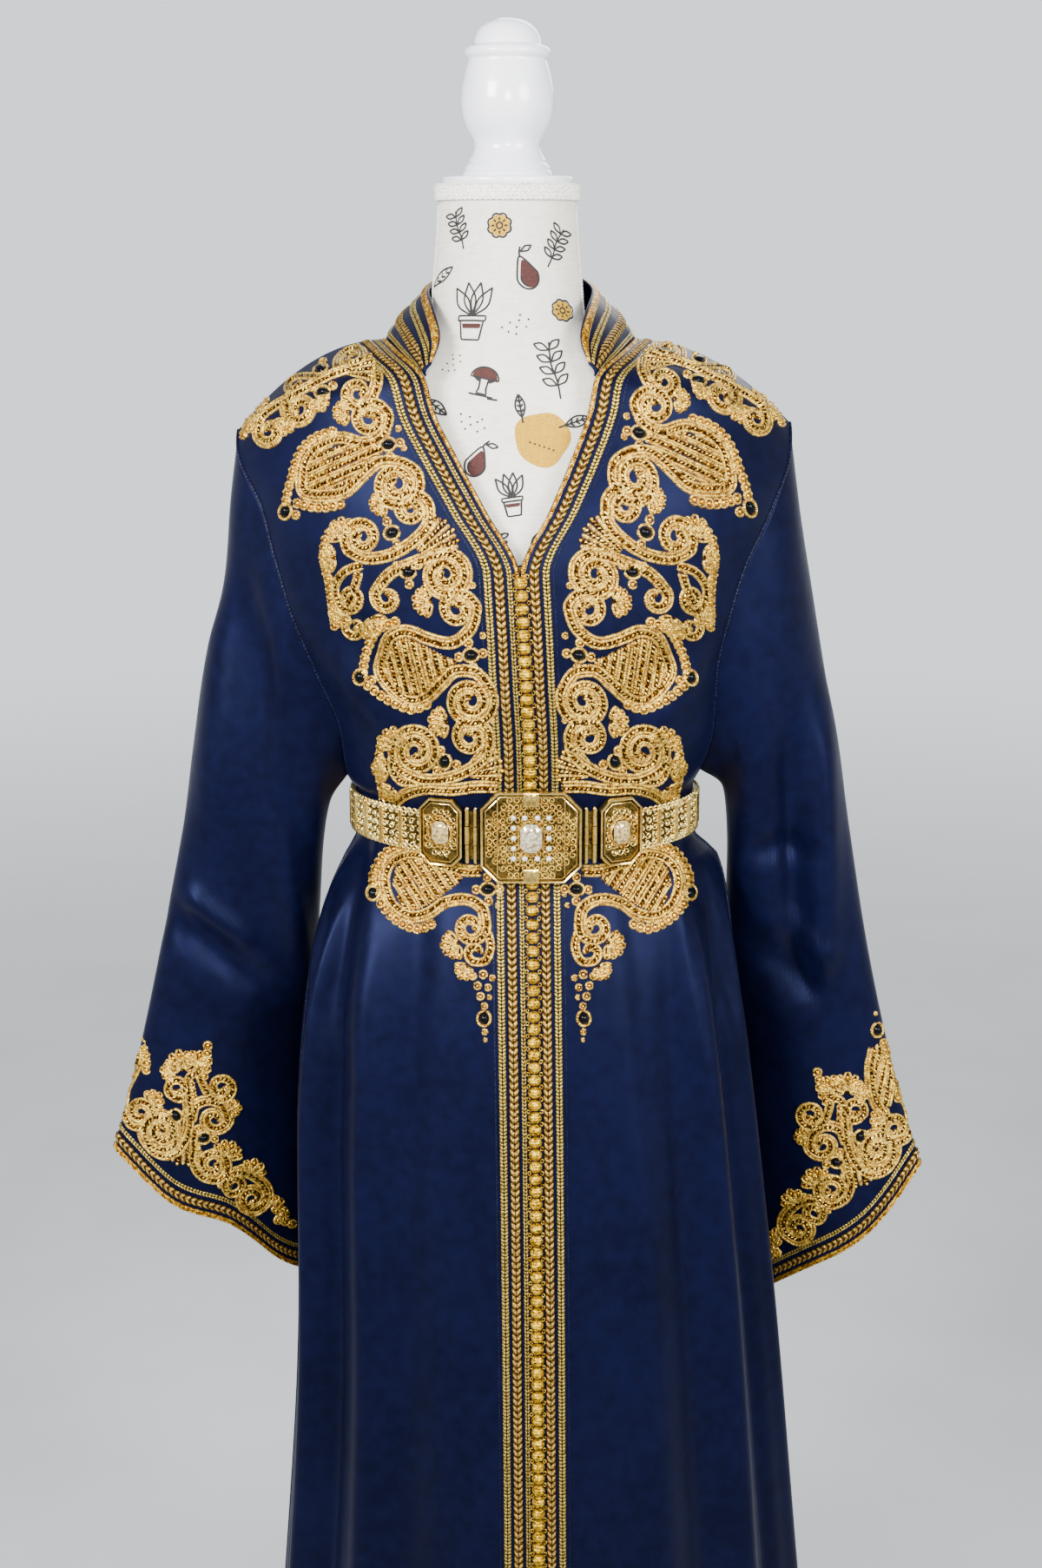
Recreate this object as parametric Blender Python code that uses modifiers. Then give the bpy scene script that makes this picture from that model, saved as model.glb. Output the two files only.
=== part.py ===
"""A moroccan kaftan of navy satin on a limbless dress form.

The cloth is a wall of even thickness, made from sections that run up the panels from hem to
shoulder. Braids and thick goldwork are made from a panel's own points, moved out. Metres, +Z up,
the front faces -Y, and the origin is under the middle of the stand's foot.
"""

import math
from collections import namedtuple

import bmesh
import bpy
import numpy as np
from mathutils.geometry import delaunay_2d_cdt

# Driving dimensions
CLOTH = 0.002
SEAM_GAP = 0.0003
ARMHOLE_GAP = 0.0009
UNDERARM_EASE = 0.0018
LIE_GAP = 0.0003
GOLDWORK_LIE = 0.0006
FLAT_ENOUGH = 0.0013
HEM_RUN = 0.015
WAIST_RUN = 1.028
UNDERARM_RUN = 1.058
NECK_POINT_RUN = 1.40
SHOULDER_RUN = 1.49
BRAID_RISE = 0.0012
PLAIT_RISE = 0.0020
GOLDWORK_RISE = 0.0026
KNOT_PITCH = 0.0103
KNOT_WIDTH = 0.0104
KNOT_RISE = 0.0048
KNOT_LIE = 0.0005
KNOT_NECK_WIDTH = 0.72
KNOT_NECK_RISE = 0.55
BELT_HEIGHT = 0.031
BELT_RISE = 0.0030
DRAWING_TILT = math.radians(13.0)
DRAWING_SINK = 0.026

LEFT = -1
RIGHT = 1
SIDE_NAME = {LEFT: "left", RIGHT: "right"}

# Rows of the fronts, from hem to shoulder seam. run: distance up the panel. z, mid: height and
# middle line of the front edge. open: half the neck opening. front_y: depth there. left_x to
# right_z: where the row ends at each side. side_y: depth there. turn: degrees that the row turns
# from the front to its end. droop: how late the row drops to its end.
FrontRow = namedtuple(
    "FrontRow", "run z mid open front_y left_x left_z right_x right_z side_y turn droop"
)
FRONT_ROWS = (
    FrontRow(0.015, 0.015, 0.0275, 0.0, -0.212, -0.236, 0.015, 0.292, 0.015, -0.030, 90, 1),
    FrontRow(0.330, 0.330, 0.0265, 0.0, -0.186, -0.201, 0.330, 0.256, 0.330, -0.035, 90, 1),
    FrontRow(0.600, 0.600, 0.0245, 0.0, -0.170, -0.183, 0.600, 0.228, 0.600, -0.040, 90, 1),
    FrontRow(0.750, 0.750, 0.0230, 0.0, -0.158, -0.181, 0.750, 0.210, 0.750, -0.040, 90, 1),
    FrontRow(0.870, 0.870, 0.0215, 0.0, -0.146, -0.171, 0.870, 0.195, 0.870, -0.035, 90, 1),
    FrontRow(0.945, 0.945, 0.0205, 0.0, -0.130, -0.154, 0.945, 0.187, 0.945, -0.024, 90, 1),
    FrontRow(0.985, 0.985, 0.0200, 0.0, -0.1160, -0.138, 0.985, 0.178, 0.985, -0.010, 90, 1),
    FrontRow(1.008, 1.008, 0.0195, 0.0, -0.113, -0.128, 1.008, 0.156, 1.008, 0.000, 90, 1),
    FrontRow(1.048, 1.048, 0.0187, 0.0, -0.113, -0.128, 1.046, 0.156, 1.048, 0.000, 90, 1),
    FrontRow(1.060, 1.060, 0.0185, 0.0, -0.1140, -0.134, 1.054, 0.160, 1.058, -0.012, 90, 1),
    FrontRow(1.100, 1.100, 0.0178, 0.0, -0.1220, -0.138, 1.100, 0.1695, 1.100, -0.042, 80, 1),
    FrontRow(1.150, 1.150, 0.0152, 0.0, -0.131, -0.156, 1.150, 0.171, 1.150, -0.056, 72, 1),
    FrontRow(1.200, 1.200, 0.0128, 0.0, -0.1345, -0.1755, 1.200, 0.182, 1.200, -0.060, 66, 1),
    FrontRow(1.240, 1.240, 0.0105, 0.0, -0.133, -0.187, 1.240, 0.196, 1.243, -0.057, 62, 1),
    FrontRow(1.290, 1.290, 0.0085, 0.0245, -0.1215, -0.200, 1.288, 0.2165, 1.290, -0.045, 58, 1),
    FrontRow(1.332, 1.330, 0.0060, 0.0445, -0.108, -0.216, 1.316, 0.2285, 1.318, -0.028, 55, 1.2),
    FrontRow(1.371, 1.365, 0.0035, 0.0600, -0.0955, -0.2205, 1.330, 0.2312, 1.334, -0.016, 55, 1.5),
    FrontRow(1.400, 1.390, 0.0025, 0.0665, -0.087, -0.2212, 1.3365, 0.2318, 1.341, -0.009, 55, 1.8),
    FrontRow(1.440, 1.4055, 0.0025, 0.0850, -0.055, -0.2215, 1.3405, 0.2320, 1.346, -0.004, 55, 2),
    FrontRow(1.490, 1.4165, 0.0025, 0.1020, 0.0, -0.2215, 1.3430, 0.2320, 1.349, 0.0, 50, 2),
)

# Rows of the back up to the shoulder blades: depth of the centre back.
BackRow = namedtuple("BackRow", "run back_y")
BACK_ROWS = (
    BackRow(0.015, 0.200),
    BackRow(0.330, 0.165),
    BackRow(0.600, 0.145),
    BackRow(0.750, 0.134),
    BackRow(0.870, 0.121),
    BackRow(0.945, 0.108),
    BackRow(0.985, 0.097),
    BackRow(1.008, 0.090),
    BackRow(1.048, 0.090),
    BackRow(1.060, 0.093),
    BackRow(1.150, 0.102),
    BackRow(1.240, 0.107),
    BackRow(1.290, 0.105),
)
BLADE_RUN = 1.290
NAPE = namedtuple("Nape", "y z")(0.078, 1.436)
NECK_SHARE = 0.36

# Long soft folds of the skirt. place: share of the way from the front edge, or from the centre
# back, to the side. spread: half width in the same share. rise: how far it stands out. start:
# height at which it is full. drift: how far it has wandered at the hem.
Fold = namedtuple("Fold", "place spread rise start drift")
FRONT_FOLDS = {
    LEFT: (
        Fold(0.36, 0.060, -0.005, 0.72, -0.03),
        Fold(0.50, 0.055, 0.008, 0.80, -0.04),
        Fold(0.64, 0.050, -0.008, 0.82, -0.03),
        Fold(0.76, 0.045, 0.010, 0.84, -0.02),
        Fold(0.88, 0.040, -0.009, 0.84, 0.00),
    ),
    RIGHT: (
        Fold(0.30, 0.060, 0.005, 0.66, 0.02),
        Fold(0.46, 0.055, -0.006, 0.76, -0.03),
        Fold(0.60, 0.050, 0.009, 0.82, -0.03),
        Fold(0.74, 0.045, -0.009, 0.84, -0.02),
        Fold(0.87, 0.040, 0.008, 0.84, 0.00),
    ),
}
BACK_FOLDS = (
    Fold(-0.88, 0.045, 0.008, 0.84, 0.00),
    Fold(-0.70, 0.050, -0.009, 0.80, 0.02),
    Fold(-0.52, 0.050, 0.012, 0.78, 0.03),
    Fold(-0.34, 0.055, -0.010, 0.80, 0.02),
    Fold(-0.15, 0.055, 0.011, 0.76, 0.01),
    Fold(0.05, 0.055, -0.010, 0.78, 0.00),
    Fold(0.24, 0.055, 0.011, 0.80, -0.01),
    Fold(0.43, 0.050, -0.010, 0.76, -0.02),
    Fold(0.61, 0.050, 0.011, 0.80, -0.03),
    Fold(0.78, 0.045, -0.008, 0.82, -0.01),
)

FOLD_DEPTH = 1.35

RUNS = (
    0.015, 0.170, 0.330, 0.470, 0.600, 0.710, 0.800, 0.870, 0.930, 0.975, 1.006, 1.048, UNDERARM_RUN,
    1.100, 1.150, 1.200, 1.240, 1.290, 1.332, 1.371, NECK_POINT_RUN, 1.420, 1.440, 1.465,
    SHOULDER_RUN,
)
FRONT_COLUMNS = 14
BACK_COLUMNS = 20
BACK_NECK_COLUMNS = 4

# Sections of the hanging sleeves, from armhole to hem. outer and inner: the upper and the under
# edge. half: half of the hollow's depth.
SleeveRow = namedtuple("SleeveRow", "run outer_x outer_z outer_y inner_x inner_z inner_y half")
SLEEVE_ROWS = {
    LEFT: (
        SleeveRow(0.000, -0.2215, 1.343, 0.000, -0.134, 1.052, 0.000, 0.058),
        SleeveRow(0.060, -0.2300, 1.280, 0.000, -0.150, 1.028, 0.004, 0.055),
        SleeveRow(0.130, -0.2360, 1.208, 0.000, -0.158, 0.990, 0.010, 0.050),
        SleeveRow(0.220, -0.2520, 1.122, 0.000, -0.164, 0.930, 0.020, 0.045),
        SleeveRow(0.330, -0.2760, 1.015, 0.000, -0.171, 0.860, 0.034, 0.040),
        SleeveRow(0.440, -0.2990, 0.908, 0.000, -0.178, 0.785, 0.046, 0.037),
        SleeveRow(0.540, -0.3210, 0.815, 0.000, -0.181, 0.700, 0.054, 0.034),
        SleeveRow(0.630, -0.3460, 0.727, 0.000, -0.176, 0.610, 0.058, 0.031),
    ),
    RIGHT: (
        SleeveRow(0.000, 0.2320, 1.349, 0.000, 0.160, 1.056, 0.000, 0.058),
        SleeveRow(0.060, 0.2410, 1.285, 0.000, 0.181, 1.040, 0.004, 0.055),
        SleeveRow(0.130, 0.2540, 1.212, 0.000, 0.187, 0.990, 0.010, 0.050),
        SleeveRow(0.220, 0.2700, 1.125, 0.000, 0.189, 0.930, 0.020, 0.045),
        SleeveRow(0.330, 0.2910, 1.010, 0.000, 0.196, 0.855, 0.034, 0.040),
        SleeveRow(0.440, 0.3100, 0.905, 0.000, 0.204, 0.775, 0.046, 0.037),
        SleeveRow(0.540, 0.3350, 0.800, 0.000, 0.209, 0.685, 0.054, 0.034),
        SleeveRow(0.630, 0.3620, 0.713, 0.000, 0.214, 0.590, 0.058, 0.031),
    ),
}
SLEEVE_RUNS = (0.0, 0.035, 0.085, 0.160, 0.250, 0.350, 0.450, 0.535, 0.6125, 0.630)

# Top edge of the stand collar, from its front end round to the centre back.
CollarRow = namedtuple("CollarRow", "turn top_x top_y top_z")
COLLAR_ROWS = (
    CollarRow(0.00, 0.0615, -0.0868, 1.4000),
    CollarRow(0.16, 0.0555, -0.0770, 1.4210),
    CollarRow(0.34, 0.0610, -0.0490, 1.4420),
    CollarRow(0.52, 0.0665, -0.0060, 1.4560),
    CollarRow(0.70, 0.0600, 0.0340, 1.4640),
    CollarRow(0.86, 0.0350, 0.0610, 1.4700),
    CollarRow(1.00, 0.0000, 0.0710, 1.4730),
)
COLLAR_GAP = 0.0006
COLLAR_BULGE = 0.004
COLLAR_LIE = 0.0010
COLLAR_LEVELS = (0.0, 0.33, 0.67, 1.0)

# Braids along each front edge: distance of both edges from the front edge of the panel.
Braid = namedtuple("Braid", "name near far rise first last")
FRONT_BRAIDS = {
    LEFT: (
        Braid("edge_cord", 0.0006, 0.0038, PLAIT_RISE, 1.246, NECK_POINT_RUN),
        Braid("inner_braid", 0.0064, 0.0100, BRAID_RISE, HEM_RUN, NECK_POINT_RUN),
        Braid("plait", 0.0122, 0.0200, PLAIT_RISE, HEM_RUN, NECK_POINT_RUN),
        Braid("outer_braid", 0.0224, 0.0290, BRAID_RISE, HEM_RUN, NECK_POINT_RUN),
    ),
    RIGHT: (
        Braid("edge_cord", 0.0006, 0.0038, PLAIT_RISE, 1.246, NECK_POINT_RUN),
        Braid("plait", 0.0066, 0.0138, PLAIT_RISE, HEM_RUN, NECK_POINT_RUN),
        Braid("outer_braid", 0.0156, 0.0226, BRAID_RISE, HEM_RUN, NECK_POINT_RUN),
    ),
}

# Cuff braid, from its lower to its upper edge: share of the last row of the sleeve, and rise.
CUFF_PROFILE = ((0.02, 0.0012), (0.30, 0.0014), (0.50, 0.0030), (0.70, 0.0014), (0.98, 0.0012))

# Belt plates. corner: how much of each corner is cut off; 0 for the oval stones.
Plate = namedtuple("Plate", "width height rise corner")
BELT_Z = 1.028
PLAQUE_Z = 1.0290
PLAQUE_OUT = 0.0080
SIDE_PLAQUE_REACH = 0.0715
SIDE_PLAQUE_OUT = 0.0038
CENTRE_PLAQUE = Plate(0.0815, 0.0755, 0.0036, 0.0140)
SIDE_PLAQUE = Plate(0.0385, 0.0560, 0.0032, 0.0090)
CENTRE_STONE = Plate(0.0175, 0.0235, 0.0040, 0.0)
SIDE_STONE = Plate(0.0155, 0.0195, 0.0035, 0.0)
STONE_SIDES = 12
HINGE_INNER_GAP = 0.0014
HINGE_OUTER_GAP = 0.0008
HINGE_HEIGHT = 0.0440
HINGE_RISE = 0.0024
HINGE_CORNER = 0.0020
BAND_START = 0.0888
BAND_STEPS = 40
BAND_SPAN = 0.0020
BAND_GAP = 0.0014
GIMP_RADIUS = 0.0560
GIMP_RISE = 0.0022
GIMP_LOW = 1.5265
GIMP_HIGH = 1.5380

# Lobes of the goldwork on the left front: distance out from the middle line and height, both as
# drawn by the tilted eye, and radius. Neighbours overlap, so each group is one piece.
Lobe = namedtuple("Lobe", "out up radius")
CHEST_LOBES = (
    Lobe(0.124, 1.352, 0.019),
    Lobe(0.152, 1.338, 0.023),
    Lobe(0.184, 1.320, 0.023),
    Lobe(0.203, 1.303, 0.013),
    Lobe(0.148, 1.308, 0.018),
    Lobe(0.116, 1.316, 0.021),
    Lobe(0.104, 1.290, 0.018),
    Lobe(0.090, 1.252, 0.018),
    Lobe(0.082, 1.230, 0.017),
    Lobe(0.066, 1.209, 0.018),
    Lobe(0.093, 1.207, 0.017),
    Lobe(0.120, 1.208, 0.020),
    Lobe(0.142, 1.194, 0.018),
    Lobe(0.138, 1.166, 0.020),
    Lobe(0.111, 1.174, 0.017),
    Lobe(0.065, 1.178, 0.019),
    Lobe(0.053, 1.149, 0.019),
    Lobe(0.050, 1.088, 0.018),
    Lobe(0.050, 1.060, 0.019),
    Lobe(0.050, 1.034, 0.017),
    Lobe(0.076, 1.031, 0.018),
    Lobe(0.103, 1.042, 0.021),
)
SKIRT_LOBES = (
    Lobe(0.051, 0.902, 0.019),
    Lobe(0.060, 0.880, 0.017),
    Lobe(0.048, 0.860, 0.014),
    Lobe(0.044, 0.840, 0.012),
)
# Pointed leaves: where the stem and the tip are, and half the width.
Leaf = namedtuple("Leaf", "out up tip_out tip_up half")
CHEST_LEAVES = (
    Leaf(0.086, 1.277, 0.182, 1.232, 0.0270),
    Leaf(0.042, 1.119, 0.128, 1.111, 0.0320),
)
SKIRT_LEAVES = (
    Leaf(0.041, 0.924, 0.118, 0.928, 0.0220),
    Leaf(0.044, 0.838, 0.043, 0.808, 0.0075),
)
LEAF_EDGE = ((0.0, 0.30), (0.14, 0.80), (0.36, 1.0), (0.62, 0.80), (0.84, 0.36), (1.0, 0.0))
RIGHT_LIFT = 0.010
RIGHT_LIFT_FROM = 1.20
CUFF_LOBES = {
    LEFT: (
        Lobe(-0.321, 0.779, 0.010),
        Lobe(-0.323, 0.758, 0.013),
        Lobe(-0.322, 0.737, 0.014),
        Lobe(-0.307, 0.723, 0.013),
        Lobe(-0.289, 0.710, 0.014),
        Lobe(-0.279, 0.728, 0.014),
        Lobe(-0.282, 0.751, 0.014),
        Lobe(-0.275, 0.772, 0.014),
        Lobe(-0.259, 0.755, 0.014),
        Lobe(-0.256, 0.731, 0.015),
        Lobe(-0.268, 0.699, 0.015),
        Lobe(-0.249, 0.686, 0.015),
        Lobe(-0.231, 0.672, 0.015),
        Lobe(-0.215, 0.658, 0.011),
    ),
    RIGHT: (
        Lobe(0.321, 0.803, 0.008),
        Lobe(0.324, 0.786, 0.012),
        Lobe(0.328, 0.762, 0.015),
        Lobe(0.332, 0.737, 0.015),
        Lobe(0.327, 0.715, 0.014),
        Lobe(0.310, 0.700, 0.014),
        Lobe(0.298, 0.729, 0.014),
        Lobe(0.289, 0.751, 0.016),
        Lobe(0.270, 0.753, 0.013),
        Lobe(0.265, 0.728, 0.015),
        Lobe(0.281, 0.710, 0.015),
        Lobe(0.293, 0.691, 0.014),
        Lobe(0.275, 0.677, 0.015),
        Lobe(0.257, 0.662, 0.014),
    ),
}
LOBE_SIDES = 7

# Rows of the dress form, from its base to the top of its neck: an oval of half by front and back.
FormRow = namedtuple("FormRow", "z middle half front back power")
FORM_ROWS = (
    FormRow(0.760, 0.012, 0.118, -0.085, 0.080, 2.2),
    FormRow(0.800, 0.012, 0.138, -0.105, 0.092, 2.2),
    FormRow(0.880, 0.012, 0.140, -0.112, 0.092, 2.2),
    FormRow(0.960, 0.014, 0.126, -0.098, 0.080, 2.2),
    FormRow(1.020, 0.014, 0.116, -0.088, 0.072, 2.2),
    FormRow(1.060, 0.014, 0.118, -0.094, 0.076, 2.2),
    FormRow(1.120, 0.012, 0.130, -0.108, 0.084, 2.2),
    FormRow(1.180, 0.008, 0.142, -0.120, 0.088, 2.2),
    FormRow(1.235, 0.005, 0.150, -0.121, 0.090, 2.2),
    FormRow(1.290, 0.003, 0.160, -0.108, 0.088, 2.2),
    FormRow(1.335, 0.003, 0.172, -0.092, 0.080, 2.1),
    FormRow(1.367, 0.004, 0.173, -0.081, 0.072, 1.9),
    FormRow(1.3878, 0.0050, 0.1594, -0.075, 0.068, 1.7),
    FormRow(1.4026, 0.0040, 0.1274, -0.072, 0.065, 1.7),
    FormRow(1.4169, 0.0020, 0.0834, -0.069, 0.063, 1.8),
    FormRow(1.435, 0.000, 0.0625, -0.064, 0.060, 2.0),
    FormRow(1.465, 0.000, 0.0595, -0.060, 0.058, 2.0),
    FormRow(1.500, 0.000, 0.0565, -0.057, 0.056, 2.0),
    FormRow(1.538, 0.000, 0.0545, -0.0545, 0.0545, 2.0),
)
FORM_COLUMNS = 20
FORM_LEVELS = 18

# Turned wood cap on the neck: radius and height of each point, top to bottom.
FINIAL = (
    (0.0, 1.6660), (0.0120, 1.6645), (0.0220, 1.6580), (0.0266, 1.6480), (0.0335, 1.6440),
    (0.0345, 1.6390), (0.0310, 1.6345), (0.0345, 1.6230), (0.0377, 1.6050), (0.0352, 1.5880),
    (0.0272, 1.5740), (0.0264, 1.5680), (0.0300, 1.5580), (0.0345, 1.5510), (0.0366, 1.5450),
    (0.0530, 1.5440), (0.0530, 1.5385), (0.0, 1.5385),
)
FINIAL_STEPS = 16
POLE_RADIUS = 0.0125
POLE_STEPS = 16
FOOT_HEIGHT = 0.022
FOOT = (
    (0.0, FOOT_HEIGHT), (0.030, FOOT_HEIGHT), (0.130, 0.012), (0.150, 0.007), (0.150, 0.0),
    (0.0, 0.0),
)
FOOT_STEPS = 24

# Finishes: colour, roughness and metal.
SATIN = ((0.012, 0.020, 0.095), 0.42, 0.0)
GOLD_BRAID = ((0.62, 0.42, 0.13), 0.45, 0.6)
COPPER_PLAIT = ((0.60, 0.36, 0.14), 0.48, 0.5)
GOLDWORK = ((0.68, 0.47, 0.16), 0.42, 0.6)
BELT_METAL = ((0.86, 0.62, 0.20), 0.25, 1.0)
CRYSTAL = ((0.90, 0.88, 0.84), 0.08, 0.0)
LINEN = ((0.76, 0.74, 0.68), 0.85, 0.0)
LACE = ((0.85, 0.84, 0.80), 0.80, 0.0)
WHITE_PAINT = ((0.88, 0.88, 0.90), 0.20, 0.0)


def slopes_without_overshoot(knots, values):
    """Slopes of a smooth curve through values that never swings past them."""
    step = np.diff(knots)
    rise = np.diff(values) / step
    slope = np.zeros(len(values))
    for i in range(1, len(values) - 1):
        if rise[i - 1] * rise[i] > 0:
            before = 2 * step[i] + step[i - 1]
            after = step[i] + 2 * step[i - 1]
            slope[i] = (before + after) / (before / rise[i - 1] + after / rise[i])
    slope[0] = rise[0]
    slope[-1] = rise[-1]
    return slope


class Sections:
    """A short table read as smooth curves of its first column."""

    def __init__(self, rows):
        self.row_type = type(rows[0])
        self.knots = np.array([row[0] for row in rows])
        self.columns = [np.array(column, float) for column in zip(*rows)]
        self.slopes = [slopes_without_overshoot(self.knots, column) for column in self.columns]

    def at(self, run):
        run = min(max(run, self.knots[0]), self.knots[-1])
        i = min(int(np.searchsorted(self.knots, run, side="right")) - 1, len(self.knots) - 2)
        step = self.knots[i + 1] - self.knots[i]
        u = (run - self.knots[i]) / step
        keep = (1 + 2 * u) * (1 - u) ** 2
        leave = u * (1 - u) ** 2
        reach = u * u * (3 - 2 * u)
        arrive = u * u * (u - 1)
        values = [
            column[i] * keep
            + slope[i] * step * leave
            + column[i + 1] * reach
            + slope[i + 1] * step * arrive
            for column, slope in zip(self.columns, self.slopes)
        ]
        return self.row_type(*values)


FRONT = Sections(FRONT_ROWS)
BACK = Sections(BACK_ROWS)
SLEEVE = {side: Sections(rows) for side, rows in SLEEVE_ROWS.items()}
COLLAR = Sections(COLLAR_ROWS)


def smooth_step(low, high, value):
    share = min(max((value - low) / (high - low), 0.0), 1.0)
    return share * share * (3 - 2 * share)


def unit(vector):
    return vector / max(np.linalg.norm(vector), 1e-12)


def fold_push(folds, place, height):
    """How far the skirt's folds push the cloth out at this place and height."""
    push = 0.0
    for fold in folds:
        grown = 1 - smooth_step(fold.start, 1.0, height)
        centre = fold.place + fold.drift * (1 - height)
        push += FOLD_DEPTH * fold.rise * grown * math.exp(-(((place - centre) / fold.spread) ** 2))
    return push * (1 - abs(place) ** 10)


def arc_shares(turn, share):
    """Across and sink of a row that turns by this angle."""
    across = math.sin(turn * share) / math.sin(turn)
    sink = (math.cos(turn * share) - math.cos(turn)) / (1 - math.cos(turn))
    return across, sink


def row_end(row, side):
    return (row.left_x, row.left_z) if side == LEFT else (row.right_x, row.right_z)


def pushed_out(point, before, after, centre_x, push):
    """The point moved level, square to its row, away from the middle of the body."""
    along = after - before
    out = unit(np.array((along[1], -along[0], 0.0)))
    if out[0] * (point[0] - centre_x) + out[1] * point[1] < 0:
        out = -out
    return point + out * push


def plain_front_point(side, run, share):
    row = FRONT.at(run)
    across, sink = arc_shares(math.radians(row.turn), share)
    near_x = row.mid + side * max(row.open, SEAM_GAP / 2)
    far_x, far_z = row_end(row, side)
    return np.array(
        (
            near_x + (far_x - near_x) * across,
            row.side_y - SEAM_GAP / 2 + (row.front_y - row.side_y) * sink,
            row.z + (far_z - row.z) * across**row.droop,
        )
    )


def front_point(side, run, share):
    """A point of a front's outer face: run goes up it, share goes from its front edge out."""
    point = plain_front_point(side, run, share)
    push = fold_push(FRONT_FOLDS[side], share, point[2])
    if abs(push) < 1e-5:
        return point
    before = plain_front_point(side, run, share - 0.01)
    after = plain_front_point(side, run, share + 0.01)
    return pushed_out(point, before, after, FRONT.at(run).mid, push)


def back_top_point(share):
    """A point of the back's top edge: round the nape, then out along the shoulder seam."""
    side = LEFT if share < 0 else RIGHT
    neck = plain_front_point(side, SHOULDER_RUN, 0.0)
    if abs(share) <= NECK_SHARE:
        turn = 0.5 * math.pi * abs(share) / NECK_SHARE
        middle = FRONT.at(SHOULDER_RUN).mid
        return np.array(
            (
                middle + (neck[0] - middle) * math.sin(turn),
                SEAM_GAP / 2 + NAPE.y * math.cos(turn),
                neck[2] + (NAPE.z - neck[2]) * math.cos(turn),
            )
        )
    point = plain_front_point(side, SHOULDER_RUN, (abs(share) - NECK_SHARE) / (1 - NECK_SHARE))
    point[1] = SEAM_GAP / 2
    return point


def plain_back_point(run, share):
    side = LEFT if share < 0 else RIGHT
    if run > BLADE_RUN:
        low = plain_back_point(BLADE_RUN, share)
        top = back_top_point(share)
        rise = 0.5 * math.pi * (run - BLADE_RUN) / (SHOULDER_RUN - BLADE_RUN)
        return np.array(
            (
                low[0] + (top[0] - low[0]) * math.sin(rise),
                top[1] + (low[1] - top[1]) * math.cos(rise),
                low[2] + (top[2] - low[2]) * math.sin(rise),
            )
        )
    row = FRONT.at(run)
    across, sink = arc_shares(math.radians(row.turn), abs(share))
    far_x, far_z = row_end(row, side)
    side_y = row.side_y if run <= UNDERARM_RUN else -row.side_y
    return np.array(
        (
            row.mid + (far_x - row.mid) * across,
            side_y + SEAM_GAP / 2 + (BACK.at(run).back_y - side_y) * sink,
            row.z + (far_z - row.z) * across**row.droop,
        )
    )


def back_point(run, share):
    """A point of the back's outer face: share goes from the left side (-1) to the right (1)."""
    point = plain_back_point(run, share)
    push = fold_push(BACK_FOLDS, share, point[2])
    if abs(push) < 1e-5:
        return point
    before = plain_back_point(run, share - 0.01)
    after = plain_back_point(run, share + 0.01)
    return pushed_out(point, before, after, FRONT.at(run).mid, push)


def grid_normals(grid, closed):
    """Unit normals of a grid of points, from the steps along and across it."""
    along = np.gradient(grid, axis=0)
    if closed:
        across = (np.roll(grid, -1, axis=1) - np.roll(grid, 1, axis=1)) / 2
    else:
        across = np.gradient(grid, axis=1)
    normals = np.cross(along, across)
    return normals / np.linalg.norm(normals, axis=2, keepdims=True)


def facing(normals, grid, centre):
    """The normals, turned round if they point at the centre line."""
    out = grid - centre
    return normals if (normals * out).sum() > 0 else -normals


class Panel:
    """A piece of cloth as a grid: its outer points, and unit normals that point out of it."""

    def __init__(self, outer, normals, closed=False):
        self.outer = outer
        self.normals = normals
        self.closed = closed

    def moved(self, distance):
        return self.outer + self.normals * distance


def seam_normals(normals, flat_axis):
    """Normals along a seam that have no part across it, so both pieces get the same ones."""
    straight = normals.copy()
    straight[:, flat_axis] = 0.0
    return straight / np.linalg.norm(straight, axis=1, keepdims=True)


def front_panel(side):
    shares = np.linspace(0.0, 1.0, FRONT_COLUMNS)
    grid = np.array([[front_point(side, run, share) for share in shares] for run in RUNS])
    normals = facing(grid_normals(grid, False), grid, np.array((0.0, 0.3, 0.9)))
    below = RUNS.index(UNDERARM_RUN) + 1
    v_end = RUNS.index(1.24) + 1
    normals[:v_end, 0] = seam_normals(normals[:v_end, 0], 0)
    normals[:below, -1] = seam_normals(normals[:below, -1], 1)
    normals[-1, :] = seam_normals(normals[-1, :], 1)
    return Panel(grid, normals)


def back_panel():
    neck = np.linspace(0.0, NECK_SHARE, BACK_NECK_COLUMNS + 1)
    shoulder = np.linspace(NECK_SHARE, 1.0, BACK_COLUMNS // 2 - BACK_NECK_COLUMNS + 1)
    half = np.concatenate([neck, shoulder[1:]])
    shares = np.concatenate([-half[:0:-1], half])
    grid = np.array([[back_point(run, share) for share in shares] for run in RUNS])
    normals = facing(grid_normals(grid, False), grid, np.array((0.0, -0.3, 0.9)))
    below = RUNS.index(UNDERARM_RUN) + 1
    for column in (0, -1):
        normals[:below, column] = seam_normals(normals[:below, column], 1)
    last = BACK_COLUMNS // 2 - BACK_NECK_COLUMNS + 1
    normals[-1, :last] = seam_normals(normals[-1, :last], 1)
    normals[-1, -last:] = seam_normals(normals[-1, -last:], 1)
    return Panel(grid, normals)


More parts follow.
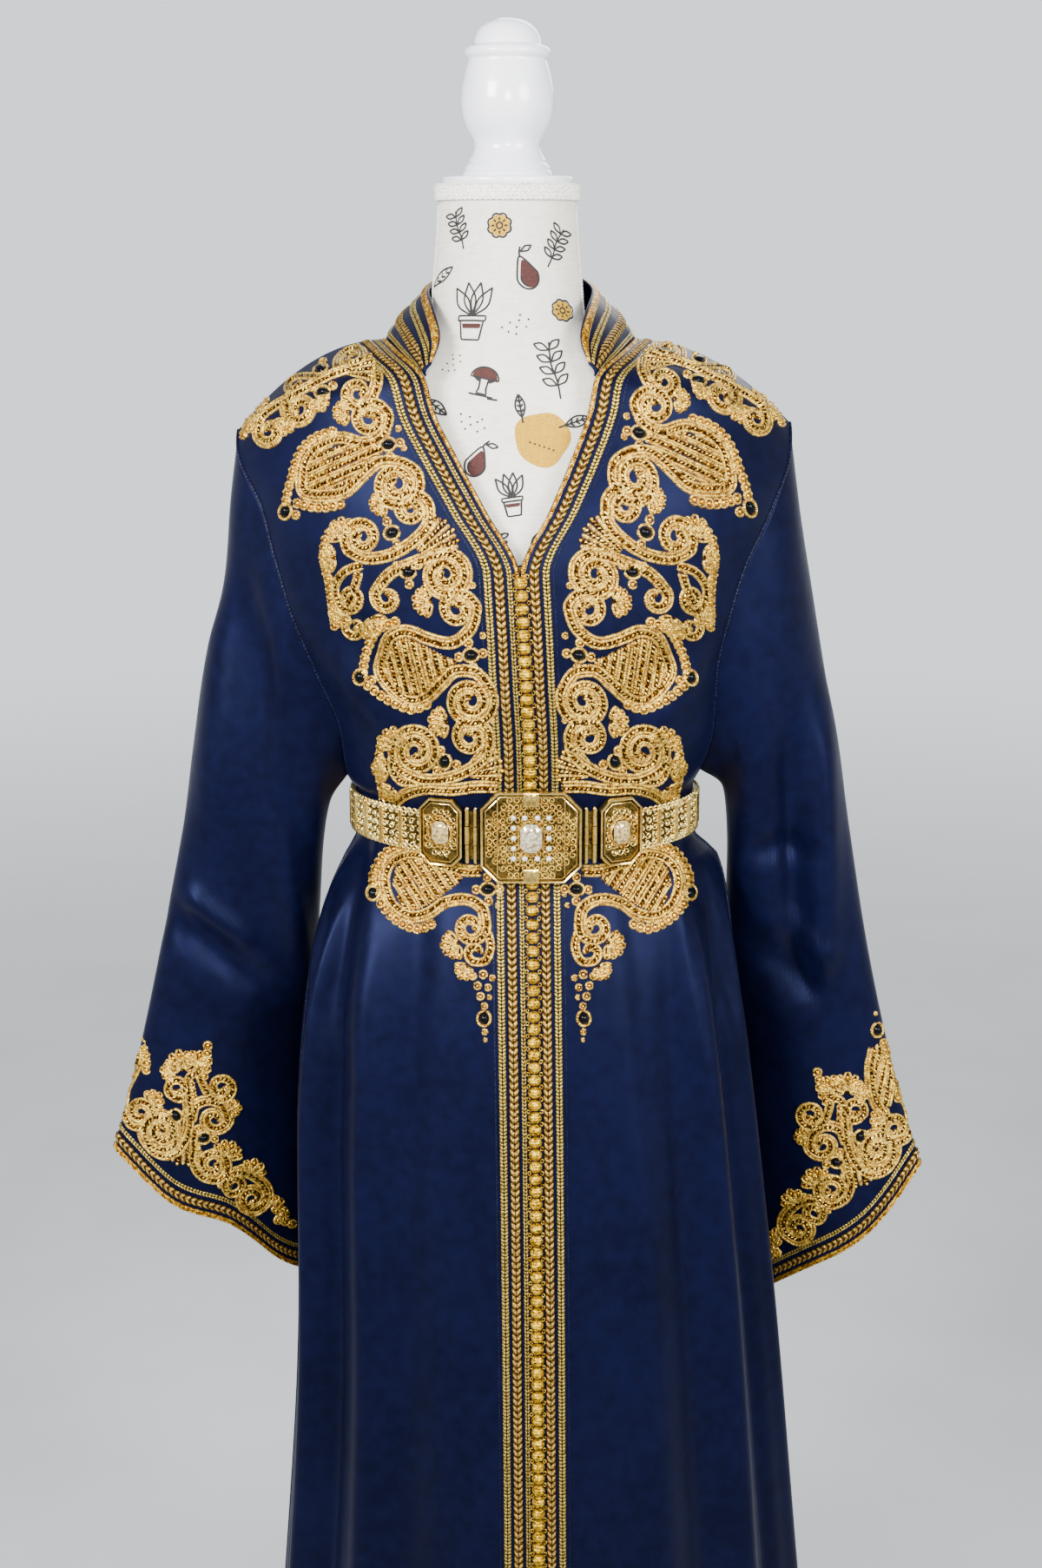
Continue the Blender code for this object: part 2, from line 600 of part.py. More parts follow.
def armhole(side, front, back):
    """The seam loop of a sleeve with its normals: down the front seam and up the back seam."""
    start = RUNS.index(UNDERARM_RUN)
    back_column = 0 if side == LEFT else -1
    inward = 1 if side == LEFT else -2
    edges = (
        (front.outer[start:, -1], front.outer[start:, -2], front.normals[start:, -1]),
        (back.outer[start:, back_column], back.outer[start:, inward],
         back.normals[start:, back_column]),
    )
    loops = []
    for edge, inner, normals in edges:
        away = edge - inner
        away -= normals * (away * normals).sum(axis=1, keepdims=True)
        away /= np.linalg.norm(away, axis=1, keepdims=True)
        ease = ARMHOLE_GAP + UNDERARM_EASE * np.exp(-np.arange(len(edge)) / 1.2)[:, None]
        loops.append((edge + away * ease, normals))
    (front_line, front_out), (back_line, back_out) = loops
    tip = (front_line[-1] + back_line[-1]) / 2
    pit = (front_line[0] + back_line[0]) / 2 + np.array((side * ARMHOLE_GAP, 0.0, 0.0))
    line = [tip, *front_line[-2:0:-1], pit, *back_line[1:-1]]
    out = [
        unit(front_out[-1] + back_out[-1]),
        *front_out[-2:0:-1],
        unit(front_out[0] + back_out[0]),
        *back_out[1:-1],
    ]
    return np.array(line), np.array(out)


def lens(share):
    """Depth of a flattened tube along its width, 1 in the middle."""
    return max(4 * share * (1 - share), 0.0) ** 0.6


def sleeve_section(side, run, shares):
    row = SLEEVE[side].at(run)
    outer = np.array((row.outer_x, row.outer_y, row.outer_z))
    inner = np.array((row.inner_x, row.inner_y, row.inner_z))
    count = len(shares)
    points = []
    for j, share in enumerate(shares):
        forward = -1 if j < count // 2 else 1
        points.append(outer + (inner - outer) * share + np.array((0, forward * row.half, 0)) * lens(share))
    return np.array(points)


def loop_shares(line):
    """Share of the way from the tip to the underarm of each point of the armhole."""
    count = len(line)
    half = count // 2
    closed = np.concatenate([line, line[:1]])
    steps = np.linalg.norm(np.diff(closed, axis=0), axis=1)
    front = np.concatenate([[0.0], np.cumsum(steps[:half])])
    back = np.concatenate([[0.0], np.cumsum(steps[half:])])
    return np.concatenate([front[:-1] / front[-1], 1 - back[:-1] / back[-1]])


def sleeve_panel(side, front, back):
    line, out = armhole(side, front, back)
    count = len(line)
    from_seam = loop_shares(line)
    even = 1 - np.abs(1 - np.arange(count) * 2 / count)
    start = sleeve_section(side, 0.0, from_seam)
    rings = []
    for run in SLEEVE_RUNS:
        settled = smooth_step(0.0, 0.30, run)
        shares = from_seam + (even - from_seam) * settled * 0.75
        rings.append(sleeve_section(side, run, shares) + (line - start) * (1 - smooth_step(0.0, 0.22, run)))
    grid = np.array(rings)
    normals = grid_normals(grid, True)
    if (normals * (grid - grid.mean(axis=1, keepdims=True))).sum() < 0:
        normals = -normals
    normals[0] = out
    return Panel(grid, normals, closed=True)


def neckline(fronts, back):
    """The edge that carries the collar: up the left front, round the nape, down the right."""
    start = RUNS.index(NECK_POINT_RUN)
    middle = BACK_COLUMNS // 2
    nape = back.outer[-1, middle - BACK_NECK_COLUMNS : middle + BACK_NECK_COLUMNS + 1]
    left = fronts[LEFT].outer[start:-1, 0]
    right = fronts[RIGHT].outer[start:-1, 0][::-1]
    line = np.concatenate([left, nape, right])
    rounded = slice(len(left) - 1, len(left) + len(nape))
    halfway = (line[:-1] + line[1:])[rounded] / 2
    return np.insert(line, np.arange(len(left), len(left) + len(halfway)), halfway, axis=0)


def collar_panel(fronts, back):
    line = neckline(fronts, back)
    steps = np.concatenate([[0.0], np.cumsum(np.linalg.norm(np.diff(line, axis=0), axis=1))])
    middle = FRONT.at(NECK_POINT_RUN).mid
    grid = []
    for edge, turn in zip(line, 2 * steps / steps[-1]):
        side = LEFT if turn < 1 else RIGHT
        row = COLLAR.at(min(turn, 2 - turn))
        top = np.array((middle + side * row.top_x, row.top_y, row.top_z))
        base = edge + unit(top - edge) * COLLAR_GAP
        out = unit(np.array((edge[0] - middle, edge[1], 0.0)))
        grid.append(
            [
                base + (top - base) * level + out * COLLAR_BULGE * math.sin(math.pi * level)
                for level in COLLAR_LEVELS
            ]
        )
    grid = np.array(grid)
    normals = facing(grid_normals(grid, False), grid, np.array((middle, 0.0, 1.40)))
    return Panel(grid, normals)


# Meshes and finishes


class Kit:
    """Makes the named objects, each with its own finish."""

    def __init__(self):
        self.parts = bpy.data.collections.new("moroccan_kaftan")
        bpy.context.scene.collection.children.link(self.parts)

    def finish(self, name, colour, roughness, metallic):
        material = bpy.data.materials.new(name)
        material.use_nodes = True
        shader = material.node_tree.nodes["Principled BSDF"]
        shader.inputs["Base Color"].default_value = (*colour, 1.0)
        shader.inputs["Roughness"].default_value = roughness
        shader.inputs["Metallic"].default_value = metallic
        return material

    def add(self, name, mesh, finish, smooth=False):
        colour, roughness, metallic = finish
        mesh.materials.append(self.finish(name + "_finish", colour, roughness, metallic))
        if smooth:
            mesh.shade_smooth()
            mesh.set_sharp_from_angle(angle=math.radians(50))
        thing = bpy.data.objects.new(name, mesh)
        self.parts.objects.link(thing)
        return thing

    def solid(self, name, points, faces, finish, smooth=False):
        """A closed mesh whose faces all turn the same way; it is turned to face out."""
        points = np.asarray(points)
        volume = 0.0
        for face in faces:
            for i in range(1, len(face) - 1):
                corners = points[[face[0], face[i], face[i + 1]]]
                volume += np.dot(corners[0], np.cross(corners[1], corners[2]))
        if volume < 0:
            faces = [tuple(reversed(face)) for face in faces]
        mesh = bpy.data.meshes.new(name)
        mesh.from_pydata([tuple(point) for point in points], [], faces)
        mesh.validate()
        return self.add(name, mesh, finish, smooth)


def triangles(rows, columns, closed):
    """Triangles of a grid, each quad split from its first corner."""
    faces = []
    for i in range(rows - 1):
        for j in range(columns if closed else columns - 1):
            k = (j + 1) % columns
            a, b = i * columns + j, i * columns + k
            c, d = a + columns, b + columns
            faces.append((a, b, d))
            faces.append((a, d, c))
    return faces


def wall(kit, name, outer, inner, closed, finish):
    """A closed wall between two grids of the same size."""
    rows, columns = outer.shape[:2]
    points = np.concatenate([outer.reshape(-1, 3), inner.reshape(-1, 3)])
    far = rows * columns
    front = triangles(rows, columns, closed)
    faces = front + [(a + far, c + far, b + far) for a, b, c in front]
    rims = []
    if closed:
        for i in (0, rows - 1):
            ring = [i * columns + j for j in range(columns)]
            rims.append(ring + ring[:1] if i == 0 else (ring + ring[:1])[::-1])
    else:
        bottom = [j for j in range(columns)]
        right = [i * columns + columns - 1 for i in range(rows)]
        top = [(rows - 1) * columns + j for j in range(columns)]
        left = [i * columns for i in range(rows)]
        rims.append(bottom + right[1:] + top[-2::-1] + left[-2::-1])
    for rim in rims:
        for a, b in zip(rim, rim[1:]):
            faces.append((b, a, a + far))
            faces.append((b, a + far, b + far))
    return kit.solid(name, points, faces, finish, smooth=True)


def make_cloth(kit, name, panel):
    wall(kit, name, panel.outer, panel.moved(-CLOTH), panel.closed, SATIN)


# Braids and goldwork that lie on a panel


def drawing(points):
    """The panel seen square on by an eye that looks slightly down: across and up."""
    return np.stack(
        [
            points[..., 0],
            points[..., 2] * math.cos(DRAWING_TILT) + points[..., 1] * math.sin(DRAWING_TILT),
        ],
        axis=-1,
    )


def twist(points, first, second):
    """How far the second triangle's own corner stands off the plane of the first."""
    a, b, c = (points[corner] for corner in first)
    across = np.cross(b - a, c - a)
    own = [corner for corner in second if corner not in first][0]
    return abs(np.dot(points[own] - a, across)) / np.linalg.norm(across)


def overlay(kit, name, panel, outlines, rise, finish, lie=LIE_GAP):
    """A slab of even thickness that lies on the panel inside the outlines, as one solid."""
    rows, columns = panel.outer.shape[:2]
    flat = drawing(panel.outer.reshape(-1, 3))
    low = panel.moved(lie).reshape(-1, 3)
    high = panel.moved(lie + rise).reshape(-1, 3)
    lines = np.concatenate([np.asarray(outline) for outline in outlines])
    near, far = lines.min(axis=0) - 0.001, lines.max(axis=0) + 0.001
    every = triangles(rows, columns, panel.closed)
    solid_points = panel.outer.reshape(-1, 3)
    cells = []
    cell_owner = []
    for index, face in enumerate(every):
        inside = (flat[list(face)].max(axis=0) > near).all() and (flat[list(face)].min(axis=0) < far).all()
        if not inside:
            continue
        pair = index - index % 2
        cells.append(face)
        cell_owner.append(pair if twist(solid_points, every[pair], every[pair + 1]) < FLAT_ENOUGH else index)
    used = sorted({corner for face in cells for corner in face})
    place = {corner: i for i, corner in enumerate(used)}
    corners = [tuple(flat[corner]) for corner in used]
    faces = []
    for face in cells:
        loop = [place[corner] for corner in face]
        a, b, c = (flat[corner] for corner in face)
        if (b[0] - a[0]) * (c[1] - a[1]) - (b[1] - a[1]) * (c[0] - a[0]) < 0:
            loop.reverse()
        faces.append(loop)
    for outline in outlines:
        start = len(corners)
        corners += [tuple(point) for point in outline]
        faces.append(list(range(start, start + len(outline))))
    points, _, pieces, _, _, owners = delaunay_2d_cdt(corners, [], faces, 0, 1e-6, True)
    kept = []
    for piece, owner in zip(pieces, owners):
        cell = [i for i in owner if i < len(cells)]
        if cell and len(cell) < len(owner):
            kept.append((piece, cell[0]))
    sketch = bmesh.new()
    owner_layer = sketch.faces.layers.int.new("owner")
    cell_layer = sketch.verts.layers.int.new("cell")
    spots = [sketch.verts.new((point[0], point[1], 0.0)) for point in points]
    for piece, cell in kept:
        face = sketch.faces.new([spots[i] for i in piece])
        face[owner_layer] = cell_owner[cell]
        for i in piece:
            spots[i][cell_layer] = cell
    loose = [spot for spot in sketch.verts if not spot.link_faces]
    bmesh.ops.delete(sketch, geom=loose, context="VERTS")
    inner = [
        edge
        for edge in sketch.edges
        if len(edge.link_faces) == 2
        and edge.link_faces[0][owner_layer] == edge.link_faces[1][owner_layer]
    ]
    bmesh.ops.dissolve_edges(sketch, edges=inner, use_verts=False)
    straight = [
        spot
        for spot in sketch.verts
        if len(spot.link_edges) == 2
        and abs(spot.calc_edge_angle(0.0)) < 0.02
    ]
    bmesh.ops.dissolve_verts(sketch, verts=straight)
    bmesh.ops.triangulate(sketch, faces=sketch.faces[:])
    sketch.verts.index_update()
    spots = list(sketch.verts)
    count = len(spots)
    base = np.zeros((count, 3))
    top = np.zeros((count, 3))
    for spot in spots:
        cell = cells[spot[cell_layer]]
        weights = shares_of(np.array(spot.co[:2]), *(flat[corner] for corner in cell))
        base[spot.index] = sum(w * low[corner] for w, corner in zip(weights, cell))
        top[spot.index] = sum(w * high[corner] for w, corner in zip(weights, cell))
    shell = []
    for face in sketch.faces:
        loop = [spot.index for spot in face.verts]
        shell.append(tuple(loop))
        shell.append(tuple(i + count for i in reversed(loop)))
    for edge in sketch.edges:
        if len(edge.link_faces) != 1:
            continue
        loop = edge.link_loops[0]
        a, b = loop.vert.index, loop.link_loop_next.vert.index
        shell.append((b, a, a + count))
        shell.append((b, a + count, b + count))
    sketch.free()
    return kit.solid(name, np.concatenate([top, base]), shell, finish)


def shares_of(point, a, b, c):
    """Weights of a triangle's corners at a point in its plane."""
    ab, ac, ap = b - a, c - a, point - a
    area = ab[0] * ac[1] - ab[1] * ac[0]
    at_b = (ap[0] * ac[1] - ap[1] * ac[0]) / area
    at_c = (ab[0] * ap[1] - ab[1] * ap[0]) / area
    return 1 - at_b - at_c, at_b, at_c


def edge_strip(side, panel, near, far, first, last):
    """Outline of a strip that follows a front's edge, between two distances from it."""
    levels = [run for run in RUNS if first <= run <= last]
    if first not in levels:
        levels.insert(0, first)
    sides = []
    for distance in (near, far):
        line = []
        for run in levels:
            row = np.array([np.interp(run, RUNS, panel.outer[:, j, k]) for j in range(5) for k in range(3)])
            line.append(along_row(row.reshape(5, 3), distance))
        sides.append(drawing(np.array(line)))
    outline = np.concatenate([sides[0], sides[1][::-1]])
    return outline if side == LEFT else outline[::-1]


def along_row(row, distance):
    """The point this far along a row of points, measured square to a sloping front edge."""
    steps = np.concatenate([[0.0], np.cumsum(np.linalg.norm(np.diff(row, axis=0), axis=1))])
    return np.array([np.interp(distance, steps, row[:, k]) for k in range(3)])


def make_front_braids(kit, side, panel):
    for braid in FRONT_BRAIDS[side]:
        outline = edge_strip(side, panel, braid.near, braid.far, braid.first, braid.last)
        finish = COPPER_PLAIT if braid.name == "plait" else GOLD_BRAID
        overlay(kit, f"{braid.name}_{SIDE_NAME[side]}", panel, [outline], braid.rise, finish)


def make_knot_row(kit, panel):
    """A cord of round knots down the front: a strip whose face swells at each knot."""
    top = RUNS.index(1.24)
    heights = panel.outer[: top + 1, 0, 2]
    middle = np.array([FRONT.at(height).mid for height in heights])
    depth = panel.outer[: top + 1, 0, 1]
    count = int((heights[-1] - heights[0]) / KNOT_PITCH)
    points = []
    faces = []
    for i in range(2 * count + 1):
        height = heights[0] + 0.5 * i * KNOT_PITCH
        swell = 1.0 if i % 2 else KNOT_NECK_RISE
        x = np.interp(height, heights, middle)
        y = np.interp(height, heights, depth) - KNOT_LIE
        half = 0.5 * KNOT_WIDTH * (1.0 if i % 2 else KNOT_NECK_WIDTH)
        points += [(x - half, y, height), (x, y - KNOT_RISE * swell, height), (x + half, y, height)]
    around = 3
    for i in range(2 * count):
        for j in range(around):
            k = (j + 1) % around
            a, b = i * around + j, i * around + k
            faces.append((a, b, b + around, a + around))
    last = 2 * count * around
    faces.append(tuple(reversed(range(around))))
    faces.append(tuple(last + j for j in range(around)))
    kit.solid("knot_row", points, faces, GOLD_BRAID)


def make_cuff_braid(kit, side, panel):
    """Three braids side by side round the sleeve's hem, the middle one a thicker plait."""
    grids = []
    for levels in (CUFF_PROFILE, ((0.02, 0.0), (0.5, 0.0), (0.98, 0.0))):
        rows = []
        for share, rise in levels:
            grid = panel.moved(LIE_GAP + rise)
            rows.append(grid[-1] * (1 - share) + grid[-2] * share)
        grids.append(np.array(rows))
    outer, inner = grids
    columns = outer.shape[1]
    points = np.concatenate([outer.reshape(-1, 3), inner[[0, -1]].reshape(-1, 3)])
    rows = len(CUFF_PROFILE)
    faces = []
    order = list(range(rows)) + [rows + 1, rows]
    for near, far in zip(order, order[1:] + order[:1]):
        for j in range(columns):
            k = (j + 1) % columns
            a, b = near * columns + j, near * columns + k
            c, d = far * columns + j, far * columns + k
            faces.append((a, b, d))
            faces.append((a, d, c))
    kit.solid(f"cuff_braid_{SIDE_NAME[side]}", points, faces, GOLD_BRAID, smooth=True)


def make_collar(kit, panel):
    wall(kit, "collar", panel.outer, panel.moved(-CLOTH), False, SATIN)
    bands = (
        ("collar_braid_base", 0, 1, 0.20, 0.62, BRAID_RISE, GOLD_BRAID),
        ("collar_plait", 1, 2, 0.12, 0.86, PLAIT_RISE, COPPER_PLAIT),
        ("collar_braid_top", 2, 3, 0.34, 0.94, BRAID_RISE, GOLD_BRAID),
    )
    for name, near, far, first, last, rise, finish in bands:
        rows = slice(1, -1)
        grids = []
        for distance in (COLLAR_LIE + rise, COLLAR_LIE):
            grid = panel.moved(distance)[rows]
            grids.append(
                np.stack(
                    [grid[:, near] * (1 - share) + grid[:, far] * share for share in (first, last)],
                    axis=1,
                )
            )
        wall(kit, name, grids[0], grids[1], False, finish)


def waist_path():
    """Points round the waist with their outward directions, from the front, leftward."""
    shares = np.linspace(0.0, 1.0, FRONT_COLUMNS)
    half = np.linspace(1.0, 0.0, BACK_COLUMNS // 2 + 1)
    points = [plain_front_point(LEFT, WAIST_RUN, share) for share in shares]
    points += [plain_back_point(WAIST_RUN, -share) for share in half[1:]]
    points += [plain_back_point(WAIST_RUN, share) for share in half[::-1][1:-1]]
    points += [plain_front_point(RIGHT, WAIST_RUN, share) for share in shares[::-1]]
    return np.array(points)


def make_plate(kit, name, outline, place, turn, rise, finish):
    """A flat plate from its outline: its back stands on `place`, and it faces out."""
    curve = bpy.data.curves.new(name, "CURVE")
    curve.dimensions = "2D"
    curve.fill_mode = "BOTH"
    curve.extrude = rise / 2
    spline = curve.splines.new("POLY")
    spline.points.add(len(outline) - 1)
    for point, (across, up) in zip(spline.points, outline):
        point.co = (across, up, 0.0, 1.0)
    spline.use_cyclic_u = True
    plate = kit.add(name, curve, finish)
    plate.location = place + facing_out(turn) * rise / 2
    plate.rotation_euler = (math.pi / 2, 0.0, turn)


def cut_corners(width, height, corner):
    x, z = width / 2, height / 2
    return [
        (-x, -z + corner), (-x + corner, -z), (x - corner, -z), (x, -z + corner),
        (x, z - corner), (x - corner, z), (-x + corner, z), (-x, z - corner),
    ]


def oval(width, height, count):
    return [
        (0.5 * width * math.cos(2 * math.pi * i / count), 0.5 * height * math.sin(2 * math.pi * i / count))
        for i in range(count)
    ]


# Goldwork


def leaf_outline(leaf):
    stem = np.array((leaf.out, leaf.up))
    tip = np.array((leaf.tip_out, leaf.tip_up))
    along = tip - stem
    across = np.array((-along[1], along[0])) / np.linalg.norm(along)
    upper = [stem + along * place + across * leaf.half * wide for place, wide in LEAF_EDGE]
    lower = [stem + along * place - across * leaf.half * wide for place, wide in LEAF_EDGE[-2::-1]]
    return upper + lower


def lobe_outline(lobe):
    turns = [2 * math.pi * (i + 0.5) / LOBE_SIDES for i in range(LOBE_SIDES)]
    return [
        (lobe.out + lobe.radius * math.cos(turn), lobe.up + lobe.radius * math.sin(turn))
        for turn in turns
    ]


def counterclockwise(outline):
    outline = np.asarray(outline)
    after = np.roll(outline, -1, axis=0)
    area = (outline[:, 0] * after[:, 1] - outline[:, 1] * after[:, 0]).sum()
    return outline if area > 0 else outline[::-1]


def on_front(side, outline):
    """A left outline, drawn from the middle line out, placed on one of the fronts."""
    placed = []
    for out, up in outline:
        middle = FRONT.at(up / math.cos(DRAWING_TILT) + DRAWING_SINK).mid
        lift = RIGHT_LIFT * smooth_step(RIGHT_LIFT_FROM, 1.30, up) if side == RIGHT else 0.0
        placed.append((middle + side * out, up + lift))
    return counterclockwise(placed)


def make_goldwork(kit, side, front, sleeve):
    name = SIDE_NAME[side]
    groups = (
        ("goldwork_chest", CHEST_LOBES, CHEST_LEAVES),
        ("goldwork_skirt", SKIRT_LOBES, SKIRT_LEAVES),
    )
    for group, lobes, leaves in groups:
        outlines = [on_front(side, lobe_outline(lobe)) for lobe in lobes]
        outlines += [on_front(side, leaf_outline(leaf)) for leaf in leaves]
        overlay(kit, f"{group}_{name}", front, outlines, GOLDWORK_RISE, GOLDWORK, GOLDWORK_LIE)
    columns = sleeve.outer.shape[1] // 2 + 1
    face = Panel(sleeve.outer[:, :columns], sleeve.normals[:, :columns])
    outlines = [counterclockwise(lobe_outline(lobe)) for lobe in CUFF_LOBES[side]]
    overlay(kit, f"goldwork_cuff_{name}", face, outlines, GOLDWORK_RISE, GOLDWORK, GOLDWORK_LIE)


def point_along(line, distance):
    """The point this far along a line of points."""
    steps = np.concatenate([[0.0], np.cumsum(np.linalg.norm(np.diff(line, axis=0), axis=1))])
    return np.array([np.interp(distance, steps, line[:, k]) for k in range(3)])


def facing_out(turn):
    """The level direction that a plate faces, turned this far from straight ahead."""
    return np.array((math.sin(turn), -math.cos(turn), 0.0))


def make_plaque(kit, names, place, turn, plaque, stone):
    """A plaque with its stone: it stands on `place` and faces the direction of `turn`."""
    out = facing_out(turn)
    make_plate(kit, names[0], cut_corners(plaque.width, plaque.height, plaque.corner),
               place, turn, plaque.rise, BELT_METAL)
    make_plate(kit, names[1], oval(stone.width, stone.height, STONE_SIDES),
               place + out * (plaque.rise + LIE_GAP), turn, stone.rise, CRYSTAL)


def make_belt(kit):
    path = waist_path()
    middle = FRONT.at(WAIST_RUN)
    centre = np.array((middle.mid, middle.front_y - PLAQUE_OUT, PLAQUE_Z))
    make_plaque(kit, ("belt_plaque_centre", "belt_stone_centre"), centre, 0.0,
                CENTRE_PLAQUE, CENTRE_STONE)
    for side in (LEFT, RIGHT):
        name = SIDE_NAME[side]
        line = path if side == LEFT else path[::-1]
        spot = point_along(line, SIDE_PLAQUE_REACH)
        chord = point_along(line, SIDE_PLAQUE_REACH + SIDE_PLAQUE.width / 3)
        chord = (chord - point_along(line, SIDE_PLAQUE_REACH - SIDE_PLAQUE.width / 3)) * side
        turn = math.atan2(chord[1], chord[0])
        place = spot + facing_out(turn) * SIDE_PLAQUE_OUT
        place[2] = PLAQUE_Z
        make_plaque(kit, (f"belt_plaque_{name}", f"belt_stone_{name}"), place, turn,
                    SIDE_PLAQUE, SIDE_STONE)
        start = centre + np.array((side * CENTRE_PLAQUE.width / 2, -CENTRE_PLAQUE.rise / 2, 0.0))
        end = place + facing_out(turn) * SIDE_PLAQUE.rise / 2
        end -= side * SIDE_PLAQUE.width / 2 * np.array((math.cos(turn), math.sin(turn), 0.0))
        span = (end - start) * side
        slant = math.atan2(span[1], span[0])
        width = np.linalg.norm(span) - HINGE_INNER_GAP - HINGE_OUTER_GAP
        shift = side * unit(span) * (HINGE_INNER_GAP - HINGE_OUTER_GAP) / 2
        middle_of_link = (start + end) / 2 + shift - facing_out(slant) * HINGE_RISE / 2
        make_plate(kit, f"belt_hinge_{name}", cut_corners(width, HINGE_HEIGHT, HINGE_CORNER),
                   middle_of_link, slant, HINGE_RISE, BELT_METAL)
    length = np.linalg.norm(np.diff(path, axis=0), axis=1).sum()
    inner, outer = [], []
    for distance in np.linspace(BAND_START, length - BAND_START, BAND_STEPS):
        spot = point_along(path, distance)
        along = unit(point_along(path, distance + BAND_SPAN) - point_along(path, distance - BAND_SPAN))
        out = np.array((along[1], -along[0], 0.0))
        if np.dot(out[:2], spot[:2] - np.array((middle.mid, 0.0))) < 0:
            out = -out
        edges = [np.array((spot[0], spot[1], BELT_Z + up)) for up in (-BELT_HEIGHT / 2, BELT_HEIGHT / 2)]
        inner.append([edge + out * BAND_GAP for edge in edges])
        outer.append([edge + out * (BAND_GAP + BELT_RISE) for edge in edges])
    wall(kit, "belt_band", np.array(outer), np.array(inner), False, BELT_METAL)


# The dress form


def superellipse(angle, power):
    c, s = math.cos(angle), math.sin(angle)
    return (
        math.copysign(abs(c) ** (2 / power), c),
        math.copysign(abs(s) ** (2 / power), s),
    )


def make_torso(kit):
    sections = Sections(FORM_ROWS)
    rings = []
    for level in np.linspace(0.0, 1.0, FORM_LEVELS):
        z = FORM_ROWS[0].z + (FORM_ROWS[-1].z - FORM_ROWS[0].z) * (1 - (1 - level) ** 1.25)
        row = sections.at(z)
        ring = []
        for j in range(FORM_COLUMNS):
            across, along = superellipse(2 * math.pi * j / FORM_COLUMNS, row.power)
            depth = -row.front if along < 0 else row.back
            ring.append((row.middle + row.half * across, depth * along, z))
        rings.append(ring)
    points = [point for ring in rings for point in ring]
    faces = triangles(FORM_LEVELS, FORM_COLUMNS, True)
    faces.append(tuple(reversed(range(FORM_COLUMNS))))
    last = (FORM_LEVELS - 1) * FORM_COLUMNS
    faces.append(tuple(last + j for j in range(FORM_COLUMNS)))
    kit.solid("form_torso", points, faces, LINEN, smooth=True)


def turned(kit, name, profile, steps, finish):
    """A solid turned from radius and height pairs, listed from top to bottom."""
    mesh = bpy.data.meshes.new(name)
    points = [(radius, 0.0, z) for radius, z in profile]
    mesh.from_pydata(points, [(i, i + 1) for i in range(len(points) - 1)], [])
    thing = kit.add(name, mesh, finish)
    screw = thing.modifiers.new("turn", "SCREW")
    screw.steps = steps
    screw.render_steps = steps
    screw.use_merge_vertices = True
    screw.merge_threshold = 0.00002
    screw.use_smooth_shade = True
    return thing


def make_gimp(kit):
    """Lace round the top of the neck: a ring of small scallops."""
    points, faces = [], []
    around = 4
    count = 24
    for i in range(count):
        angle = 2 * math.pi * i / count
        swell = 0.0006 if i % 2 else 0.0
        out = np.array((math.cos(angle), math.sin(angle), 0.0))
        for radius, z in (
            (GIMP_RADIUS, GIMP_LOW), (GIMP_RADIUS + GIMP_RISE + swell, GIMP_LOW + 0.002),
            (GIMP_RADIUS + GIMP_RISE + swell, GIMP_HIGH - 0.002), (GIMP_RADIUS - 0.0004, GIMP_HIGH),
        ):
            points.append(out * radius + np.array((0, 0, z)))
    for i in range(count):
        for j in range(around):
            a, b = i * around + j, i * around + (j + 1) % around
            c, d = (a + around) % len(points), (b + around) % len(points)
            faces.append((a, b, d))
            faces.append((a, d, c))
    kit.solid("form_gimp", points, faces, LACE)


def make_stand(kit):
    pole_top = FORM_ROWS[0].z - LIE_GAP
    pole_foot = FOOT_HEIGHT + LIE_GAP
    pole = ((0.0, pole_top), (POLE_RADIUS, pole_top), (POLE_RADIUS, pole_foot), (0.0, pole_foot))
    turned(kit, "form_pole", pole, POLE_STEPS, WHITE_PAINT)
    turned(kit, "form_foot", FOOT, FOOT_STEPS, WHITE_PAINT)


def main():
    for thing in list(bpy.data.objects):
        bpy.data.objects.remove(thing, do_unlink=True)
    kit = Kit()
    fronts = {side: front_panel(side) for side in (LEFT, RIGHT)}
    back = back_panel()
    sleeves = {side: sleeve_panel(side, fronts[side], back) for side in (LEFT, RIGHT)}
    for side in (LEFT, RIGHT):
        make_cloth(kit, f"front_{SIDE_NAME[side]}", fronts[side])
        make_cloth(kit, f"sleeve_{SIDE_NAME[side]}", sleeves[side])
        make_front_braids(kit, side, fronts[side])
        make_cuff_braid(kit, side, sleeves[side])
        make_goldwork(kit, side, fronts[side], sleeves[side])
    make_cloth(kit, "back", back)
    make_collar(kit, collar_panel(fronts, back))
    make_knot_row(kit, fronts[LEFT])
    make_belt(kit)
    make_torso(kit)
    turned(kit, "form_cap", FINIAL, FINIAL_STEPS, WHITE_PAINT)
    make_gimp(kit)
    make_stand(kit)


if __name__ == "__main__":
    main()
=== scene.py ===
"""Dresses a moroccan kaftan of navy satin, worked in gold, on its limbless dress form.

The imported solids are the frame. Each sub-assembly is a class with its own sizes: cloth shells that
follow the same sections as the solids, cords and braids laid on them, a belt of wire filigree, and
the linen form with its turned cap. Metres, +Z up, the front faces -Y.
"""

import sys

import logging
import math
from collections.abc import Callable, Sequence
from dataclasses import dataclass, field
from enum import Enum
from functools import cache, partial

import bpy
import numpy as np
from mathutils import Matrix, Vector
from mathutils.bvhtree import BVHTree


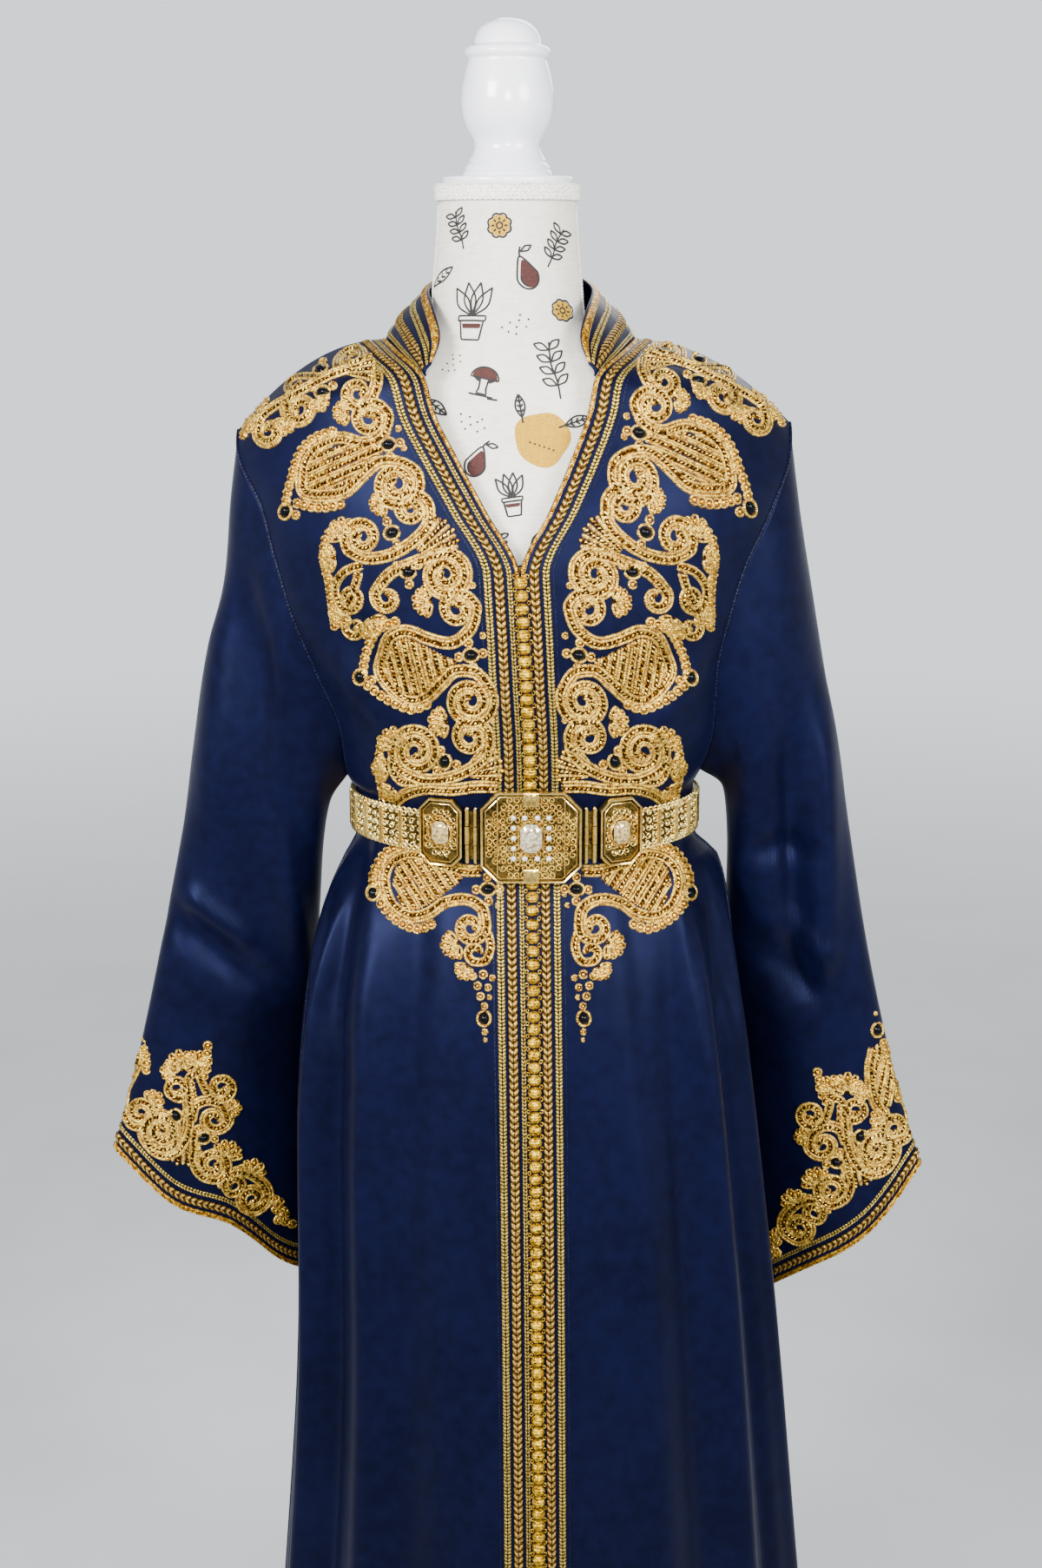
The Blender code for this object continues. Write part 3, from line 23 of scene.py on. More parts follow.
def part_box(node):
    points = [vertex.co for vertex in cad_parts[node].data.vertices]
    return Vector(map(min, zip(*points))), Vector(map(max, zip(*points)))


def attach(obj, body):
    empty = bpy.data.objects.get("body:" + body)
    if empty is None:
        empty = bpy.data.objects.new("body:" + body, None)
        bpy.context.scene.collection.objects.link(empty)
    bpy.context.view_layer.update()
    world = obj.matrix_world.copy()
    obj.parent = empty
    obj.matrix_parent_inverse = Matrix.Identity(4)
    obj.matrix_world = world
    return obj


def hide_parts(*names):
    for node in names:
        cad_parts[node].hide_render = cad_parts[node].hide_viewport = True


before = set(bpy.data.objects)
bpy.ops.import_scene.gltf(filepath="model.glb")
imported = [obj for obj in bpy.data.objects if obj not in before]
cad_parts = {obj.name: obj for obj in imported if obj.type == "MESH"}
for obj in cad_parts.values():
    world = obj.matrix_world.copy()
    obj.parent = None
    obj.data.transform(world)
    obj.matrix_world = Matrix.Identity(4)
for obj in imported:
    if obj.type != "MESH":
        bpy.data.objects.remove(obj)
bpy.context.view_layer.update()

LOG = logging.getLogger("kaftan")
TILT = math.radians(13.0)
SINK = 0.026
EYE_AWAY = 0.6
WAIST_RUN = 1.028
UNDERARM_RUN = 1.058
NECK_POINT_RUN = 1.40
BLADE_RUN = 1.290
SHOULDER_RUN = 1.49
HEM_RUN = 0.015
NECK_SHARE = 0.36
SEAM_GAP = 0.0003
FOLD_DEPTH = 1.35
NAPE = (0.078, 1.436)

Array = np.ndarray


class Side(Enum):
    """The wearer's side as seen from the front; its value is the sign of x."""

    LEFT = -1
    RIGHT = 1

    @property
    def word(self) -> str:
        """The side's name, as the solids are named."""
        return self.name.lower()


# ---------------------------------------------------------------- sections


@dataclass(frozen=True)
class Sections:
    """A short table read as smooth curves of its first column, which never swing past a row.

    Attributes:
        names: the columns' names, the first being the one it is read by.
        rows: the table.
    """

    names: tuple[str, ...]
    rows: tuple[tuple[float, ...], ...]

    def at(self, where: Array | float) -> dict[str, Array]:
        """Reads every column.

        Args:
            where: values of the first column.

        Returns:
            One array for each column, by name.
        """
        table = np.array(self.rows, float)
        knots = table[:, 0]
        where = np.clip(np.asarray(where, float), knots[0], knots[-1])
        index = np.clip(np.searchsorted(knots, where, side="right") - 1, 0, len(knots) - 2)
        step = np.diff(knots)[index]
        u = (where - knots[index]) / step
        keep, reach = (1 + 2 * u) * (1 - u) ** 2, u * u * (3 - 2 * u)
        leave, arrive = u * (1 - u) ** 2 * step, u * u * (u - 1) * step
        found = {}
        for name, column in zip(self.names, table.T):
            slope = self.slopes(knots, column)
            found[name] = (
                column[index] * keep
                + slope[index] * leave
                + column[index + 1] * reach
                + slope[index + 1] * arrive
            )
        return found

    @staticmethod
    def slopes(knots: Array, values: Array) -> Array:
        """Slopes at the rows that keep the curve between its neighbours.

        Args:
            knots: the first column.
            values: another column.

        Returns:
            A slope for each row.
        """
        step = np.diff(knots)
        rise = np.diff(values) / step
        slope = np.zeros(len(values))
        for i in range(1, len(values) - 1):
            if rise[i - 1] * rise[i] > 0:
                before, after = 2 * step[i] + step[i - 1], step[i] + 2 * step[i - 1]
                slope[i] = (before + after) / (before / rise[i - 1] + after / rise[i])
        slope[0], slope[-1] = rise[0], rise[-1]
        return slope


FRONT = Sections(
    ("run", "z", "mid", "open", "front_y", "left_x", "left_z", "right_x", "right_z", "side_y",
     "turn", "droop"),
    (
        (0.015, 0.015, 0.0275, 0.0, -0.212, -0.236, 0.015, 0.292, 0.015, -0.030, 90, 1),
        (0.330, 0.330, 0.0265, 0.0, -0.186, -0.201, 0.330, 0.256, 0.330, -0.035, 90, 1),
        (0.600, 0.600, 0.0245, 0.0, -0.170, -0.183, 0.600, 0.228, 0.600, -0.040, 90, 1),
        (0.750, 0.750, 0.0230, 0.0, -0.158, -0.181, 0.750, 0.210, 0.750, -0.040, 90, 1),
        (0.870, 0.870, 0.0215, 0.0, -0.146, -0.171, 0.870, 0.195, 0.870, -0.035, 90, 1),
        (0.945, 0.945, 0.0205, 0.0, -0.130, -0.154, 0.945, 0.187, 0.945, -0.024, 90, 1),
        (0.985, 0.985, 0.0200, 0.0, -0.1160, -0.138, 0.985, 0.178, 0.985, -0.010, 90, 1),
        (1.008, 1.008, 0.0195, 0.0, -0.113, -0.128, 1.008, 0.156, 1.008, 0.000, 90, 1),
        (1.048, 1.048, 0.0187, 0.0, -0.113, -0.128, 1.046, 0.156, 1.048, 0.000, 90, 1),
        (1.060, 1.060, 0.0185, 0.0, -0.1140, -0.134, 1.054, 0.160, 1.058, -0.012, 90, 1),
        (1.100, 1.100, 0.0178, 0.0, -0.1220, -0.138, 1.100, 0.1695, 1.100, -0.042, 80, 1),
        (1.150, 1.150, 0.0152, 0.0, -0.131, -0.156, 1.150, 0.171, 1.150, -0.056, 72, 1),
        (1.200, 1.200, 0.0128, 0.0, -0.1345, -0.1755, 1.200, 0.182, 1.200, -0.060, 66, 1),
        (1.240, 1.240, 0.0105, 0.0, -0.133, -0.187, 1.240, 0.196, 1.243, -0.057, 62, 1),
        (1.290, 1.290, 0.0085, 0.0245, -0.1215, -0.200, 1.288, 0.2165, 1.290, -0.045, 58, 1),
        (1.332, 1.330, 0.0060, 0.0445, -0.108, -0.216, 1.316, 0.2285, 1.318, -0.028, 55, 1.2),
        (1.371, 1.365, 0.0035, 0.0600, -0.0955, -0.2205, 1.330, 0.2312, 1.334, -0.016, 55, 1.5),
        (1.400, 1.390, 0.0025, 0.0665, -0.087, -0.2212, 1.3365, 0.2318, 1.341, -0.009, 55, 1.8),
        (1.440, 1.4055, 0.0025, 0.0850, -0.055, -0.2215, 1.3405, 0.2320, 1.346, -0.004, 55, 2),
        (1.490, 1.4165, 0.0025, 0.1020, 0.0, -0.2215, 1.3430, 0.2320, 1.349, 0.0, 50, 2),
    ),
)
BACK = Sections(
    ("run", "back_y"),
    (
        (0.015, 0.200), (0.330, 0.165), (0.600, 0.145), (0.750, 0.134), (0.870, 0.121),
        (0.945, 0.108), (0.985, 0.097), (1.008, 0.090), (1.048, 0.090), (1.060, 0.093),
        (1.150, 0.102), (1.240, 0.107), (1.290, 0.105),
    ),
)
SLEEVE_NAMES = ("run", "outer_x", "outer_z", "outer_y", "inner_x", "inner_z", "inner_y", "half")
SLEEVE = {
    Side.LEFT: Sections(
        SLEEVE_NAMES,
        (
            (0.000, -0.2215, 1.343, 0.000, -0.134, 1.052, 0.000, 0.058),
            (0.060, -0.2300, 1.280, 0.000, -0.150, 1.028, 0.004, 0.055),
            (0.130, -0.2360, 1.208, 0.000, -0.158, 0.990, 0.010, 0.050),
            (0.220, -0.2520, 1.122, 0.000, -0.164, 0.930, 0.020, 0.045),
            (0.330, -0.2760, 1.015, 0.000, -0.171, 0.860, 0.034, 0.040),
            (0.440, -0.2990, 0.908, 0.000, -0.178, 0.785, 0.046, 0.037),
            (0.540, -0.3210, 0.815, 0.000, -0.181, 0.700, 0.054, 0.034),
            (0.630, -0.3460, 0.727, 0.000, -0.176, 0.610, 0.058, 0.031),
        ),
    ),
    Side.RIGHT: Sections(
        SLEEVE_NAMES,
        (
            (0.000, 0.2320, 1.349, 0.000, 0.160, 1.056, 0.000, 0.058),
            (0.060, 0.2410, 1.285, 0.000, 0.181, 1.040, 0.004, 0.055),
            (0.130, 0.2540, 1.212, 0.000, 0.187, 0.990, 0.010, 0.050),
            (0.220, 0.2700, 1.125, 0.000, 0.189, 0.930, 0.020, 0.045),
            (0.330, 0.2910, 1.010, 0.000, 0.196, 0.855, 0.034, 0.040),
            (0.440, 0.3100, 0.905, 0.000, 0.204, 0.775, 0.046, 0.037),
            (0.540, 0.3350, 0.800, 0.000, 0.209, 0.685, 0.054, 0.034),
            (0.630, 0.3620, 0.713, 0.000, 0.214, 0.590, 0.058, 0.031),
        ),
    ),
}
COLLAR = Sections(
    ("turn", "top_x", "top_y", "top_z"),
    (
        (0.00, 0.0615, -0.0868, 1.4000), (0.16, 0.0555, -0.0770, 1.4210),
        (0.34, 0.0610, -0.0490, 1.4420), (0.52, 0.0665, -0.0060, 1.4560),
        (0.70, 0.0600, 0.0340, 1.4640), (0.86, 0.0350, 0.0610, 1.4700),
        (1.00, 0.0000, 0.0710, 1.4730),
    ),
)
FORM = Sections(
    ("z", "middle", "half", "front", "back", "power"),
    (
        (0.760, 0.012, 0.118, -0.085, 0.080, 2.2), (0.800, 0.012, 0.138, -0.105, 0.092, 2.2),
        (0.880, 0.012, 0.140, -0.112, 0.092, 2.2), (0.960, 0.014, 0.126, -0.098, 0.080, 2.2),
        (1.020, 0.014, 0.116, -0.088, 0.072, 2.2), (1.060, 0.014, 0.118, -0.094, 0.076, 2.2),
        (1.120, 0.012, 0.130, -0.108, 0.084, 2.2), (1.180, 0.008, 0.142, -0.120, 0.088, 2.2),
        (1.235, 0.005, 0.150, -0.121, 0.090, 2.2), (1.290, 0.003, 0.160, -0.108, 0.088, 2.2),
        (1.335, 0.003, 0.172, -0.092, 0.080, 2.1), (1.367, 0.004, 0.173, -0.081, 0.072, 1.9),
        (1.3878, 0.0050, 0.1594, -0.075, 0.068, 1.7), (1.4026, 0.0040, 0.1274, -0.072, 0.065, 1.7),
        (1.4169, 0.0020, 0.0834, -0.069, 0.063, 1.8), (1.435, 0.000, 0.0625, -0.064, 0.060, 2.0),
        (1.465, 0.000, 0.0595, -0.060, 0.058, 2.0), (1.500, 0.000, 0.0565, -0.057, 0.056, 2.0),
        (1.538, 0.000, 0.0545, -0.0545, 0.0545, 2.0),
    ),
)


@dataclass(frozen=True)
class Fold:
    """A long soft fold of the skirt.

    Attributes:
        place: share of the way from the front edge, or the centre back, to the side.
        spread: half width in the same share.
        rise: how far it stands out.
        start: height at which it is full.
        drift: how far it has wandered at the hem.
    """

    place: float
    spread: float
    rise: float
    start: float
    drift: float


FRONT_FOLDS = {
    Side.LEFT: (
        Fold(0.36, 0.060, -0.005, 0.72, -0.03),
        Fold(0.50, 0.055, 0.008, 0.80, -0.04),
        Fold(0.64, 0.050, -0.008, 0.82, -0.03),
        Fold(0.76, 0.045, 0.010, 0.84, -0.02),
        Fold(0.88, 0.040, -0.009, 0.84, 0.00),
    ),
    Side.RIGHT: (
        Fold(0.30, 0.060, 0.005, 0.66, 0.02),
        Fold(0.46, 0.055, -0.006, 0.76, -0.03),
        Fold(0.60, 0.050, 0.009, 0.82, -0.03),
        Fold(0.74, 0.045, -0.009, 0.84, -0.02),
        Fold(0.87, 0.040, 0.008, 0.84, 0.00),
    ),
}
BACK_FOLDS = (
    Fold(-0.88, 0.045, 0.008, 0.84, 0.00),
    Fold(-0.70, 0.050, -0.009, 0.80, 0.02),
    Fold(-0.52, 0.050, 0.012, 0.78, 0.03),
    Fold(-0.34, 0.055, -0.010, 0.80, 0.02),
    Fold(-0.15, 0.055, 0.011, 0.76, 0.01),
    Fold(0.05, 0.055, -0.010, 0.78, 0.00),
    Fold(0.24, 0.055, 0.011, 0.80, -0.01),
    Fold(0.43, 0.050, -0.010, 0.76, -0.02),
    Fold(0.61, 0.050, 0.011, 0.80, -0.03),
    Fold(0.78, 0.045, -0.008, 0.82, -0.01),
)


# ---------------------------------------------------------------- lines and nets


def ease(low: float, high: float, value: Array | float) -> Array:
    """A smooth step from 0 at `low` to 1 at `high`."""
    share = np.clip((np.asarray(value, float) - low) / (high - low), 0.0, 1.0)
    return share * share * (3 - 2 * share)


def unit(vectors: Array) -> Array:
    """The vectors at length 1."""
    return vectors / np.maximum(np.linalg.norm(vectors, axis=-1, keepdims=True), 1e-12)


def polar(turn: Array | float) -> Array:
    """The point on a circle of radius 1 for each turn."""
    return np.stack([np.cos(turn), np.sin(turn)], axis=-1)


def spun(degrees: float) -> Array:
    """The matrix that turns spots, when they are multiplied by it."""
    c, s = math.cos(math.radians(degrees)), math.sin(math.radians(degrees))
    return np.array(((c, s), (-s, c)))


def lengths(line: Array) -> Array:
    """Distance along a line of points to each of them."""
    return np.concatenate([[0.0], np.cumsum(np.linalg.norm(np.diff(line, axis=0), axis=1))])


def read_off(values: Array, far: Array, wanted: Array | float) -> Array:
    """Rows of values that are known at `far`, read at `wanted`."""
    return np.stack([np.interp(wanted, far, column) for column in values.T], axis=-1)


def respaced(line: Array, step: float) -> Array:
    """The line with its points an even step apart."""
    far = lengths(line)
    return read_off(line, far, np.linspace(0.0, far[-1], max(int(round(far[-1] / step)), 2) + 1))


def smooth_line(points: Sequence[Sequence[float]], step: float) -> Array:
    """A smooth curve through the points, with its own points a step apart.

    Args:
        points: what it passes through.
        step: how far apart its own points are.

    Returns:
        The curve's points.
    """
    given = np.array(points, float)
    ends = np.concatenate([[2 * given[0] - given[1]], given, [2 * given[-1] - given[-2]]])
    u = np.linspace(0.0, 1.0, 9)[:-1, None]
    fine = [0.5 * (2 * b + (c - a) * u + (2 * a - 5 * b + 4 * c - d) * u**2
                   + (3 * b - a - 3 * c + d) * u**3)
            for a, b, c, d in zip(ends, ends[1:], ends[2:], ends[3:])]
    return respaced(np.concatenate([*fine, given[-1:]]), step)


def net(rows: int, columns: int, round_rows: bool = False, round_columns: bool = True) -> list:
    """Corners of the faces of a net of points.

    Args:
        rows: how many rows it has.
        columns: how many points a row has.
        round_rows: whether the last row joins the first.
        round_columns: whether the end of a row joins its start.

    Returns:
        Its four-sided faces, row by row.
    """
    return [
        (r * columns + c, r * columns + (c + 1) % columns,
         (r + 1) % rows * columns + (c + 1) % columns, (r + 1) % rows * columns + c)
        for r in range(rows if round_rows else rows - 1)
        for c in range(columns if round_columns else columns - 1)
    ]


def net_ends(rows: int, columns: int) -> list:
    """Faces that close the first and the last column of a net."""
    return [[k * columns for k in range(rows)],
            [k * columns + columns - 1 for k in reversed(range(rows))]]


def domed(rows: int, sides: int) -> list:
    """Faces of rings of points that close in on one last point."""
    last = (rows - 1) * sides
    return net(rows, sides) + [(last + k, last + (k + 1) % sides, last + sides)
                               for k in range(sides)]


def tube(line: Array, radius: float, sides: int, closed: bool = False) -> tuple[Array, list]:
    """A round wire along a line.

    Args:
        line: its centre.
        radius: its radius.
        sides: how many sides it has.
        closed: whether its end joins its start.

    Returns:
        Its points and its faces.
    """
    along = np.gradient(line, axis=0)
    if closed:
        along = np.roll(line, -1, axis=0) - np.roll(line, 1, axis=0)
    along = unit(along)
    upright = np.abs(along[:, 2]).mean() >= 0.75
    across = unit(np.cross(along, (0.0, 1.0, 0.0) if upright else (0.0, 0.0, 1.0)) + 1e-9)
    over = np.cross(across, along)
    points = np.concatenate([line + radius * (across * math.cos(turn) + over * math.sin(turn))
                             for turn in np.arange(sides) * 2 * math.pi / sides])
    return points, net(sides, len(line), True, closed) + (
        [] if closed else net_ends(sides, len(line)))


# ---------------------------------------------------------------- surfaces


def fold_push(folds: Sequence[Fold], place: Array, height: Array) -> Array:
    """How far the skirt's folds push the cloth out.

    Args:
        folds: the folds of this panel.
        place: share across the panel.
        height: height of each point.

    Returns:
        The push of each point, in metres.
    """
    push = np.zeros(np.broadcast(place, height).shape)
    for fold in folds:
        centre = fold.place + fold.drift * (1 - height)
        grown = FOLD_DEPTH * fold.rise * (1 - ease(fold.start, 1.0, height))
        push = push + grown * np.exp(-(((place - centre) / fold.spread) ** 2))
    return push * (1 - np.abs(place) ** 10)


def arc(turn: Array, share: Array) -> tuple[Array, Array]:
    """Across and sink of a row that turns by this angle."""
    across = np.sin(turn * share) / np.sin(turn)
    return across, (np.cos(turn * share) - np.cos(turn)) / (1 - np.cos(turn))


def pushed(plain: Callable[[Array, Array], Array], run: Array, share: Array,
           folds: Sequence[Fold]) -> Array:
    """Points moved by the folds, level and square to their row, away from the body.

    Args:
        plain: gives the points without folds.
        run: distance up the panel.
        share: share across it.
        folds: the panel's folds.

    Returns:
        The moved points.
    """
    point = plain(run, share)
    push = fold_push(folds, share, point[..., 2])
    along = plain(run, share + 0.01) - plain(run, share - 0.01)
    out = unit(np.stack([along[..., 1], -along[..., 0], 0 * along[..., 0]], axis=-1))
    middle = FRONT.at(run)["mid"]
    inward = out[..., 0] * (point[..., 0] - middle) + out[..., 1] * point[..., 1] < 0
    return point + np.where(inward[..., None], -out, out) * push[..., None]


def plain_front(side: Side, run: Array, share: Array) -> Array:
    """Points of a front's outer face before it is folded.

    Args:
        side: which front.
        run: distance up the panel.
        share: share from its front edge to its side.

    Returns:
        The points.
    """
    row = FRONT.at(run)
    across, sink = arc(np.radians(row["turn"]), share)
    near = row["mid"] + side.value * np.maximum(row["open"], SEAM_GAP / 2)
    far_x, far_z = row[side.word + "_x"], row[side.word + "_z"]
    depth = row["side_y"] - SEAM_GAP / 2 + (row["front_y"] - row["side_y"]) * sink
    fall = (far_z - row["z"]) * np.abs(across) ** row["droop"]
    return np.stack([near + (far_x - near) * across, depth, row["z"] + fall], axis=-1)


def back_top(share: Array) -> Array:
    """Points of the back's top edge: round the nape, then out along the shoulder seam.

    Args:
        share: share from the middle, below 0 on the left.

    Returns:
        The points.
    """
    away = np.clip((np.abs(share) - NECK_SHARE) / (1 - NECK_SHARE), 0.0, 1.0)
    run = np.full(share.shape, SHOULDER_RUN)
    point = np.where((share < 0)[..., None], plain_front(Side.LEFT, run, away),
                     plain_front(Side.RIGHT, run, away))
    point[..., 1] = SEAM_GAP / 2
    turn = 0.5 * math.pi * np.clip(np.abs(share) / NECK_SHARE, 0.0, 1.0)
    middle = FRONT.at(run)["mid"]
    half = np.abs(point[..., 0] - middle) * np.where(share < 0, -1.0, 1.0)
    nape = np.stack([middle + half * np.sin(turn), SEAM_GAP / 2 + NAPE[0] * np.cos(turn),
                     point[..., 2] + (NAPE[1] - point[..., 2]) * np.cos(turn)], axis=-1)
    return np.where((np.abs(share) <= NECK_SHARE)[..., None], nape, point)


def plain_back(run: Array, share: Array) -> Array:
    """Points of the back before it is folded, from its left side (-1) to its right (1).

    Args:
        run: distance up the panel.
        share: share across it.

    Returns:
        The points.
    """
    low_run = np.minimum(run, BLADE_RUN)
    row = FRONT.at(low_run)
    across, sink = arc(np.radians(row["turn"]), np.abs(share))
    far_x = np.where(share < 0, row["left_x"], row["right_x"])
    far_z = np.where(share < 0, row["left_z"], row["right_z"])
    side_y = np.where(low_run <= UNDERARM_RUN, row["side_y"], -row["side_y"])
    depth = side_y + SEAM_GAP / 2 + (BACK.at(low_run)["back_y"] - side_y) * sink
    fall = (far_z - row["z"]) * np.abs(across) ** row["droop"]
    low = np.stack([row["mid"] + (far_x - row["mid"]) * across, depth, row["z"] + fall], axis=-1)
    top = back_top(share)
    rise = 0.5 * math.pi * np.clip((run - BLADE_RUN) / (SHOULDER_RUN - BLADE_RUN), 0.0, 1.0)
    rise = rise[..., None]
    over = low + (top - low) * np.sin(rise)
    over[..., 1:2] = top[..., 1:2] + (low - top)[..., 1:2] * np.cos(rise)
    return np.where((run > BLADE_RUN)[..., None], over, low)


def drawn(points: Array) -> Array:
    """Across and up of points as an eye sees them that looks slightly down."""
    return np.stack([points[..., 0], points[..., 2] * math.cos(TILT)
                     + points[..., 1] * math.sin(TILT)], axis=-1)


@dataclass
class Ground:
    """A piece of cloth as a fine grid of points that things are laid on.

    Attributes:
        points: rows of points, up or down the piece.
        closed: whether the last column joins the first.
        inside: a point well inside the piece, which the faces look away from.
    """

    points: Array
    closed: bool
    inside: tuple[float, float, float] = (0.0, 0.0, 0.0)
    normals: Array = field(init=False)
    quads: Array | None = field(init=False, default=None)
    tree: BVHTree | None = field(init=False, default=None)

    def __post_init__(self) -> None:
        """Finds the normals."""
        along, across = np.gradient(self.points, axis=0), np.gradient(self.points, axis=1)
        middle = np.array(self.inside)
        if self.closed:
            across = np.roll(self.points, -1, axis=1) - np.roll(self.points, 1, axis=1)
            middle = self.points.mean(axis=1, keepdims=True)
        normals = unit(np.cross(along, across))
        self.normals = -normals if (normals * (self.points - middle)).sum() < 0 else normals

    def push(self, distance: Array) -> "Ground":
        """The same piece with each point moved along its normal."""
        return Ground(self.points + self.normals * distance[..., None], self.closed, self.inside)

    def corners(self) -> Array:
        """Corner numbers of the grid's faces, turned so that they look out.

        Returns:
            Four numbers for each face.
        """
        quads = np.array(net(*self.points.shape[:2], False, self.closed))
        corner = self.points.reshape(-1, 3)[quads]
        face = np.cross(corner[:, 2] - corner[:, 0], corner[:, 3] - corner[:, 1])
        if (face * self.normals.reshape(-1, 3)[quads[:, 0]]).sum() < 0:
            quads = quads[:, ::-1]
        return quads

    def area(self) -> float:
        """Area of the grid's faces."""
        a, b, c, d = self.points.reshape(-1, 3)[self.corners()].transpose(1, 0, 2)
        halves = (np.cross(b - a, c - a), np.cross(c - a, d - a))
        return float(sum(np.linalg.norm(half, axis=1).sum() for half in halves)) / 2

    def cast(self, spots: Array) -> tuple[Array, Array, Array]:
        """Finds where drawn spots lie on the piece.

        Args:
            spots: across and up of each spot, as drawn.

        Returns:
            The points, their normals, and which of the spots meet the piece.
        """
        flat, normals = self.points.reshape(-1, 3), self.normals.reshape(-1, 3)
        if self.tree is None:
            self.quads = self.corners()
            self.tree = BVHTree.FromPolygons(flat.tolist(), self.quads.tolist())
        found, facing, met = np.zeros((len(spots), 3)), np.zeros((len(spots), 3)), []
        away = Vector((0.0, math.cos(TILT), -math.sin(TILT)))
        for i, (x, up) in enumerate(spots):
            start = Vector((x, -EYE_AWAY, (up + EYE_AWAY * math.sin(TILT)) / math.cos(TILT)))
            place, _, face, _ = self.tree.ray_cast(start, away)
            met.append(place is not None)
            if place is None:
                continue
            found[i] = place
            corners = self.quads[face]
            near = 1 / (((flat[corners] - found[i]) ** 2).sum(axis=1) + 1e-7)
            facing[i] = unit((normals[corners] * near[:, None]).sum(axis=0))
        return found, facing, np.array(met, bool)


@dataclass(frozen=True)
class Crease:
    """A soft trough or ridge laid between two drawn spots; a trough has depth < 0."""

    start: tuple[float, float]
    end: tuple[float, float]
    width: float
    depth: float

    def push(self, spots: Array) -> Array:
        """How far it moves the cloth at each drawn spot.

        Args:
            spots: the spots.

        Returns:
            The distance at each, in metres.
        """
        start, along = np.array(self.start), np.array(self.end) - np.array(self.start)
        share = ((spots - start) @ along) / (along @ along)
        off = np.linalg.norm(spots - start - share[..., None] * along, axis=-1)
        taper = ease(-0.25, 0.25, share) * (1 - ease(0.75, 1.25, share))
        return self.depth * taper * np.exp(-((off / self.width) ** 2))


def creased(ground: Ground, creases: Sequence[Crease], behind: bool = False) -> Ground:
    """The cloth with its creases.

    Args:
        ground: the cloth.
        creases: the troughs and ridges.
        behind: whether they are on the half that looks back.

    Returns:
        The creased cloth.
    """
    spots = drawn(ground.points)
    shows = ease(-0.15, 0.25, ground.normals[..., 1] * (1 if behind else -1))
    push = sum((crease.push(spots) for crease in creases), np.zeros(spots.shape[:-1]))
    return ground.push(push * shows)


FRONT_CREASES = {
    Side.LEFT: (
        Crease((-0.128, 1.140), (-0.060, 1.075), 0.014, -0.0042),
        Crease((-0.140, 1.115), (-0.095, 1.060), 0.010, 0.0036),
        Crease((-0.165, 1.200), (-0.120, 1.120), 0.016, -0.0039),
        Crease((-0.120, 0.975), (-0.150, 0.820), 0.010, -0.0063),
        Crease((-0.105, 0.970), (-0.128, 0.800), 0.010, 0.0049),
        Crease((-0.140, 0.960), (-0.168, 0.860), 0.008, 0.0042),
        Crease((-0.070, 0.960), (-0.082, 0.700), 0.014, -0.0035),
    ),
    Side.RIGHT: (
        Crease((0.150, 1.140), (0.095, 1.075), 0.014, -0.0042),
        Crease((0.158, 1.110), (0.118, 1.060), 0.010, 0.0034),
        Crease((0.190, 1.210), (0.150, 1.130), 0.016, -0.0036),
        Crease((0.150, 0.970), (0.190, 0.830), 0.010, -0.0056),
        Crease((0.132, 0.970), (0.160, 0.780), 0.010, 0.0045),
        Crease((0.100, 0.960), (0.118, 0.720), 0.014, -0.0035),
    ),
}
BACK_CREASES = (
    Crease((-0.120, 1.130), (-0.050, 1.060), 0.016, -0.0030),
    Crease((0.140, 1.130), (0.080, 1.060), 0.016, -0.0030),
    Crease((-0.100, 0.985), (-0.125, 0.820), 0.011, -0.0038),
    Crease((-0.045, 0.985), (-0.055, 0.780), 0.012, 0.0032),
    Crease((0.030, 0.985), (0.034, 0.760), 0.012, -0.0034),
    Crease((0.085, 0.985), (0.100, 0.800), 0.011, 0.0030),
    Crease((0.130, 0.985), (0.158, 0.840), 0.010, -0.0034),
)
SLEEVE_CREASES = {
    Side.LEFT: (
        Crease((-0.215, 1.170), (-0.190, 0.960), 0.016, -0.0115),
        Crease((-0.198, 1.060), (-0.182, 0.860), 0.012, 0.0102),
        Crease((-0.282, 0.900), (-0.212, 0.842), 0.014, -0.0102),
        Crease((-0.275, 0.925), (-0.225, 0.885), 0.010, 0.0072),
        Crease((-0.240, 1.180), (-0.250, 0.990), 0.020, 0.0090),
    ),
    Side.RIGHT: (
        Crease((0.236, 1.060), (0.246, 0.850), 0.013, -0.0128),
        Crease((0.262, 1.070), (0.272, 0.860), 0.014, 0.0090),
        Crease((0.205, 0.962), (0.256, 0.962), 0.010, -0.0093),
        Crease((0.212, 0.880), (0.268, 0.835), 0.012, -0.0093),
        Crease((0.230, 0.905), (0.280, 0.865), 0.010, 0.0067),
    ),
}
SLEEVE_BACK_CREASES = {
    side: tuple(
        Crease(
            (side.value * start[0], start[1]), (side.value * end[0], end[1]), width, depth
        )
        for start, end, width, depth in (
            ((0.205, 1.150), (0.200, 0.940), 0.015, -0.0040),
            ((0.235, 1.120), (0.250, 0.900), 0.015, 0.0035),
            ((0.220, 0.930), (0.275, 0.860), 0.012, -0.0036),
        )
    )
    for side in Side
}
HEM_DROP = {
    Side.LEFT: (
        (0.0, 0.14, 0.26, 0.36, 0.50, 0.65, 0.76, 0.86, 1.0),
        (0.010, 0.016, 0.026, 0.028, 0.018, 0.017, 0.030, 0.038, 0.034),
    ),
    Side.RIGHT: (
        (0.0, 0.12, 0.25, 0.40, 0.55, 0.70, 0.85, 1.0),
        (0.010, 0.020, 0.034, 0.040, 0.038, 0.036, 0.038, 0.040),
    ),
}


# ---------------------------------------------------------------- finishes


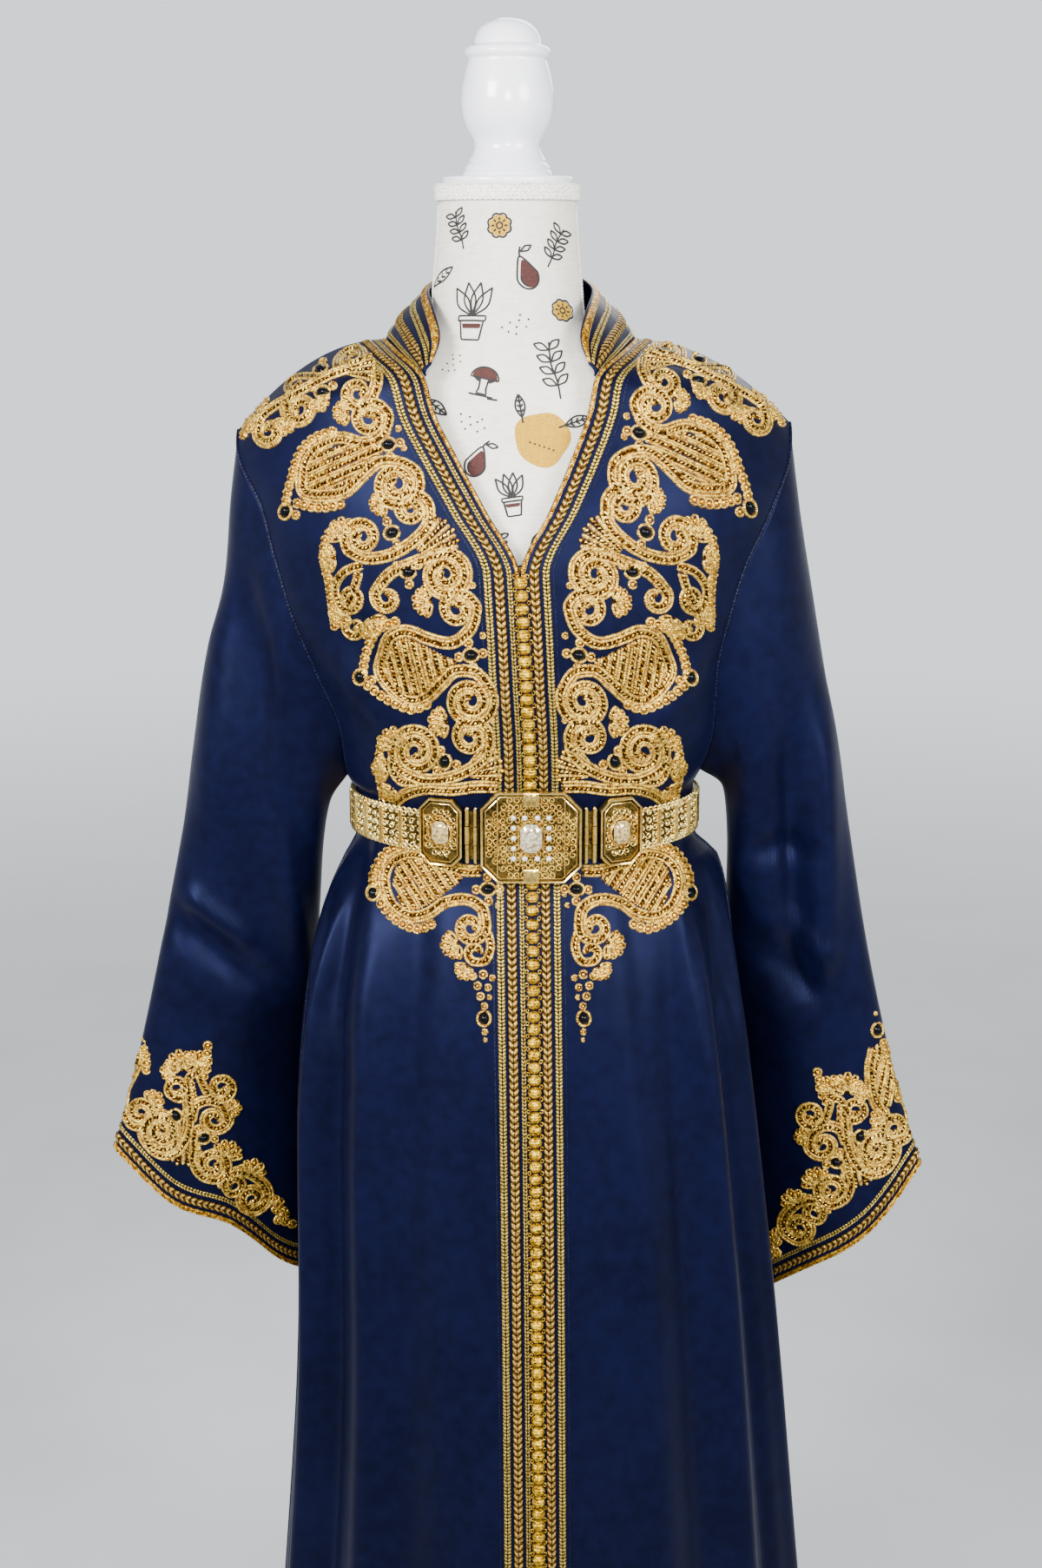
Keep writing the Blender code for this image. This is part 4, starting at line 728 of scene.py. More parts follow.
def tone(red: int, green: int, blue: int) -> tuple[float, float, float, float]:
    """A colour from its 0 to 255 display values, as the shaders take it."""
    parts = [value / 255 for value in (red, green, blue)]
    linear = [p / 12.92 if p <= 0.04045 else ((p + 0.055) / 1.055) ** 2.4 for p in parts]
    return (*linear, 1.0)


WORLD_TONE = tone(232, 236, 240)
WORLD_STRENGTH = 1.60
WORLD_GLOW = 0.72


@dataclass(frozen=True)
class Wire:
    """A shader socket that takes part in sums as a number does."""

    recipe: "Recipe"
    socket: bpy.types.NodeSocket

    def join(self, operation: str, *values: "Wire | float") -> "Wire":
        """Adds a Math node on these values."""
        return self.recipe.node("Math", {"operation": operation}, dict(enumerate(values)))

    def __add__(self, other: "Wire | float") -> "Wire":
        """This plus the other."""
        return self.join("ADD", self, other)

    def __mul__(self, other: "Wire | float") -> "Wire":
        """This times the other."""
        return self.join("MULTIPLY", self, other)

    def __sub__(self, other: "Wire | float") -> "Wire":
        """This less the other."""
        return self.join("SUBTRACT", self, other)

    def __rsub__(self, other: float) -> "Wire":
        """The other less this."""
        return self.join("SUBTRACT", other, self)

    def __truediv__(self, other: "Wire | float") -> "Wire":
        """This over the other."""
        return self.join("DIVIDE", self, other)

    def wave(self) -> "Wire":
        """Its sine, as a share from 0 to 1."""
        return self.join("SINE", self) * 0.5 + 0.5

    def size(self) -> "Wire":
        """Its distance from 0."""
        return self.join("ABSOLUTE", self)

    def power(self, exponent: float) -> "Wire":
        """Itself raised to a power."""
        return self.join("POWER", self, exponent)

    def band(self, low: float, high: float) -> "Wire":
        """A share that is 0 at `low` and 1 at `high`, held between."""
        return self.recipe.node(
            "MapRange", {"clamp": True, "interpolation_type": "SMOOTHSTEP"},
            {0: self, 1: low, 2: high, 3: 0.0, 4: 1.0})


class Recipe:
    """Builds one material's nodes."""

    def __init__(self, name: str) -> None:
        """Starts a material with its one Principled shader."""
        self.material = bpy.data.materials.new(name)
        self.material.use_nodes = True
        self.tree = self.material.node_tree
        self.shader = self.tree.nodes["Principled BSDF"]

    def node(self, kind: str, settings: dict | None = None, sockets: dict | None = None,
             output: int | str = 0) -> Wire:
        """Adds a node.

        Args:
            kind: its type, without the word ShaderNode.
            settings: what is set on it first; `stops` are a ramp's places and colours.
            sockets: values or wires for its inputs.
            output: which of its outputs is wanted.

        Returns:
            That output.
        """
        made = self.tree.nodes.new("ShaderNode" + kind)
        for name, value in (settings or {}).items():
            if name == "stops":
                elements = made.color_ramp.elements
                while len(elements) < len(value):
                    elements.new(0.5)
                for element, (place, colour) in zip(elements, value):
                    element.position, element.color = place, colour
            else:
                setattr(made, name, value)
        for key, value in (sockets or {}).items():
            self.feed(made.inputs[key], value)
        return Wire(self, made.outputs[output])

    def feed(self, socket: bpy.types.NodeSocket, value: object) -> None:
        """Joins a wire to an input, or sets the input's value."""
        if isinstance(value, Wire):
            self.tree.links.new(value.socket, socket)
        else:
            socket.default_value = value

    def place(self) -> Wire:
        """The Object coordinates."""
        return self.node("TexCoord", output="Object")

    def map(self) -> tuple[Wire, Wire]:
        """The two parts of the piece's own map."""
        both = self.node("UVMap", {"uv_map": "UVMap"})
        parts = self.node("SeparateXYZ", sockets={0: both})
        return parts, Wire(self, parts.socket.node.outputs[1])

    def noise(self, scale: float, detail: float = 2.0, where: Wire | None = None) -> Wire:
        """A soft random share."""
        return self.node("TexNoise", sockets={
            "Vector": where or self.place(), "Scale": scale, "Detail": detail})

    def ramp(self, share: Wire, *stops: tuple[float, tuple]) -> Wire:
        """A colour for each share."""
        return self.node("ValToRGB", {"stops": stops}, {0: share})

    def mix(self, share: Wire, first: tuple, second: tuple) -> Wire:
        """Two colours mixed by a share."""
        return self.node("Mix", {"data_type": "RGBA"}, {0: share, 6: first, 7: second}, output=2)

    def bump(self, height: Wire, distance: float, strength: float = 1.0) -> Wire:
        """A normal from a height of 0 to 1 that stands for `distance` metres."""
        return self.node("Bump", sockets={
            "Strength": strength, "Distance": distance, "Height": height})

    def finish(self, **sockets: object) -> bpy.types.Material:
        """Sets the shader's sockets, named with _ for a space, and gives the material."""
        for name, value in sockets.items():
            self.feed(self.shader.inputs[name.replace("_", " ")], value)
        return self.material


@dataclass(frozen=True)
class Satin:
    """Navy silk satin: a fine sheen, faint slubs and soft ripples."""

    name: str = "navy_satin"
    deep: tuple = tone(5, 6, 22)
    lit: tuple = tone(8, 10, 34)
    ripple: float = 0.30

    def make(self) -> bpy.types.Material:
        """Builds the material.

        Returns:
            The material.
        """
        recipe = Recipe(self.name)
        across, along = recipe.map()
        thread = (along * 5200.0).wave() * 0.5 + (across * 4100.0).wave() * 0.5
        slub = recipe.noise(90.0, 3.0)
        drift = recipe.noise(9.0, 2.0)
        colour = recipe.mix((slub * 0.5 + drift * 0.5).band(0.30, 0.70), self.deep, self.lit)
        soft = recipe.noise(26.0, 2.0)
        height = soft * 0.85 + thread * 0.03 + slub * 0.12
        return recipe.finish(
            Base_Color=colour, Roughness=slub * 0.10 + 0.36,
            Normal=recipe.bump(height, 0.0030, self.ripple),
            Sheen_Weight=0.02, Sheen_Roughness=0.40, Sheen_Tint=tone(90, 110, 220),
            Specular_IOR_Level=0.13, Specular_Tint=tone(150, 165, 250))


@dataclass(frozen=True)
class GoldThread:
    """Metal thread laid as a cord, with its turns, painted shade in their gaps and painted glints.

    Attributes:
        pitch: length of one turn of the twist, in metres.
        grain: how strong the fine grain of the thread is, which also paints glint specks into its
            colour.
        gap: share of each turn that is in shade.
        shine: how much it reflects.
    """

    name: str
    dark: tuple = tone(88, 50, 8)
    body: tuple = tone(192, 152, 68)
    glint: tuple = tone(255, 226, 90)
    pitch: float = 0.0022
    grain: float = 0.9
    metal: float = 0.70
    rough: float = 0.42
    gap: float = 0.18
    shine: float = 0.12

    def make(self) -> bpy.types.Material:
        """Builds the material.

        Returns:
            The material.
        """
        recipe = Recipe(self.name)
        along, across = recipe.map()
        turn = (along * (2 * math.pi / self.pitch) + across * 4.0).wave()
        glint_fleck = recipe.noise(820.0, 1.0).band(0.30, 0.70)
        patch = recipe.noise(330.0, 1.0).band(0.28, 0.72)
        mixed = turn * (1.0 - self.grain * 0.6) + glint_fleck * (self.grain * 0.6)
        low = self.gap * 0.9
        # Painted light: the twist's gaps are dark as painted shade, and its crowns and flecks take
        # the painted glint colour.
        colour = recipe.ramp(mixed * 0.55 + patch * 0.45, (low + 0.06, self.dark),
                             (low + 0.26, self.body), (0.58, self.body), (0.82, self.glint))
        return recipe.finish(
            Base_Color=colour, Metallic=self.metal, Roughness=self.rough - glint_fleck * 0.12,
            Normal=recipe.bump(turn * 0.5 + glint_fleck * 0.5, 0.0005, 0.8),
            Specular_IOR_Level=self.shine)


@dataclass(frozen=True)
class Woven:
    """A braid of metal thread whose strands cross in a row of chevrons, with painted light on the
    strands and painted shade between them.

    Attributes:
        pitch: length of one chevron, in metres.
        slant: how far a chevron's arms reach back, in chevrons.
        middle: how dark the painted shade down its middle is.
    """

    name: str
    dark: tuple
    body: tuple
    glint: tuple
    pitch: float = 0.0056
    slant: float = 0.62
    middle: float = 0.3

    def make(self) -> bpy.types.Material:
        """Builds the material.

        Returns:
            The material.
        """
        recipe = Recipe(self.name)
        along, across = recipe.map()
        away = (across * 2.0 - 1.0).size()
        phase = (along / self.pitch - away * self.slant) * math.pi
        strand = phase.join("SINE", phase).size().power(0.7)
        glint_fleck = recipe.noise(900.0, 1.0).band(0.30, 0.70)
        patch = recipe.noise(260.0, 2.0)
        # Painted shade down the middle groove and towards both edges.
        groove_shade = away.band(0.16, 0.0) * self.middle
        edge = away.band(0.78, 1.0) * 0.5
        light = strand * 0.62 + glint_fleck * 0.30 + patch * 0.16 - groove_shade - edge
        colour = recipe.ramp(light, (0.22, self.dark), (0.46, self.body), (0.66, self.body),
                             (0.86, self.glint))
        return recipe.finish(
            Base_Color=colour, Metallic=0.70, Roughness=0.46 - glint_fleck * 0.14,
            Normal=recipe.bump(light, 0.0007, 0.8), Specular_IOR_Level=0.08)


@dataclass(frozen=True)
class Metal:
    """Polished or matt yellow metal with slight wear."""

    name: str
    body: tuple
    dull: tuple
    rough: float

    def make(self) -> bpy.types.Material:
        """Builds the material.

        Returns:
            The material.
        """
        recipe = Recipe(self.name)
        wear = recipe.noise(420.0, 3.0)
        broad = recipe.noise(60.0, 2.0)
        colour = recipe.mix((wear * 0.6 + broad * 0.4).band(0.35, 0.62), self.dull, self.body)
        return recipe.finish(
            Base_Color=colour, Metallic=1.0, Roughness=wear * 0.16 + self.rough,
            Normal=recipe.bump(wear, 0.0002, 0.35))


@dataclass(frozen=True)
class Gem:
    """A cut or polished stone with painted facets; `depth` is how far its cells go from the lit
    colour towards the shaded one.
    """

    name: str
    deep: tuple
    lit: tuple
    metal: float = 0.0
    rough: float = 0.04
    coat: float = 1.0
    depth: float = 0.55

    def make(self) -> bpy.types.Material:
        """Builds the material.

        Returns:
            The material.
        """
        recipe = Recipe(self.name)
        painted_facet = recipe.node("TexVoronoi", {"feature": "F1"},
                           {"Vector": recipe.place(), "Scale": 420.0})
        # Painted facet glints and shade: the cells mix the lit and the deep colour.
        colour = recipe.mix(painted_facet.band(0.10, 0.90) * self.depth, self.lit, self.deep)
        return recipe.finish(
            Base_Color=colour, Metallic=self.metal, Roughness=self.rough,
            Specular_IOR_Level=0.12 + self.coat * 0.7, Coat_Weight=self.coat, Coat_Roughness=0.03)


@dataclass(frozen=True)
class Linen:
    """Off-white linen in plain weave, with slubs."""

    name: str = "linen"
    body: tuple = tone(232, 229, 218)
    shade: tuple = tone(205, 200, 186)
    threads_per_metre: float = 1150.0

    def make(self) -> bpy.types.Material:
        """Builds the material.

        Returns:
            The material.
        """
        recipe = Recipe(self.name)
        across, along = recipe.map()
        turns = 2 * math.pi * self.threads_per_metre
        weave = (across * turns).wave() * (along * turns).wave()
        slub = recipe.noise(160.0, 4.0)
        streak = recipe.node("Mapping", sockets={0: recipe.place(), "Scale": (1.0, 1.0, 14.0)})
        share = weave * 0.35 + slub * 0.35 + recipe.noise(60.0, 3.0, streak) * 0.5
        colour = recipe.mix(share.band(0.25, 0.75), self.shade, self.body)
        return recipe.finish(Base_Color=colour, Roughness=0.88, Sheen_Weight=0.15,
                             Normal=recipe.bump(share, 0.0006, 0.6))


@dataclass(frozen=True)
class Plain:
    """Paint, ink or lace thread with a little life in its colour; `scale` is how fine that is."""

    name: str
    body: tuple
    shade: tuple
    rough: float = 0.8
    scale: float = 700.0
    coat: float = 0.0

    def make(self) -> bpy.types.Material:
        """Builds the material.

        Returns:
            The material.
        """
        recipe = Recipe(self.name)
        mottle = recipe.noise(self.scale, 3.0)
        return recipe.finish(
            Base_Color=recipe.mix(mottle.band(0.32, 0.62), self.shade, self.body),
            Roughness=mottle * 0.08 + self.rough, Metallic=0.0,
            Normal=recipe.bump(mottle, 0.0003, 0.25), Coat_Weight=self.coat, Coat_Roughness=0.06)


@dataclass(frozen=True)
class Floor:
    """A pale matt floor that fades into the studio's light far away."""

    name: str = "pale_floor"
    body: tuple = tone(224, 226, 229)
    shade: tuple = tone(216, 218, 221)

    def make(self) -> bpy.types.Material:
        """Builds the material.

        Returns:
            The material.
        """
        recipe = Recipe(self.name)
        mottle = recipe.noise(3.0, 3.0)
        recipe.finish(Base_Color=recipe.mix(mottle.band(0.3, 0.7), self.shade, self.body),
                      Roughness=0.75, Specular_IOR_Level=0.2)
        far = recipe.node("VectorMath", {"operation": "LENGTH"}, {0: recipe.place()}, "Value")
        glow = recipe.node("Emission", sockets={0: WORLD_TONE, 1: WORLD_STRENGTH})
        matt = Wire(recipe, recipe.shader.outputs[0])
        both = recipe.node("MixShader", sockets={0: far.band(1.2, 7.0), 1: matt, 2: glow})
        recipe.feed(recipe.tree.nodes["Material Output"].inputs["Surface"], both)
        return recipe.material


class Finish(Enum):
    """Every finish of the piece."""

    SATIN = Satin()
    ROPE = GoldThread("satin_rope", tone(3, 4, 12), tone(8, 10, 30), tone(18, 22, 56), 0.0032,
                      grain=0.2, metal=0.0)
    CORD = GoldThread("goldwork")
    BULLION = GoldThread("goldwork_bullion", tone(36, 18, 2), tone(176, 116, 16),
                         tone(255, 236, 120), 0.0036, grain=0.45, metal=0.85, rough=0.28, gap=0.42)
    TWIST = GoldThread("gold_twist", tone(46, 25, 3), tone(160, 108, 16), tone(255, 220, 92),
                       0.0020)
    # The padding under the cords is coloured dark as painted shade where it shows between and inside
    # them.
    PAD = GoldThread("goldwork_pad", tone(24, 12, 2), tone(120, 76, 12), tone(206, 150, 44),
                     0.0016, grain=1.0, shine=0.2)
    KNOT = GoldThread("gold_knot", tone(60, 38, 3), tone(184, 138, 14), tone(255, 232, 90),
                      0.0024, gap=0.14)
    BRAID = Woven("gold_braid", tone(18, 9, 1), tone(92, 72, 22), tone(220, 194, 104), 0.0030,
                  slant=0.5, middle=0.7)
    PLAIT = Woven("copper_plait", tone(12, 5, 1), tone(76, 52, 14), tone(196, 160, 80))
    SEQUIN = Metal("gold_sequin", tone(255, 210, 60), tone(206, 140, 10), 0.18)
    METAL = Metal("belt_metal", tone(238, 208, 122), tone(206, 166, 78), 0.12)
    WIRE = Metal("belt_wire", tone(252, 234, 160), tone(222, 190, 106), 0.24)
    BACKING = Metal("belt_backing", tone(92, 74, 32), tone(30, 22, 8), 0.42)
    # The clear and the champagne stone have a golden tone that is partly their own colour and partly
    # painted reflection of the gold round them.
    CLEAR = Gem("clear_stone", tone(96, 76, 34), tone(236, 222, 184), 0.45, depth=0.8)
    CHAMPAGNE = Gem("champagne_stone", tone(104, 78, 22), tone(222, 192, 126), 0.35, depth=0.9)
    CRYSTAL = Gem("crystal", tone(170, 180, 200), tone(250, 252, 255), 0.45)
    JET = Gem("dark_stone", tone(1, 2, 5), tone(4, 6, 12), rough=0.10, coat=0.0)
    LINEN = Linen()
    LACE = Plain("lace", tone(240, 238, 230), tone(206, 202, 190), 0.5, 500.0)
    BLACK_INK = Plain("black_ink", tone(16, 15, 15), tone(34, 32, 30), scale=900.0)
    OCHRE_INK = Plain("ochre_ink", tone(184, 140, 0), tone(160, 118, 0))
    RUSSET_INK = Plain("russet_ink", tone(48, 14, 9), tone(70, 25, 17))
    GLOSS = Plain("painted_wood", tone(236, 237, 242), tone(226, 227, 234), 0.20, 18.0, 0.6)
    STEEL = Plain("painted_steel", tone(228, 229, 232), tone(214, 215, 220), 0.32, 40.0, 0.3)
    FLOOR = Floor()


@cache
def material(finish: Finish) -> bpy.types.Material:
    """A finish's material, made when it is first asked for."""
    return finish.value.make()


# ---------------------------------------------------------------- meshes


def dress(piece: bpy.types.Object, *finishes: Finish) -> None:
    """Gives a piece its finishes in place of what it has.

    Args:
        piece: the piece.
        finishes: its finishes, in the order of its slots.
    """
    slots = np.zeros(len(piece.data.polygons), np.int32)
    piece.data.polygons.foreach_get("material_index", slots)
    piece.data.materials.clear()
    for finish in finishes:
        piece.data.materials.append(material(finish))
    piece.data.polygons.foreach_set("material_index", np.minimum(slots, len(finishes) - 1))


def settle(piece: bpy.types.Object, slot: str, *nodes: str) -> None:
    """Makes a piece ride with the object and stand for its solids.

    Args:
        piece: the piece.
        slot: not used.
        nodes: the solids that it stands for.
    """
    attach(piece, "root")
    if nodes:
        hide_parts(*nodes)
    LOG.info("%s: %d faces", piece.name, len(piece.data.polygons))


def start_from(primitive: Callable[..., object], name: str, **sizes: object) -> bpy.types.Object:
    """Adds a primitive with nothing else selected.

    Args:
        primitive: the operator that adds it.
        name: the piece's name.
        sizes: the operator's arguments.

    Returns:
        The new object.
    """
    bpy.ops.object.select_all(action="DESELECT")
    primitive(**sizes)
    piece = bpy.context.object
    piece.name = piece.data.name = name
    return piece


def edit_all(piece: bpy.types.Object, *operators: Callable[[], object]) -> None:
    """Runs operators in edit mode, each on the whole of a piece.

    Args:
        piece: the piece.
        operators: what is run, in this order.
    """
    bpy.ops.object.select_all(action="DESELECT")
    piece.select_set(True)
    bpy.context.view_layer.objects.active = piece
    bpy.ops.object.mode_set(mode="EDIT")
    for operator in operators:
        bpy.ops.mesh.select_all(action="SELECT")
        operator()
    bpy.ops.object.mode_set(mode="OBJECT")


def weld() -> None:
    """Joins points that lie on each other."""
    bpy.ops.mesh.remove_doubles(threshold=1e-5)


def face_out() -> None:
    """Turns each closed part so that its faces look out."""
    bpy.ops.mesh.normals_make_consistent(inside=False)


def lay_map(mesh: bpy.types.Mesh, layer: bpy.types.MeshUVLoopLayer, places: Array) -> None:
    """Writes each point's place into a piece's own map.

    Args:
        mesh: the piece.
        layer: its map.
        places: a place for each point.
    """
    corners = np.empty(len(mesh.loops), np.int32)
    mesh.loops.foreach_get("vertex_index", corners)
    layer.data.foreach_set("uv", np.asarray(places, np.float32)[corners].reshape(-1))


def hang(name: str, ground: Ground, thickness: float, span: tuple[float, float], node: str,
         **sheet: object) -> None:
    """Args:
        name: the piece's name.
        ground: its outer face.
        thickness: how thick the cloth is.
        span: width and length of its map, in metres.
        node: the solid that it stands for.
        sheet: not used.
    """
    points, wanted = ground.points, ground.normals
    if ground.closed:
        points, wanted = (np.concatenate([part, part[:, :1]], axis=1) for part in (points, wanted))
    rows, columns = points.shape[:2]
    piece = start_from(bpy.ops.mesh.primitive_grid_add, name, x_subdivisions=columns - 1,
                       y_subdivisions=rows - 1, size=1.0)
    mesh = piece.data
    mesh.vertices.foreach_set("co", points.reshape(-1).astype(np.float32))
    across, along = np.meshgrid(np.linspace(0, span[0], columns), np.linspace(0, span[1], rows))
    lay_map(mesh, mesh.uv_layers.active, np.stack([across, along], axis=-1).reshape(-1, 2))
    mesh.update()
    facing = np.empty(len(mesh.vertices) * 3, np.float32)
    mesh.vertices.foreach_get("normal", facing)
    if (facing.reshape(-1, 3) * wanted.reshape(-1, 3)).sum() < 0:
        mesh.flip_normals()
    if ground.closed:
        edit_all(piece, weld)
    wall = piece.modifiers.new("solidify", "SOLIDIFY")
    wall.thickness, wall.offset, wall.use_even_offset = thickness, -1.0, False
    bpy.ops.object.modifier_apply(modifier=wall.name)
    mesh.shade_smooth()
    dress(piece, Finish.SATIN)
    settle(piece, "navy_satin", node)
    ground.area()


class Heap:
    """Small meshes gathered into one piece."""

    def __init__(self) -> None:
        """Starts empty."""
        self.points: list[Array] = []
        self.faces: list[Sequence[int]] = []
        self.uv: list[Array] = []
        self.slots: list[int] = []
        self.count = 0

    def add(self, points: Array, faces: Sequence[Sequence[int]], slot: int = 0,
            uv: Array | None = None) -> None:
        """Adds one small mesh.

        Args:
            points: its points.
            faces: its faces.
            slot: which finish it has.
            uv: its place in the map.
        """
        self.points.append(np.asarray(points, float))
        self.faces.extend([[int(corner) + self.count for corner in face] for face in faces])
        self.uv.append(np.zeros((len(points), 2)) if uv is None else np.asarray(uv, float))
        self.slots.extend([slot] * len(faces))
        self.count += len(points)

    def piece(self, name: str, slot: str, nodes: Sequence[str], *finishes: Finish,
              steps: Sequence[Callable[[], object]] = (face_out,), sharp: float = 0.0) -> None:
        """Makes one piece of all of it.

        Args:
            name: the piece's name.
            slot: its slot.
            nodes: the solids that it stands for.
            finishes: its finishes.
            steps: what is done to it in edit mode.
            sharp: angle from which its edges are sharp, in degrees, or 0 for none.
        """
        mesh = bpy.data.meshes.new(name)
        mesh.from_pydata(np.concatenate(self.points).tolist(), [], self.faces)
        lay_map(mesh, mesh.uv_layers.new(name="UVMap"), np.concatenate(self.uv))
        mesh.polygons.foreach_set("material_index", np.array(self.slots, np.int32))
        mesh.shade_smooth()
        mesh.validate()
        piece = bpy.data.objects.new(name, mesh)
        bpy.context.scene.collection.objects.link(piece)
        if steps:
            edit_all(piece, *steps)
        if sharp:
            mesh.set_sharp_from_angle(angle=math.radians(sharp))
        dress(piece, *finishes)
        settle(piece, slot, *nodes)


# ---------------------------------------------------------------- the cloth


@dataclass
class Body:
    """The kaftan's two fronts and its back, hung from the shoulder seams."""

    rows: int = 210
    front_columns: int = 72
    back_columns: int = 110
    cloth: float = 0.0013
    fronts: dict[Side, Ground] = field(default_factory=dict)
    back: Ground | None = None

    def runs(self) -> Array:
        """Distances up the panels, closer where the shoulders turn."""
        share = np.linspace(0.0, 1.0, self.rows)
        return HEM_RUN + (SHOULDER_RUN - HEM_RUN) * (1 - (1 - share) ** 1.12)

    def row_at(self, run: float) -> int:
        """The first row that is this far up."""
        return int(np.searchsorted(self.runs(), run))

    def shape(self) -> None:
        """Makes the fine grids and lays the creases in them."""
        across = np.linspace(0.0, 1.0, self.front_columns)
        run, share = np.meshgrid(self.runs(), across, indexing="ij")
        for side in Side:
            points = pushed(partial(plain_front, side), run, share, FRONT_FOLDS[side])
            self.fronts[side] = creased(Ground(points, False, (0.0, 0.3, 0.9)),
                                        FRONT_CREASES[side])
        half = np.concatenate([np.linspace(0.0, NECK_SHARE, 20)[:-1],
                               np.linspace(NECK_SHARE, 1.0, self.back_columns // 2 - 18)])
        run, share = np.meshgrid(self.runs(), np.concatenate([-half[:0:-1], half]), indexing="ij")
        points = pushed(plain_back, run, share, BACK_FOLDS)
        self.back = creased(Ground(points, False, (0.0, -0.3, 0.9)), BACK_CREASES, behind=True)

    def build(self) -> None:
        self.shape()
        for side, ground in self.fronts.items():
            hang(f"kaftan_front_{side.word}", ground, self.cloth, (0.42, 1.46),
                 f"front_{side.word}", flat=(0.44, 1.46), held="hung", rests_on=["form_torso"])
        hang("kaftan_back", self.back, self.cloth, (0.84, 1.46), "back",
             flat=(0.92, 1.46), held="hung", rests_on=["form_torso"])


@dataclass
class Sleeve:
    """One hanging sleeve, a flat tube from the armhole to its wide hem.

    Attributes:
        side: which arm.
        rows: rows of its grid.
        columns: columns round it.
        cloth: thickness of the shell.
        length: how far down it goes.
        fall_from: how far down its hem starts to fall lower.
        swing: how far the outer edge swings out as it falls.
    """

    side: Side
    rows: int = 100
    columns: int = 96
    cloth: float = 0.0013
    length: float = 0.630
    fall_from: float = 0.42
    swing: float = 0.16
    ground: Ground | None = None

    def armhole(self, body: Body) -> Array:
        """The seam loop, from the shoulder tip down the front and up the back."""
        start = body.row_at(UNDERARM_RUN)
        front = body.fronts[self.side].points[start:, -1]
        back = body.back.points[start:, 0 if self.side is Side.LEFT else -1]
        return np.concatenate([front[::-1], back[1:-1]])

    def section(self, run: float, shares: Array) -> Array:
        """One loop of the hanging tube.

        Args:
            run: distance down the sleeve.
            shares: share from the outer to the inner edge, for each column.

        Returns:
            The loop's points.
        """
        row = SLEEVE[self.side].at(run)
        outer, inner = (np.array([row[f"{edge}_{axis}"] for axis in "xyz"])
                        for edge in ("outer", "inner"))
        forward = np.where(np.arange(len(shares)) < len(shares) // 2, -1.0, 1.0)
        points = outer + (inner - outer) * shares[:, None]
        points[:, 1] += forward * row["half"] * np.maximum(4 * shares * (1 - shares), 0.0) ** 0.6
        drops = [np.interp(shares + step, *HEM_DROP[self.side])
                 for step in np.linspace(-0.1, 0.1, 9)]
        fall = ease(self.fall_from, self.length, run) * np.mean(drops, axis=0)
        points[:, 2] -= fall
        points[:, 0] += self.side.value * self.swing * fall * (1 - shares)
        return points

    def shape(self, body: Body) -> None:
        """Makes the fine grid from the armhole down and lays its creases.

        Args:
            body: the body that it is sewn to.
        """
        loop = self.armhole(body)
        closed = np.concatenate([loop, loop[:1]])
        far = lengths(closed)
        low, half = far[int(np.argmin(loop[:, 2]))], self.columns // 2 + 1
        wanted = np.concatenate([np.linspace(0.0, low, half)[:-1],
                                 np.linspace(low, far[-1], half)[:-1]])
        near = np.concatenate([np.linspace(0, 1, half)[:-1], np.linspace(1, 0, half)[:-1]])
        even = near * 0.25 + (1 - np.cos(math.pi * near)) / 2 * 0.75
        leave = read_off(closed, far, wanted) - self.section(0.0, near)
        rings = [self.section(run, near + (even - near) * ease(0.0, 0.30, run))
                 + leave * (1 - ease(0.0, 0.22, run))
                 for run in np.linspace(0.0, self.length, self.rows)]
        ground = creased(Ground(np.array(rings), True), SLEEVE_CREASES[self.side])
        self.ground = creased(ground, SLEEVE_BACK_CREASES[self.side], behind=True)

    def build(self, body: Body) -> None:
        """Args:
            body: the body that it is sewn to.
        """
        self.shape(body)
        word = self.side.word
        hang(f"kaftan_sleeve_{word}", self.ground, self.cloth, (0.60, 0.66), f"sleeve_{word}",
             flat=(0.66, 0.70), held="hung", rests_on=[f"kaftan_front_{word}", "kaftan_back"])


@dataclass
class Collar:
    """The stand collar, open at the throat, which swells outwards by `bulge`."""

    levels: int = 14
    turns: int = 96
    bulge: float = 0.004
    cloth: float = 0.0016
    ground: Ground | None = None

    def neckline(self, body: Body) -> Array:
        """The edge that carries the collar: up the left front, round the nape, down the right.

        Args:
            body: the body that it stands on.

        Returns:
            The edge's points.
        """
        start = body.row_at(NECK_POINT_RUN)
        nape = body.back.points[-1]
        middle = len(nape) // 2
        left = body.fronts[Side.LEFT].points[start:-1, 0]
        right = body.fronts[Side.RIGHT].points[start:-1, 0][::-1]
        return np.concatenate([left, nape[middle - 19 : middle + 20], right])

    def shape(self, body: Body) -> None:
        """Makes the collar's grid on the neckline.

        Args:
            body: the body that it stands on.
        """
        line = self.neckline(body)
        far = lengths(line)
        wanted = np.linspace(0.0, far[-1], self.turns)
        line = read_off(line, far, wanted)
        turn = 2 * wanted / far[-1]
        row = COLLAR.at(np.minimum(turn, 2 - turn))
        middle = float(FRONT.at(NECK_POINT_RUN)["mid"])
        sign = np.where(turn < 1, -1.0, 1.0)
        top = np.stack([middle + sign * row["top_x"], row["top_y"], row["top_z"]], axis=1)
        base = line + unit(top - line) * 0.0004
        out = (line - (middle, 0.0, 0.0)) * (1.0, 1.0, 0.0)
        level = np.linspace(0.0, 1.0, self.levels)[None, :, None]
        points = base[:, None] + (top - base)[:, None] * level
        points = points + unit(out)[:, None] * self.bulge * np.sin(math.pi * level)
        self.ground = Ground(points, False, (middle, 0.0, 1.40))

    def build(self, body: Body) -> None:
        self.shape(body)
        hang("kaftan_collar", self.ground, self.cloth, (0.06, 0.42), "collar",
             flat=(0.07, self.ground.area() / 0.07 * 1.1), held="stretched",
             rests_on=["kaftan_back"])


# ---------------------------------------------------------------- the form


